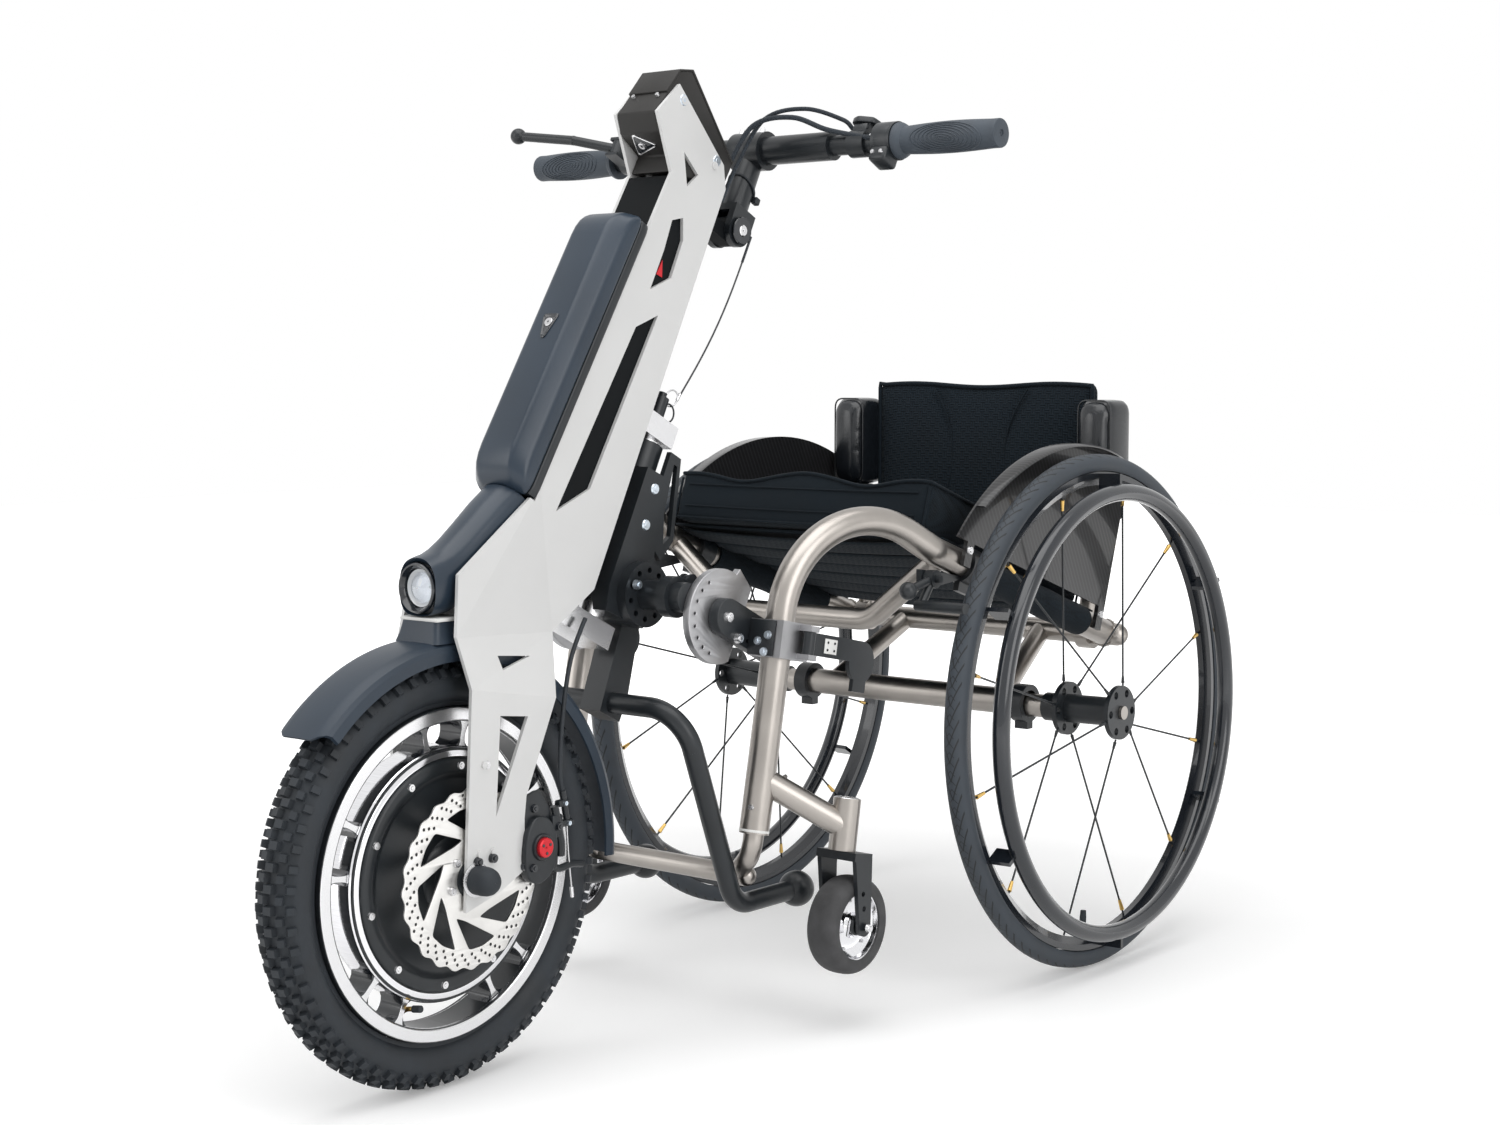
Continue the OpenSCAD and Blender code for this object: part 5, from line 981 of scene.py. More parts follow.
class CHAIR_OT_casters(bpy.types.Operator):
    """Makes the caster tyres, polished centres, seals and bolts"""

    bl_idname = "chair.casters"
    bl_label = "Casters"

    def execute(self, context):
        for side in ("left", "right"):
            low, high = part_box("caster_wheel_" + side)
            centre = Vector(joint("caster_%s_spin" % side)["pos_m"])
            centre.x = (low[0] + high[0]) / 2
            half = (high[0] - low[0]) / 2 / MM
            outer = (high[2] - low[2]) / 2 / MM
            place = Matrix.Translation(centre)
            body = "caster_wheel_" + side
            tread = round_section(outer - 11.0, 11.0, half - 0.2, 24, -118, 118, 2.6)
            tread += [(outer - 15.0, half * 0.62), (outer - 15.4, 0.0), (outer - 15.0, -half * 0.62)]
            turned("caster_tyre_" + side, tread, place, body, "caster_rubber",
                   ("caster_wheel_" + side,), 72)
            rim = outer - 14.6
            dish = [(rim, half * 0.72), (rim - 1.2, half * 0.78), (rim - 2.6, half * 0.74),
                    (rim - 4.5, half * 0.5), (rim - 12.0, half * 0.26), (14.0, half * 0.3),
                    (11.5, half * 0.42), (10.5, half * 0.62), (4.6, half * 0.64)]
            turned("caster_centre_" + side, both_sides(dish), place, body, "chrome_mirror",
                   steps=72)
            seal = [(10.2, half * 0.6), (10.2, half * 0.72), (9.0, half * 0.8), (4.6, half * 0.8),
                    (4.6, half * 0.6)]
            for turn, label in ((1, "outer"), (-1, "inner")):
                turned("caster_seal_%s_%s" % (label, side), flipped(seal, turn), place, body,
                       "black_anodised", steps=40)
            bolts = []
            for a in around(5, 0.4):
                for turn in (1, -1):
                    spot = centre + mm(turn * half * 0.3, *polar(rim - 11, a))
                    bolts.append((spot, (turn, 0, 0), (0, 1, 0.1)))
            screws("caster_bolts_" + side, bolts, 2.2, 1.6, body, "turned_steel")
            fork_low, fork_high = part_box("caster_fork_" + side)
            axle = []
            for turn in (1, -1):
                x = fork_high[0] if turn > 0 else fork_low[0]
                axle.append(((x, centre.y, centre.z), (turn, 0, 0), (0, 1, 0.1)))
            screws("caster_axle_bolts_" + side, axle, 5.2, 3.2, "caster_" + side, "machined_alloy")
        return {"FINISHED"}


# Drive unit

BATTERY_LEAN = math.radians(31.728)
BATTERY_BACK = radial_at(-BATTERY_LEAN)
BATTERY = frame_matrix(mm(0, -335.108, 590.656), X_AXIS, BATTERY_BACK, X_AXIS.cross(BATTERY_BACK))


def lofted(name, sections, body, material, replaces=(), angle=40):
    """A closed skin over loops of points in metres."""
    bm = bmesh.new()
    add_loops(bm, sections, caps=True)
    return from_bmesh(name, bm, body, material, replaces, angle)


def prism(name, outline, half, body, material, replaces=(), bevel=2.0, segments=3):
    """A bevelled slab with its outline given from the front axle in millimetres."""
    bm = bmesh.new()
    add_loops(bm, [[mast(y, z, x) for y, z in outline] for x in (-half, half)], caps=True)
    bmesh.ops.recalc_face_normals(bm, faces=bm.faces)
    bmesh.ops.bevel(bm, geom=list(bm.edges), offset=bevel * MM, segments=segments, affect="EDGES",
                    profile=0.5, clamp_overlap=True)
    return from_bmesh(name, bm, body, material, replaces, 50)


class CHAIR_OT_battery(bpy.types.Operator):
    """Makes the battery's shell, its seam and the lock with its three-cornered plate"""

    bl_idname = "chair.battery"
    bl_label = "Battery"

    def execute(self, context):
        shell = [(-34.5, -13.5), (34.5, -13.5), (36, -16), (36, -31), (23.5, -48), (-23.5, -48), (-36, -31),
                 (-36, -16)]
        ends = [(0, 22, 30.0), (1.5, 26.5, 31.8), (4, 31.5, 33.4), (8, 36.6, 34.8), (13, 41.0, 35.6),
                (20, 44.8, 36.0), (29, 47.2, 36.0), (40, 48, 36)]
        low, high = -16.0, 316.0
        half_width, foot, deep = 36, 13.5, 34.5
        cuts = [(low + t, d, w) for t, d, w in ends] + [(high - t, d, w) for t, d, w in reversed(ends)]
        outline = rounded(shell, 4.5, 4)
        sections = []
        for z, depth, width in cuts:
            points = [(x * width / half_width, -foot + (y + foot) * (depth - foot) / deep) for x, y in outline]
            sections.append([BATTERY @ mm(x, y, z) for x, y in points])
        lofted("battery_shell", sections, "steering", "casing_moulded", ("battery",))
        base = rounded([(-33.5, -0.5), (33.5, -0.5), (35, -3), (35, -12.6), (-35, -12.6), (-35, -3)], 2.5, 3)
        ends = [(low + 2, 0.92), (low + 6, 0.97), (low + 12, 1.0), (high - 12, 1.0), (high - 6, 0.97),
                (high - 2, 0.92)]
        sections = [[BATTERY @ mm(x * s, y, z) for x, y in base] for z, s in ends]
        lofted("battery_base", sections, "steering", "black_anodised")
        joint_line = rounded([(-34, -12.5), (34, -12.5), (34, -14.5), (-34, -14.5)], 0.5, 1)
        sections = [[BATTERY @ mm(x * 0.955, y, z) for x, y in joint_line] for z in (low + 6, high - 6)]
        lofted("battery_joint", sections, "steering", "black_gloss")
        plate = rounded([(-11, 176), (11, 176), (2.5, 147), (-2.5, 147)], 4.0, 5)
        middle = 164
        rings = ((1.0, -47.6), (1.0, -49.0), (0.93, -49.7), (0.78, -49.4), (0.7, -48.6))
        sections = [[BATTERY @ mm(x * s, y, middle + (z - middle) * s) for x, z in plate] for s, y in rings]
        lofted("battery_lock_plate", sections, "steering", "black_gloss")
        lock = BATTERY @ Matrix.Translation(mm(0, -48.0, 166)) @ Matrix.Rotation(math.radians(-90), 4, "Z")
        barrel = [(1.0, 0.5), (1.2, 1.6), (4.4, 1.8), (5.0, 1.2), (5.0, 0.0), (1.0, 0.0)]
        turned("battery_lock", barrel, lock, "steering", "turned_steel", steps=32)
        return {"FINISHED"}


class CHAIR_OT_mast(bpy.types.Operator):
    """Makes the mast's top cover, key switch, red tab, screws and bolts"""

    bl_idname = "chair.mast"
    bl_label = "Mast"

    def execute(self, context):
        outline = [(322.5, 705.0), (333.0, 724.0), (304.5, 746.0), (300.5, 767.0), (343.5, 812.8),
                   (362.0, 814.2), (429.5, 719.3), (412.0, 691.5)]
        prism("mast_top_cover", outline, 27.2, "steering", "cover_coat", ("mast_cover",))
        seam = [(321.0, 788.0), (343.4, 812.2), (362.0, 813.6), (428.6, 719.6), (431.0, 721.3),
                (364.0, 816.2), (341.8, 814.6), (319.2, 790.0)]
        prism("mast_top_cap", seam, 27.3, "steering", "cover_coat", bevel=0.6, segments=2)
        slope = (mast(322, 789.3) - mast(301, 767)).normalized()
        out = Vector((0, -slope.z, slope.y))
        places = [(mast(317.5, 784.8, x) + out * 0.6 * MM, out, slope) for x in (-17, 17)]
        screws("cover_screws", places, 2.6, 2.6, "steering", "turned_steel")

        face = (mast(304.5, 746) - mast(333, 724)).normalized()
        panel = frame_matrix(mast(318.8, 735.0, -6), X_AXIS, face, X_AXIS.cross(face))
        three = rounded([(-17, -16), (20, -2), (-4, 18)], 5, 5)
        rim = [(1.0, -2.0), (1.0, 1.2), (0.95, 1.7), (0.86, 1.5), (0.82, 0.2)]
        sections = [[panel @ mm(x * s, y * s, z) for x, y in three] for s, z in rim]
        lofted("key_bezel", sections, "steering", "machined_alloy")
        inset = ((0.84, 0.0), (0.84, 0.9), (0.8, 1.1))
        sections = [[panel @ mm(x * s, y * s, z) for x, y in three] for s, z in inset]
        lofted("key_panel", sections, "steering", "black_gloss")
        turn = panel @ Matrix.Rotation(math.radians(-90), 4, "Y")
        barrel = [(1.2, 0.8), (1.2, 3.2), (3.6, 3.4), (4.6, 2.8), (4.8, 0.8)]
        turned("key_barrel", barrel, turn, "steering", "turned_steel", steps=32)

        tab = bmesh.new()
        corner = ((-144.5, 825.1), (-154.5, 809.9), (-145.4, 806.4))
        add_loops(tab, [[mm(x, y, z) for y, z in corner] for x in (27.45, 28.6)], caps=True)
        from_bmesh("battery_tab", tab, "steering", "red_anodised")

        heads = side_spots(31.2, ((-112.4, 995.6), (-57.7, 935.1)))
        screws("plate_screws", heads, 6.4, 1.2, "steering", "zinc_plate")
        bolts = side_spots(57.0, ((-452.8, 231.0), (-432.5, 231.6), (-388.4, 216.1)))
        screws("leg_bolts", bolts, 5.0, 4.4, "steering", "black_gloss")
        screws("leg_eyes", side_spots(57.2, ((-438.1, 324.5),)), 4.2, 1.2, "steering", "turned_steel")
        return {"FINISHED"}


class CHAIR_OT_headlight(bpy.types.Operator):
    """Makes the lamp's hooded housing, bezel, projector and light strip"""

    bl_idname = "chair.headlight"
    bl_label = "Headlight"

    def execute(self, context):
        rows = [((-457, 496.7), 24.9, 24.9, 0), ((-471, 496.7), 25.0, 25.2, 0),
                ((-474, 498.0), 25.6, 28.5, 0), ((-468, 498.6), 26.4, 29.4, 2),
                ((-455, 500.5), 26.6, 30.0, 8), ((-438, 507.0), 26.6, 30.0, 20),
                ((-418, 520.0), 26.6, 29.0, 34), ((-396, 539.0), 26.6, 27.5, 44),
                ((-372, 560.0), 26.8, 26.5, 48), ((-350, 577.0), 26.9, 25.0, 48)]
        sections = []
        for (y, z), width, height, lean in rows:
            a = math.radians(lean)
            upward = X_AXIS.cross(radial_at(a))
            loop = []
            for t in around(40):
                c, s = math.cos(t), math.sin(t)
                power = 0.62 if s < 0 else 0.85
                aside, rise = X_AXIS * width * MM * eased(c, power), upward * height * MM * eased(s, power)
                loop.append(mm(0, y, z) + aside + rise)
            sections.append(loop)
        lofted("lamp_housing", sections, "steering", "casing_moulded", ("headlight",), 60)
        lamp = Matrix.Translation(mm(0, -455, 496.7)) @ Matrix.Rotation(math.radians(-90), 4, "Z")
        ring = [(24.6, 17.0), (24.9, 20.5), (24.0, 21.9), (22.4, 21.6), (20.4, 18.6), (18.6, 15.0),
                (18.2, 12.0), (20.0, 12.0)]
        turned("lamp_bezel", ring, lamp, "steering", "black_gloss", steps=72)
        bowl = [(18.5, 15.2), (16.5, 12.8), (13.0, 9.0), (8.0, 6.6), (0.6, 6.0), (0.6, 4.0), (19.0, 4.0)]
        turned("lamp_bowl", bowl, lamp, "steering", "lamp_white", steps=64)
        dome = [(0.4, 20.6), (5.0, 20.2), (9.5, 18.6), (13.5, 15.6), (15.6, 12.6), (15.6, 11.6), (12.0, 14.2),
                (8.0, 16.2), (0.4, 17.2)]
        turned("lamp_projector", dome, lamp, "steering", "lens_clear", ("headlight_lens",), steps=64)
        bm = bmesh.new()
        add_box(bm, (-26.4, -474.0, 464.6), (26.4, -436.0, 468.2), bevel=1.2)
        from_bmesh("light_strip", bm, "steering", "white_nylon")
        return {"FINISHED"}


class CHAIR_OT_fender(bpy.types.Operator):
    """Makes the front fender with its folded crown, skirts and stay"""

    bl_idname = "chair.fender"
    bl_label = "Fender"

    def execute(self, context):
        half = [(212.0, 34.0), (222.5, 33.8), (227.0, 31.6), (230.6, 26.0), (231.6, 20.0), (231.9, 0.0)]
        outer = half + [(r, -x) for r, x in reversed(half[:-1])]
        inner = [(r - (2.2 if abs(x) < 30 else 0.4), x * (1 if abs(x) < 30 else 0.935))
                 for r, x in reversed(outer)]
        loop = outer + inner
        sections = []
        for k in range(73):
            turn = -4 + 142 * k / 72
            a = math.radians(turn)
            point = []
            for r, x in loop:
                sweep = a
                if turn > 128:
                    sweep = a - math.radians((turn - 128) / 10 * 3.0 * min(1, max(0, (abs(x) - 20) / 14)))
                point.append(mast(*polar(r, sweep), x))
            sections.append(point)
        lofted("fender_shell", sections, "steering", "fender_moulded", ("front_fender",), 24)
        rows = [(229.5, 30.5, -24, 30), (238.0, 27.5, -21, 26), (247.0, 25.6, -19, 22), (251.5, 25.0, -18, 20)]
        stay = []
        for z, width, front, back in rows:
            corners = [(-width, front), (width, front), (width, back), (-width, back)]
            stay.append([mast(y, z, x) for x, y in rounded(corners, 6, 4)])
        lofted("fender_stay", stay, "steering", "fender_moulded", angle=50)
        return {"FINISHED"}


class CHAIR_OT_front_brake(bpy.types.Operator):
    """Makes the axle caps, the caliper with its adjuster, and the brake wire"""

    bl_idname = "chair.front_brake"
    bl_label = "Front brake"

    def execute(self, context):
        for sign, label in SIDES:
            dome = [(13.0, 59.0), (14.4, 60.0), (14.4, 70.0), (14.0, 74.5), (12.6, 79.0), (10.0, 82.6),
                    (6.0, 84.8), (0.5, 85.4), (0.5, 59.0)]
            turned("axle_cap_" + label, flipped(dome, sign), FRONT, "steering", "tyre_rubber",
                   steps=40)
            nut = [(14.2, 57.2), (17.0, 57.2), (17.4, 58.4), (14.2, 59.4)]
            turned("axle_washer_" + label, flipped(nut, sign), FRONT, "steering", "turned_steel",
                   steps=40)
        lobe = rounded([(-391, 222), (-386, 202), (-372, 197), (-355, 205), (-347, 226), (-350, 247),
                        (-361, 261), (-376, 263), (-387, 250)], 12, 4)
        for x, thick, label in ((58.4, 11.0, "outer"), (42.5, 9.0, "inner")):
            mesh = flat_part("caliper_" + label, lobe, [], thick, Matrix.Translation(mm(x, 0, 0)), 2.0, 3)
            stands_for = ("brake_caliper",) if label == "outer" else ()
            piece("caliper_" + label, mesh, "steering", "black_anodised", stands_for)
        bracket = rounded([(-388, 284), (-366, 290), (-350, 266), (-352, 240), (-372, 236), (-384, 252)], 6, 3)
        mesh = flat_part("caliper_bracket", bracket, [], 3.6, Matrix.Translation(mm(55.0, 0, 0)), 0.8)
        piece("caliper_bracket", mesh, "steering", "black_anodised")
        bm = bmesh.new()
        add_box(bm, (39, -360, 206), (63, -346, 250), bevel=3)
        add_box(bm, (53, -352, 238), (62, -336, 262), bevel=3)
        add_box(bm, (52, -336, 247), (60, -318, 254), bevel=2)
        add_box(bm, (52, -340, 268), (60, -324, 275), bevel=2)
        for route, radius in ((((57, -345, 270), (58, -341, 250), (57, -336, 232), (55, -334, 218)), 4.6),
                              (((56, -352, 212), (56, -338, 205), (54, -318, 206), (52, -300, 203)), 4.0)):
            add_tube(bm, smooth_path([mm(*spot) for spot in route], 5), radius * MM, 10)
        add_tube(bm, [mm(56, -332, 284), mm(56, -329, 268), mm(56, -326, 254)], 3.4 * MM, 12)
        from_bmesh("caliper_arm", bm, "steering", "black_anodised")
        knob_y, knob_z = -369.0, 233.0
        knob = [(0.8, 0.0), (0.8, 6.2), (3.0, 6.6), (8.6, 6.8), (9.8, 6.0), (10.1, 4.6), (10.1, 0.0)]
        turned("pad_adjuster", knob, Matrix.Translation(mm(63.6, knob_y, knob_z)), "steering", "red_anodised",
               steps=40)
        # Painted shade: the adjuster's three holes are small black discs set on the red knob's face.
        holes = [(mm(70.3, knob_y + 5.6 * math.cos(a), knob_z + 5.6 * math.sin(a)), (1, 0, 0), (0, 1, 0))
                 for a in (0.5, 2.6, 4.7)]
        repeated("adjuster_hole_shade", "cap", holes, 1.7, 0.6, 1.5 * MM, "steering", "black_gloss")
        collar = [(10.4, 0.0), (10.4, 3.0), (13.0, 3.4), (13.8, 2.2), (13.8, 0.0)]
        turned("adjuster_collar", collar, Matrix.Translation(mm(63.4, knob_y, knob_z)), "steering",
               "black_anodised", steps=40)
        spots = ((56.7, -374, 272), (63.8, -383, 214), (61.9, -344, 250))
        bolts = [(mm(*spot), (1, 0, 0), (0, 1, 0.2)) for spot in spots]
        screws("caliper_bolts", bolts, 4.4, 3.4, "steering", "black_gloss")
        studs = [(mm(*spot), (1, 0, 0), (0, 1, 0.2)) for spot in ((59.9, -327, 250.5), (59.9, -332, 271.5))]
        screws("cable_studs", studs, 2.6, 2.4, "steering", "zinc_plate")
        hose = smooth_path([mm(56, -332, 284), mm(53, -332, 304), mm(45, -320, 352), mm(34, -296, 410),
                            mm(29, -268, 452)], 8)
        wire_r = 2.4 * MM
        wire = tube("brake_wire", hose, wire_r, "steering", "tyre_rubber", 10)
        declare_cord(hose)
        strand = smooth_path([mm(56, -326, 254), mm(56, -324, 222), mm(56, -319, 180)], 5)
        tube("brake_wire_end", strand, 0.9 * MM, "steering", "turned_steel", 8)
        tube("brake_wire_tip", [mm(56, -319.4, 183), mm(56, -318.2, 172)], 1.9 * MM, "steering",
             "machined_alloy", 10)
        return {"FINISHED"}


# Seat and back


def pillow(outline, place, low, top, bulge=2.5, edge=6.0, inset=4.0, rings=14):
    """A boxed pad over an outline of (a, b), with sides that swell a little; place maps (a, b, height)."""
    count = len(outline)
    ca = sum(p[0] for p in outline) / count
    cb = sum(p[1] for p in outline) / count
    outward = []
    for k in range(count):
        a0, b0 = outline[k - 1]
        a1, b1 = outline[(k + 1) % count]
        length = math.hypot(a1 - a0, b1 - b0) or 1.0
        outward.append(((b1 - b0) / length, -(a1 - a0) / length))
    area = sum(outline[k - 1][0] * outline[k][1] - outline[k][0] * outline[k - 1][1] for k in range(count))
    sign = 1 if area > 0 else -1
    loops = []

    def ring(shift, height):
        loops.append([place(a + sign * n * shift, b + sign * m * shift, height(a, b))
                      for (a, b), (n, m) in zip(outline, outward)])

    for scale in (0.02, 0.5, 0.94):
        loops.append([place(ca + (a - ca) * scale, cb + (b - cb) * scale, low) for a, b in outline])
    ring(-inset * 0.4, lambda a, b: low + inset * 0.25)
    for t in (0.12, 0.3, 0.5, 0.7, 0.88):
        ring(bulge * math.sin(math.pi * t), lambda a, b, t=t: low + (top(a, b) - edge - low) * t)
    ring(0.0, lambda a, b: top(a, b) - edge)
    ring(-edge * 0.5, lambda a, b: top(a, b) - edge * 0.55)
    for k in range(1, rings):
        s = 1 - k / rings
        if s > 0.93:
            continue
        drop = edge * 0.5 * max(0, (s - 0.7) / 0.3)
        inner = [(ca + (a - ca) * s, cb + (b - cb) * s) for a, b in outline]
        loops.append([place(a, b, top(a, b) - drop) for a, b in inner])
    loops.append([place(ca + (a - ca) * 0.02, cb + (b - cb) * 0.02, top(ca, cb)) for a, b in outline])
    bm = bmesh.new()
    add_loops(bm, loops, caps=True)
    return bm


def swollen(name, bm, held, voxel=0.005, pressure=4.0, cap=0.007, frames=18):
    """Fills a pad with Cloth's pressure; points that held(point) picks stay on their seam."""
    mesh = to_mesh(bm, name)
    scene = bpy.context.scene
    obj = placed(name, mesh)
    remesh = obj.modifiers.new("remesh", "REMESH")
    remesh.mode = "VOXEL"
    remesh.voxel_size = voxel
    obj.data = evaluated_mesh(obj)
    obj.modifiers.clear()
    start = [v.co.copy() for v in obj.data.vertices]
    pins = obj.vertex_groups.new(name="seams")
    pins.add([k for k, p in enumerate(start) if held(p)], 1.0, "REPLACE")
    cloth = obj.modifiers.new("cloth", "CLOTH")
    cloth.settings.quality = 4
    cloth.settings.mass = 0.25
    cloth.settings.tension_stiffness = cloth.settings.compression_stiffness = 20
    cloth.settings.bending_stiffness = 1.0
    cloth.settings.vertex_group_mass = "seams"
    cloth.settings.use_pressure = True
    cloth.settings.uniform_pressure_force = pressure
    cloth.settings.effector_weights.gravity = 0
    cloth.point_cache.frame_start, cloth.point_cache.frame_end = 1, frames
    for k in range(1, frames + 1):
        scene.frame_set(k)
    made = evaluated_mesh(obj)
    obj.modifiers.clear()
    scene.frame_set(1)
    for k, v in enumerate(made.vertices):
        move = v.co - start[k]
        if move.length > cap:
            v.co = start[k] + move.normalized() * cap
    obj.data = made
    smooth = obj.modifiers.new("smooth", "SUBSURF")
    smooth.levels = smooth.render_levels = 1
    mesh = evaluated_mesh(obj)
    bpy.data.objects.remove(obj)
    return mesh


def seam(name, path, radius, body, material="cover_cloth", closed=False):
    """A sewn edge, with its radius in millimetres."""
    return tube(name, path, radius * MM, body, material, 8, closed)


# The cushion's half width, half length, middle, base and height from the seat rails
CUSHION = (183.0, 175.0, 169.0, 20.6, 62.0)


def cushion_top(x, y):
    """The cushion's height: two thigh troughs with a low pommel between them."""
    half_w, half_l, centre, base, height = CUSHION
    ahead = max(0.0, min(1.0, (centre + half_l - y) / (2 * half_l)))
    trough = 10.0 * math.exp(-((abs(x) - 92) / 44) ** 2) * (0.55 + 0.45 * ahead)
    pommel = 3.5 * math.exp(-(x / 34) ** 2) * ahead
    return base + height + 4.0 - trough + pommel - 3.0 * (x / half_w) ** 6


class CHAIR_OT_seat(bpy.types.Operator):
    """Makes the seat cushion with its piping, and the sling with its straps"""

    bl_idname = "chair.seat"
    bl_label = "Seat"

    def execute(self, context):
        pipe = context.scene.chair_shape.piping / MM / 2
        half_w, half_l, centre, base, height = CUSHION
        front, rear, steps = centre - half_l, centre + half_l, 40
        corner = [(-half_w, front), (half_w, front), (half_w, rear), (-half_w, rear)]
        edge, pull = 6.0, 5.0
        plan = []
        for k in range(4):
            a, b = Vector(corner[k]), Vector(corner[(k + 1) % 4])
            inward = Vector((-(b - a).y, (b - a).x)).normalized()
            for i in range(steps):
                t = i / steps
                plan.append(tuple(a.lerp(b, t) + inward * pull * (1 - (2 * t - 1) ** 2)))

        def place(x, y, z):
            return RAIL @ mm(x, y, z)

        back = RAIL.inverted()
        bm = pillow(plan, place, base, cushion_top, bulge=1.5, edge=edge)

        def held(p):
            q = back @ p / MM
            rim = min(abs(abs(q.x) - half_w), abs(q.y - centre + half_l), abs(q.y - centre - half_l))
            corner_gap = math.hypot(abs(q.x) - half_w, abs(q.y - centre) - half_l)
            on_piping = rim < 9 and abs(q.z - cushion_top(q.x, q.y) + edge) < 6
            return q.z < base + 4 or corner_gap < 9 or on_piping

        mesh = swollen("seat_cushion_cover", bm, held)
        cover = piece("seat_cushion_cover", mesh, "chair", "cover_cloth", ("seat_cushion",), 60)
        top = [place(x, y, cushion_top(x, y) - edge + 0.6) for x, y in plan]
        seam("cushion_piping", top, pipe, "chair", closed=True)
        foot = [place(x * 0.995, centre + (y - centre) * 0.995, base + 3.0) for x, y in plan]
        seam("cushion_foot_seam", foot, pipe * 0.7, "chair", closed=True)
        for sx in (-1, 1):
            for sy in (-1, 1):
                x, y = sx * (half_w + 0.2), centre + sy * (half_l + 0.2)
                path = [place(x, y, base + 4 + (height - 14) * t / 6) for t in range(7)]
                seam("cushion_corner_%d%d" % (sx, sy), path, 1.5, "chair")
        ahead = 2.6
        for z, name in ((17.0, "lower"), (44.0, "upper")):
            row = [place(x, front + pull * (1 - (x / half_w) ** 2) - ahead, base + z)
                   for x in range(-170, 171, 10)]
            seam("cushion_front_seam_" + name, row, 0.9, "chair")

        sheet = bmesh.new()
        sling_w, sling_l, sling_front = 396, 349, 14
        half_sling, columns = sling_w / 2, 32
        rows = []
        for k in range(26):
            y = sling_front + sling_l * k / 25
            row = []
            for i in range(columns + 1):
                x = -half_sling + sling_w * i / columns
                lift = 18.6 - 1.6 * (1 - (x / half_sling) ** 2) + 0.5 * math.sin(k * 1.6)
                row.append(sheet.verts.new(place(x, y, lift)))
            rows.append(row)
        for a, b in zip(rows, rows[1:]):
            for i in range(columns):
                sheet.faces.new((a[i], a[i + 1], b[i + 1], b[i]))
        bmesh.ops.recalc_face_normals(sheet, faces=sheet.faces)
        mesh = to_mesh(sheet, "sling_sheet", outward=False)
        sling = piece("sling_sheet", mesh, "chair", "cover_cloth", ("seat_sling",), 60)
        wall = sling.modifiers.new("wall", "SOLIDIFY")
        wall.thickness = 2.4 * MM
        wall.offset = 0
        for sign, label in ((-1, "right"), (1, "left")):
            bm = bmesh.new()
            loops = []
            for k in range(25):
                y = 93.0 + 237.0 * k / 24
                r = 18.1 + 0.5 * math.sin(k * 0.9)
                loops.append([place(sign * 200 + r * math.cos(a), y, r * math.sin(a)) for a in around(24)])
            add_loops(bm, loops, caps=True)
            from_bmesh("sling_sleeve_" + label, bm, "chair", "cover_cloth", angle=60)
        straps = bmesh.new()
        keepers = []
        strap = ((0, 0.2), (1.2, -0.9), (8, -1.5), (21, -1.9), (34, -1.5), (41, -0.9), (42, 0.2), (41, 1.4),
                 (21, 1.0), (1.2, 1.4))
        strap_w, half_strap, tilt = 42, 192, 2.6
        down = RAIL.to_3x3() @ Vector((0, 0, -1))
        for k in range(6):
            y0, under = 20.0 + 56.0 * k, (k % 2) * 0.8
            loops = []
            for i in range(41):
                x = -half_strap + 2 * half_strap * i / 40
                z = 14.0 + (-5.5 * (1 - (x / half_strap) ** 2) - under)
                loops.append([place(x, y0 + u, z + v - tilt * u / strap_w) for u, v in strap])
            add_loops(straps, loops, caps=True)
            keepers += [(place(x, y0 + 40, 9.6 - under), down, (1, 0, 0)) for x in (-120, 118)]
        from_bmesh("sling_straps", straps, "chair", "strap_web", angle=50)
        repeated("strap_tabs", "block", keepers, 5.6, 1.6, 0.4, "chair", "white_nylon")
        return {"FINISHED"}


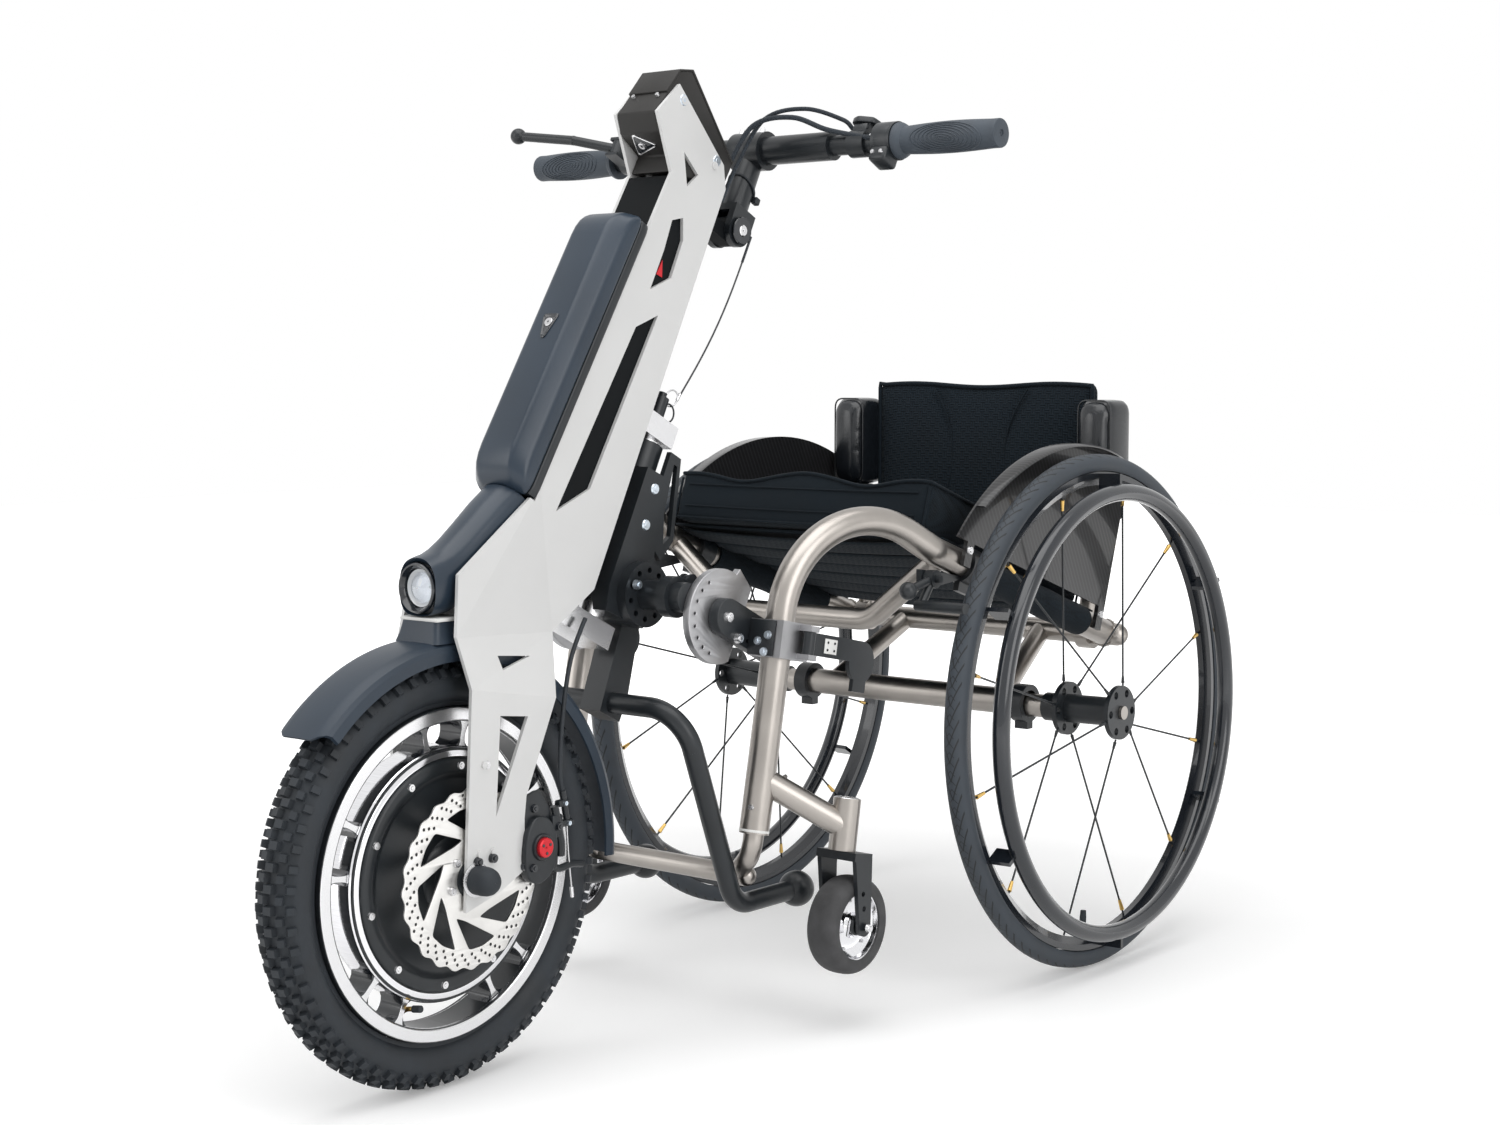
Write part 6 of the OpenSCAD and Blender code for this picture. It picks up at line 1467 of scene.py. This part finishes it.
class CHAIR_OT_back(bpy.types.Operator):
    """Makes the back panel with its seams and tape, and the leather bolsters"""

    bl_idname = "chair.back"
    bl_label = "Back"

    def execute(self, context):
        low_z, high_z, half = 486.0, 691.0, 164.0
        plan = []
        corner = [(-half, low_z), (half, low_z), (half, high_z), (-half, high_z)]
        for k in range(4):
            a, b = Vector(corner[k]), Vector(corner[(k + 1) % 4])
            for i in range(36):
                p = a.lerp(b, i / 36)
                if k == 2:
                    p.y -= 4.0 * math.cos(p.x / half * math.pi * 1.5) * 0.6 + 2.0
                plan.append((p.x, p.y))

        def place(x, z, h):
            return mm(x, 536.0 - h, z)

        def seam_x(z):
            return 40 + 46 * ((z - low_z) / (high_z - low_z) - 0.55) ** 2 * 4

        def top(x, z):
            swell = 1 - (x / half) ** 4
            groove = 2.4 * math.exp(-((abs(x) - seam_x(z)) / 7) ** 2)
            rise = max(0, min(1, (z - low_z) / (high_z - low_z)))
            return 22.0 + 4.5 * swell * math.sin(math.pi * rise) - groove

        bm = pillow(plan, place, 1.0, top, bulge=1.2, edge=5.0, inset=3.0, rings=18)

        def held(p):
            q = p / MM
            rim = min(abs(abs(q.x) - half), abs(q.z - low_z), abs(q.z - high_z))
            return rim < 8 or q.y > 533

        mesh = swollen("back_panel", bm, held, cap=0.005, pressure=3.0)
        panel = piece("back_panel", mesh, "backrest", "spacer_mesh", ("back_upholstery",), 60)
        front = [place(x, z, top(x, z) - 4.0) for x, z in plan]
        seam("back_tape", front, 3.0, "backrest", "strap_web", True)
        proud = 3.2
        for sign in (-1, 1):
            path = []
            for k in range(21):
                z = low_z + 6 + 193 * k / 20
                x = sign * seam_x(z)
                path.append(place(x, z, top(x, z) + proud))
            seam("back_seam_%d" % (sign + 1), path, 1.1, "backrest")
        for sign, label in SIDES:
            plan = rounded([(166, 557), (212, 557), (212, 671), (166, 671)], 13, 6)
            dense = []
            for k, p in enumerate(plan):
                q = plan[(k + 1) % len(plan)]
                steps = max(1, int(math.hypot(q[0] - p[0], q[1] - p[1]) / 6))
                dense += [(p[0] + (q[0] - p[0]) * i / steps, p[1] + (q[1] - p[1]) * i / steps)
                          for i in range(steps)]

            def set_out(x, z, h, sign=sign):
                return mm(sign * x, 531.0 - h, z)

            def face(x, z):
                return 63.0 - 0.012 * (x - 189) ** 2 - 0.0008 * (z - 614) ** 2

            bm = pillow(dense, set_out, 0.5, face, bulge=1.0, edge=12.0, inset=6.0)
            mesh = swollen("bolster_" + label, bm, lambda p: p.y > 0.528, cap=0.003, pressure=3.0)
            stands_for = ("back_bolsters",) if label == "left" else ()
            bolster = piece("bolster_" + label, mesh, "backrest", "bolster_leather", stands_for, 60)
            line = [set_out(x, z, 50.5) for x, z in dense]
            seam("bolster_seam_" + label, line, 1.1, "backrest", "bolster_leather", True)
            bm = bmesh.new()
            add_side_box(bm, sign, (168, 209), (472, 520), (524, 556), bevel=8, segments=3)
            from_bmesh("bolster_strap_" + label, bm, "backrest", "cover_cloth", angle=60)
        return {"FINISHED"}


# Controls


def grip_radius(t):
    """The grip's radius in millimetres along its length, inner end first."""
    if t < 0.045:
        return 19.6
    if t < 0.07:
        return 18.0
    return 14.9 + 1.9 * math.sin(math.pi * min(1.0, (t - 0.07) / 0.86)) + 0.5 * t


class CHAIR_OT_grips(bpy.types.Operator):
    """Makes the ribbed grips, the throttle's housing and the switch's hood"""

    bl_idname = "chair.grips"
    bl_label = "Grips"

    def execute(self, context):
        inner, length = 203.2, 128.0
        for sign, body, node in ((1, "throttle", "throttle"), (-1, "handlebar", "grip_right")):
            profile = [(grip_radius(k / 40), inner + length * k / 40) for k in range(41)]
            profile += [(15.0, 332.2), (13.0, 332.9)]
            if sign > 0:
                profile += [(4.0, 332.9), (3.4, 331.4), (0.6, 331.2), (0.6, 330.0)]
            else:
                profile += [(9.7, 332.9), (9.4, 332.5), (9.4, 329.0)]
            profile += [(11.3, 328.0), (11.3, inner)]
            turned("grip_body_" + body, flipped(profile, sign), BAR, body, "grip_rubber", (node,), 64)
            ribs = bmesh.new()
            for face in (math.radians(215), math.radians(35)):
                for k in range(8):
                    long, wide = 5.0 + 5.6 * k, math.radians(7 + 8.2 * k)
                    path = []
                    for a in around(36):
                        x = max(216.0, min(326.0, 272 + long * math.cos(a) + 6 * math.sin(a)))
                        r = grip_radius((x - inner) / length) + 0.15
                        path.append(BAR @ mm(sign * x, *polar(r, face + wide * math.sin(a))))
                    add_tube(ribs, path, 0.75 * MM, 6, True)
            from_bmesh("grip_ribs_" + body, ribs, body, "grip_rubber", angle=60)
        housing = [(11.4, 178.8), (18.6, 178.8), (20.2, 180.0), (21.0, 183.0), (21.0, 191.0), (20.2, 191.6),
                   (20.2, 192.6), (21.0, 193.2), (21.0, 199.0), (20.0, 202.0), (18.4, 202.8), (11.4, 202.8)]
        turned("throttle_housing", housing, BAR, "handlebar", "black_anodised", steps=56)
        bm = bmesh.new()
        add_box(bm, (179.5, -16, -31), (202, 10, -13), BAR, bevel=4, segments=3)
        add_box(bm, (143, -11.5, 9), (162, 11.5, 19.6), BAR, bevel=2.5, segments=2)
        from_bmesh("throttle_box", bm, "handlebar", "black_anodised")
        cap = rounded([(-13, -9), (-4, -13), (13, -8), (16, 4), (4, 12), (-12, 8)], 3, 3)
        lying = frame_matrix(BAR @ mm(152, 0, 24.2), STEER_UP, X_AXIS, STEER_BACK)
        mesh = flat_part("switch_hood", cap, [circle_points(0, 0, 5.5, 24)], 6.8, lying, 1.2, 3)
        piece("switch_hood", mesh, "handlebar", "black_anodised")
        spots = ((10.8, 0), (-10.6, 2))
        heads = [(BAR @ mm(172, y, z), STEER_BACK * math.copysign(1, y), (1, 0, 0)) for y, z in spots]
        heads += [(BAR @ mm(x, -15.9, -22), -STEER_BACK, (1, 0, 0)) for x in (185, 196)]
        screws("switch_screws", heads, 2.6, 2.0, "handlebar", "turned_steel")
        return {"FINISHED"}


# Routes of the brake hose and the switch lead from the middle of the bar
HOSE = ((-174.4, -24, 10), (-168, -24.2, 10.2), (-150, -30, 17), (-100, -40, 28), (-52, -46, 14),
        (-24, -42, -40), (-22, -46, -92))
LEAD = ((140.4, 0, 20), (134, -0.2, 20.2), (122, -8, 28), (80, -26, 34), (42, -42, 14), (24, -42, -40),
        (22, -46, -92))


class CHAIR_OT_cables(bpy.types.Operator):
    """Makes the brake hose, the sheathed leads, their tie and the lanyard of the release pin"""

    bl_idname = "chair.cables"
    bl_label = "Cables"

    def execute(self, context):
        top, bottom = BAR @ mm(0, -42, -30), BAR @ mm(0, -46, -88)
        extra = [(x - 6 if k else x + 37, y - 11 + k, z - 22 + 3 * k)
                 for k, (x, y, z) in enumerate(LEAD[:1] + LEAD[2:])]
        cables = (("brake_hose", HOSE, 2.6), ("switch_lead", LEAD, 2.5), ("throttle_lead", extra, 2.9))
        for name, route, radius in cables:
            path = smooth_path([BAR @ mm(*p) for p in route], 9)
            stands_for = ("cables",) if name == "brake_hose" else ()
            cable = tube(name, path, radius * MM, None, "hose_braid", 12, replaces=stands_for)
            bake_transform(cable)
            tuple(top)
            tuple(bottom)
            declare_cord(path)
        ties = bmesh.new()
        loop = [BAR @ mm(*polar(16.4, a), -46 - 9 * math.sin(a)) for a in around(28)]
        add_tube(ties, loop, 1.5 * MM, 6, True)
        add_box(ties, (9, 12, -59), (16, 20, -51), BAR, bevel=1.2)
        from_bmesh("cable_tie", ties, "handlebar", "tyre_rubber", angle=50)
        pin = mm(0, -126.718, 654.817)
        ring_at = pin + STEER_UP * 33 * MM + STEER_BACK * 6 * MM
        ring, ring_r = [], 9
        for a in around(30):
            spot = STEER_UP * math.sin(a) * ring_r + STEER_BACK * (ring_r + ring_r * math.cos(a))
            ring.append(ring_at + spot * MM + mm(2 * math.sin(a), 0, 0))
        tube("pin_ring", ring, 0.9 * MM, "release_pin", "turned_steel", 8, True)
        wire = context.scene.chair_shape.wire / 2
        low = ring_at + STEER_BACK * 2 * ring_r * MM
        high = Vector(joint("stem_tilt")["pos_m"]) + mm(23, 14, -6)
        path = []
        for k in range(15):
            slack = math.sin(math.pi * k / 14)
            path.append(low.lerp(high, k / 14) + mm(0, 7 * slack, -6 * slack))
        lanyard = tube("pin_wire", path, wire, None, "black_anodised", 6)
        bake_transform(lanyard)
        declare_cord(path)
        crimp = [low.lerp(high, 0.01), low.lerp(high, 0.05)]
        tube("pin_wire_crimp", crimp, 1.8 * MM, "release_pin", "machined_alloy", 8)
        tube("pin_wire_sleeve", path[-3:], 1.5 * MM, "steering", "tyre_rubber", 8)
        return {"FINISHED"}


class CHAIR_OT_stem_bolts(bpy.types.Operator):
    """Makes the bolts of the stem, its pivot and the brake perch"""

    bl_idname = "chair.stem_bolts"
    bl_label = "Stem bolts"

    def execute(self, context):
        pivot = Vector(joint("stem_tilt")["pos_m"])
        for sign, label in SIDES:
            place = Matrix.Translation(pivot + mm(22 * sign, 0, 0))
            washer = [(0.8, 0.0), (0.8, 1.6), (2.2, 1.8), (2.4, 2.6), (5.4, 2.6), (6.4, 1.8), (6.6, 0.0)]
            turned("stem_pivot_bolt_" + label, flipped(washer, sign), place, "handlebar", "machined_alloy",
                   steps=40)
            ring = [(6.7, -0.6), (6.7, 1.0), (14.6, 1.2), (15.4, 0.4), (15.4, -0.6)]
            turned("stem_pivot_ring_" + label, flipped(ring, sign), place, "handlebar", "black_gloss",
                   steps=48)
        heads = [(BAR @ mm(x, y, 15.8), STEER_UP, (1, 0, 0)) for x in (-15, 15) for y in (-11, 11)]
        screws("stem_clamp_bolts", heads, 3.6, 6.5, "handlebar", "machined_alloy")
        perch = [(BAR @ mm(-184, -30, z), -STEER_BACK, (1, 0, 0)) for z in (6, -6)]
        screws("perch_bolts", perch, 2.8, 3.0, "handlebar", "machined_alloy")
        return {"FINISHED"}


# Chair frame and coupling


def bead(name, rings, radius=1.7, count=72, sides=6):
    """Weld beads: rows of small overlapping puddles round the joints given as (centre, axis, radius)."""
    bm = bmesh.new()
    for centre, axis, r in rings:
        axis = Vector(axis).normalized()
        u = axis.orthogonal().normalized()
        v = axis.cross(u)
        path = [centre + (u * math.cos(a) + v * math.sin(a)) * r for a in around(count)]
        before = len(bm.verts)
        add_tube(bm, path, radius * MM, sides, True)
        bm.verts.ensure_lookup_table()
        for index in range(before, len(bm.verts)):
            ring = (index - before) // sides
            hub, vert = path[ring % count], bm.verts[index]
            vert.co = hub + (vert.co - hub) * (1.0 + 0.28 * math.sin(ring * 2 * math.pi / 3.0))
    from_bmesh(name, bm, "chair", "titanium_weld", angle=70)


class CHAIR_OT_frame_details(bpy.types.Operator):
    """Makes the frame's weld beads, tube mouths, caster lids, guard flanges and screws"""

    bl_idname = "chair.frame_details"
    bl_label = "Frame details"

    def execute(self, context):
        rings, mouths = [], []
        for sign in (-1, 1):
            rings.append((mm(sign * 143, -93.0, 262.0), (sign * 0.6, 0.5, -0.6), 16.5 * MM))
            rings.append((mm(sign * 200, 494.0, 382.0), (0, 0.95, -0.31), 16.4 * MM))
        end = mm(140, -127, 220.955)
        for sign in (-1, 1):
            place = Matrix.Translation(Vector((sign * end.x, end.y, end.z)))
            turn = place @ DOWN_TUBE.to_track_quat("X", "Z").to_matrix().to_4x4()
            ring = [(13.0, -1.5), (15.9, -1.5), (16.2, -0.6), (16.2, 1.2), (15.8, 1.8), (13.0, 1.8)]
            turned("tube_mouth_%d" % (sign + 1), ring, turn, "chair", "white_nylon", steps=48)
            spot = place.translation + DOWN_TUBE * 28 * MM + mm(sign * 4, -15.4, 0)
            mouths.append((spot, (0.1 * sign, -1, 0.2), (1, 0, 0)))
        screws("hanger_screws", mouths, 3.4, 2.0, "chair", "turned_steel")
        bead("frame_welds", rings)
        for sign, label in SIDES:
            swivel = joint("caster_%s_swivel" % label)
            cap, caster = Vector(swivel["pos_m"]), Vector(swivel["axis"]).normalized()
            if caster.z < 0:
                caster = -caster
            spots = [v.co - cap for v in NODES["caster_mounts"].data.vertices]
            over = [s.dot(caster) for s in spots if (s - caster * s.dot(caster)).length < 15.2 * MM]
            top = cap + caster * max(over)
            place = Matrix.Translation(top) @ caster.to_track_quat("X", "Z").to_matrix().to_4x4()
            lid = [(0.5, 0.2), (0.5, 1.4), (11.0, 1.3), (13.6, 0.6), (14.4, -0.6), (14.4, -3.0), (0.5, -3.0)]
            turned("caster_lid_" + label, lid, place, "chair", "machined_alloy", steps=48)
        flange = bmesh.new()
        guard_x, guard_r, steps = 224.5 * MM, 315.5 * MM, 40
        for sign in (-1, 1):
            loops = []
            for k in range(steps + 1):
                radial = radial_at(math.radians(61.5 + 66 * k / steps))
                p = Vector((sign * guard_x, REAR_HUB.y, REAR_HUB.z)) + radial * guard_r
                wide = 13.0 * math.sin(math.pi * (0.06 + 0.88 * k / steps)) ** 0.5 + 2.0
                lip = ((-4.5, -1.6), (wide * 0.8, -1.2), (wide, -2.6), (wide + 0.8, -2.2), (wide * 0.85, 0.8),
                       (-4.5, 1.4))
                loops.append([p + X_AXIS * sign * x * MM + radial * r * MM for x, r in lip])
            add_loops(flange, loops, caps=True)
        from_bmesh("guard_flanges", flange, "chair", "guard_laminate", angle=60)
        feet = [(sign, y) for sign in (-1, 1) for y in (39, 343)]
        guards = [(RAIL @ mm(sign * 221.2, y, 12), (sign, 0, 0), (0, 1, 0)) for sign, y in feet]
        screws("guard_screws", guards, 5.0, 2.2, "chair", "turned_steel")
        return {"FINISHED"}


class CHAIR_OT_coupling(bpy.types.Operator):
    """Makes the quadrants, arms, bolts and plates of the coupling and its clamps"""

    bl_idname = "chair.coupling"
    bl_label = "Coupling"

    def execute(self, context):
        heads = side_spots(30.0, ((-159.6, 581.8), (-174.2, 544.1)), 0.4)
        screws("housing_screws", heads, 6.0, 1.4, "chair", "zinc_plate")
        place = Matrix.Translation(mm(0, -185.758, 471.229))
        side = []
        for sign in (-1, 1):
            side += ring_places(place, 24.0, 2, sign * 44.2, 2.6, sign)
        screws("flange_pins", side, 5.4, 5.0, "chair", "zinc_plate")
        rise = DOWN_TUBE if DOWN_TUBE.z > 0 else -DOWN_TUBE
        ahead = rise.cross(X_AXIS)

        def spun(a, b, turn):
            turn = math.radians(turn)
            return (a * math.cos(turn) - b * math.sin(turn), a * math.sin(turn) + b * math.cos(turn))

        outline = [spun(50, 0, 56.3 + 228.7 * k / 60) for k in range(61)]
        outline += [spun(56, -14, 40), spun(56, 14, 40)]
        holes = [circle_points(*spun(41, 0, 115 + 130 * k / 7), 2.5, 14) for k in range(8)]
        arm_turn, arm_r, arm_l = -25.96, 19, 81.4
        bar = [spun(*spun(arm_r, 0, 90 + 180 * k / 16), arm_turn) for k in range(17)]
        bar += [spun(arm_l, -arm_r, arm_turn), spun(arm_l, arm_r, arm_turn)]
        eye = circle_points(29.2, -27.6, 3.2, 18)
        sockets, bolts = [], []
        hub = mm(0, -143.36, 448.71)
        for sign, label in SIDES:
            place = Matrix.Translation(hub + mm(sign * 102.55, 0, 0))
            mesh = flat_part("quadrant_" + label, outline, holes, 9.0, place, 0.8)
            stands_for = ("coupling_arms",) if sign > 0 else ()
            piece("quadrant_" + label, mesh, "chair", "cast_alloy", stands_for)
            place = Matrix.Translation(hub + mm(sign * 113.75, 0, 0))
            mesh = flat_part("arm_" + label, bar, [eye], 13.3, place, 1.0)
            piece("arm_" + label, mesh, "chair", "black_anodised")
            sockets += [(mm(sign * 120.6, y, z), (sign, 0, 0), (0, 1, 0.3))
                        for y, z in ((-148.3, 449.6), (-131.8, 425.9))]
            clamp = frame_matrix(mm(sign * 140, -87.22, 421.385), X_AXIS, ahead, rise)
            bm = bmesh.new()
            add_side_box(bm, sign, (-19.5, 15), (-26.2, -19), (-24.1, 19), clamp, bevel=0.8)
            from_bmesh("clamp_face_" + label, bm, "chair", "black_anodised")
            bolts += [(clamp @ mm(sign * x, -26.1, z), -ahead, (1, 0, 0))
                      for x, z in ((-6, -4), (7, 3), (4, -15))]
            body = "clamp_lever_" + label
            lever = frame_matrix(mm(sign * 173, -75.45, 419.05), X_AXIS, ahead, rise)
            bm = bmesh.new()
            add_side_box(bm, sign, (2.6, 3.6), (24, -8), (46, 8), lever, bevel=0.4)
            from_bmesh("lever_plate_" + label, bm, body, "white_nylon")
            dots = [(lever @ mm(sign * 3.7, y, z), (sign, 0, 0), (0, 1, 0)) for z in (4, -4) for y in (29, 41)]
            repeated("lever_dots_" + label, "cap", dots, 1.5, 0.5, 1.4 * MM, body, "black_gloss")
        screws("arm_sockets", sockets, 5.8, 5.0, "chair", "machined_alloy")
        screws("clamp_bolts", bolts, 4.8, 2.4, "chair", "zinc_plate")
        return {"FINISHED"}


class CHAIR_OT_finishes(bpy.types.Operator):
    """Makes the materials and gives the carried-over parts theirs"""

    bl_idname = "chair.finishes"
    bl_label = "Finishes"

    def execute(self, context):
        make_materials(context.scene.chair_finish)
        paint("titanium_blast", "frame_left", "frame_right", "cross_tubes", "camber_tube", "caster_mounts",
              "footrest", "back_posts")
        paint("black_anodised", "frame_clamps", "wheel_lock_left", "wheel_lock_right", "rear_hub_left",
              "rear_hub_right", "caster_fork_left", "caster_fork_right", "head_housing", "coupling_tube",
              "clamp_lever_left", "clamp_lever_right", "qr_lever_left", "qr_lever_right", "hub_motor",
              "brake_caliper", "release_pin", "stem", "handlebar", "brake_lever", "front_rim", "mast_cover",
              "parking_stand", "light_switch")
        # The controller case carries painted shade for the inside of the mast's windows.
        paint("case_shade_black", "controller_case")
        paint("black_gloss", "handrim_left", "handrim_right", "rear_rim_left", "rear_rim_right")
        paint("machined_alloy", "head_tube", "pivot_blocks")
        paint("cast_alloy", "coupling_arms", "tube_clamps")
        paint("turned_steel", "front_axle", "brake_rotor")
        paint("plate_coat", "mast_plate_left", "mast_plate_right")
        paint("casing_moulded", "battery", "headlight")
        paint("fender_moulded", "front_fender")
        paint("tyre_rubber", "rear_tyre_left", "rear_tyre_right", "front_tyre", "grip_right", "throttle",
              "cables")
        paint("caster_rubber", "caster_wheel_left", "caster_wheel_right")
        paint("cover_cloth", "seat_cushion", "seat_sling", "back_upholstery")
        paint("bolster_leather", "back_bolsters")
        paint("guard_laminate", "side_guards")
        paint("lens_clear", "headlight_lens")
        return {"FINISHED"}


def looking_rays(tree):
    """One for rays from the camera, or seen in metal or through glass"""
    rays = tree.nodes.new("ShaderNodeLightPath").outputs
    mirrored = calc(tree, "MAXIMUM", rays["Is Glossy Ray"], rays["Is Transmission Ray"])
    return calc(tree, "MAXIMUM", rays["Is Camera Ray"], mirrored)


CAMERA_PLACE = (1.6426, -1.9797, 0.7054)
CAMERA_TURN = (math.radians(90 - 4.76), 0, math.radians(39.15))
CAMERA_LENS = 54.684
FLOOR_HALF = 9
FLOOR_FADE = 4.0


class CHAIR_OT_studio(bpy.types.Operator):
    """Makes the pale floor, the soft lights and the camera"""

    bl_idname = "chair.studio"
    bl_label = "Studio"

    def execute(self, context):
        scene = context.scene
        camera = bpy.data.cameras.new("camera")
        camera.lens = CAMERA_LENS
        camera.sensor_width = 36.0
        camera.sensor_fit = "HORIZONTAL"
        eye = placed("camera", camera)
        eye.location = CAMERA_PLACE
        eye.rotation_euler = CAMERA_TURN
        scene.camera = eye

        world = bpy.data.worlds.new("studio")
        world.use_nodes = True
        scene.world = world
        tree = world.node_tree
        back = tree.nodes["Background"]
        set_to(back, "Color", (1, 1, 1, 1))
        feed(back, "Strength", span(tree, looking_rays(tree), 0.5, 1.0))

        floor = bpy.data.meshes.new("floor")
        corners = [(x * FLOOR_HALF, y * FLOOR_HALF, 0) for x, y in ((-1, -1), (1, -1), (1, 1), (-1, 1))]
        floor.from_pydata(corners, [], [(0, 1, 2, 3)])
        ground = placed("floor", floor)
        tree, shader, coords = blank_material("studio_floor")
        grain = group_node(tree, "grain", coords.outputs["Object"], Fine=60.0, Coarse=0.8)
        pale = ramp(tree, grain.outputs["Coarse"], 0.2, 0.8, (0.86, 0.86, 0.86), (0.88, 0.88, 0.88))
        feed(shader, "Base Color", pale)
        set_to(shader, "Roughness", 0.55)
        set_to(shader, "Specular IOR Level", 0.15)
        away = tree.nodes.new("ShaderNodeVectorMath")
        away.operation = "LENGTH"
        feed(away, 0, coords.outputs["Object"])
        far = calc(tree, "DIVIDE", away.outputs["Value"], FLOOR_FADE, clamp=True)
        glow = ramp(tree, far, 0.22, 0.75, (0.22, 0.22, 0.22), (1, 1, 1))
        feed(shader, "Emission Color", glow)
        feed(shader, "Emission Strength", looking_rays(tree))
        floor.materials.append(MATERIALS["studio_floor"])

        def lamp(name, place, aim, size, power):
            data = bpy.data.lights.new(name, "AREA")
            data.shape = "RECTANGLE"
            data.size, data.size_y = size
            data.energy = power
            light = placed(name, data)
            light.location = place
            light.rotation_euler = (Vector(aim) - Vector(place)).to_track_quat("-Z", "Y").to_euler()

        lamp("top_softbox", (0.4, -0.6, 3.2), (0, 0, 0.4), (3.0, 3.0), 62)
        lamp("side_softbox", (3.0, -0.6, 1.6), (0, 0, 0.5), (1.6, 2.2), 30)
        lamp("front_softbox", (-1.6, -3.0, 1.7), (0, 0, 0.5), (1.8, 2.0), 23)
        scene.view_settings.view_transform = "Standard"
        return {"FINISHED"}


STEPS = (CHAIR_OT_studio, CHAIR_OT_finishes, CHAIR_OT_cables, CHAIR_OT_front_tyre, CHAIR_OT_front_wheel,
         CHAIR_OT_rear_wheels, CHAIR_OT_casters, CHAIR_OT_battery, CHAIR_OT_mast, CHAIR_OT_headlight,
         CHAIR_OT_fender, CHAIR_OT_front_brake, CHAIR_OT_seat, CHAIR_OT_back, CHAIR_OT_grips,
         CHAIR_OT_stem_bolts, CHAIR_OT_frame_details, CHAIR_OT_coupling)


class CHAIR_PT_parts(bpy.types.Panel):
    """Lists the parts and their settings"""

    bl_idname = "CHAIR_PT_parts"
    bl_label = "Wheelchair"
    bl_space_type = "VIEW_3D"
    bl_region_type = "UI"
    bl_category = "Chair"

    def draw(self, context):
        for group in (context.scene.chair_finish, context.scene.chair_shape):
            for name in group.__annotations__:
                self.layout.prop(group, name)
        for step in STEPS:
            self.layout.operator(step.bl_idname)


CLASSES = (FinishSettings, ShapeSettings) + STEPS + (CHAIR_PT_parts,)


def register():
    for cls in CLASSES:
        bpy.utils.register_class(cls)
    bpy.types.Scene.chair_finish = bpy.props.PointerProperty(type=FinishSettings)
    bpy.types.Scene.chair_shape = bpy.props.PointerProperty(type=ShapeSettings)


def unregister():
    del bpy.types.Scene.chair_shape
    del bpy.types.Scene.chair_finish
    for cls in reversed(CLASSES):
        bpy.utils.unregister_class(cls)


def main():
    register()
    bpy.ops.chair.studio()
    bpy.ops.chair.finishes()
    bpy.ops.chair.cables()
    bpy.ops.chair.front_tyre()
    bpy.ops.chair.front_wheel()
    bpy.ops.chair.rear_wheels()
    bpy.ops.chair.casters()
    bpy.ops.chair.battery()
    bpy.ops.chair.mast()
    bpy.ops.chair.headlight()
    bpy.ops.chair.fender()
    bpy.ops.chair.front_brake()
    bpy.ops.chair.seat()
    bpy.ops.chair.back()
    bpy.ops.chair.grips()
    bpy.ops.chair.stem_bolts()
    bpy.ops.chair.frame_details()
    bpy.ops.chair.coupling()


if __name__ == "__main__":
    main()
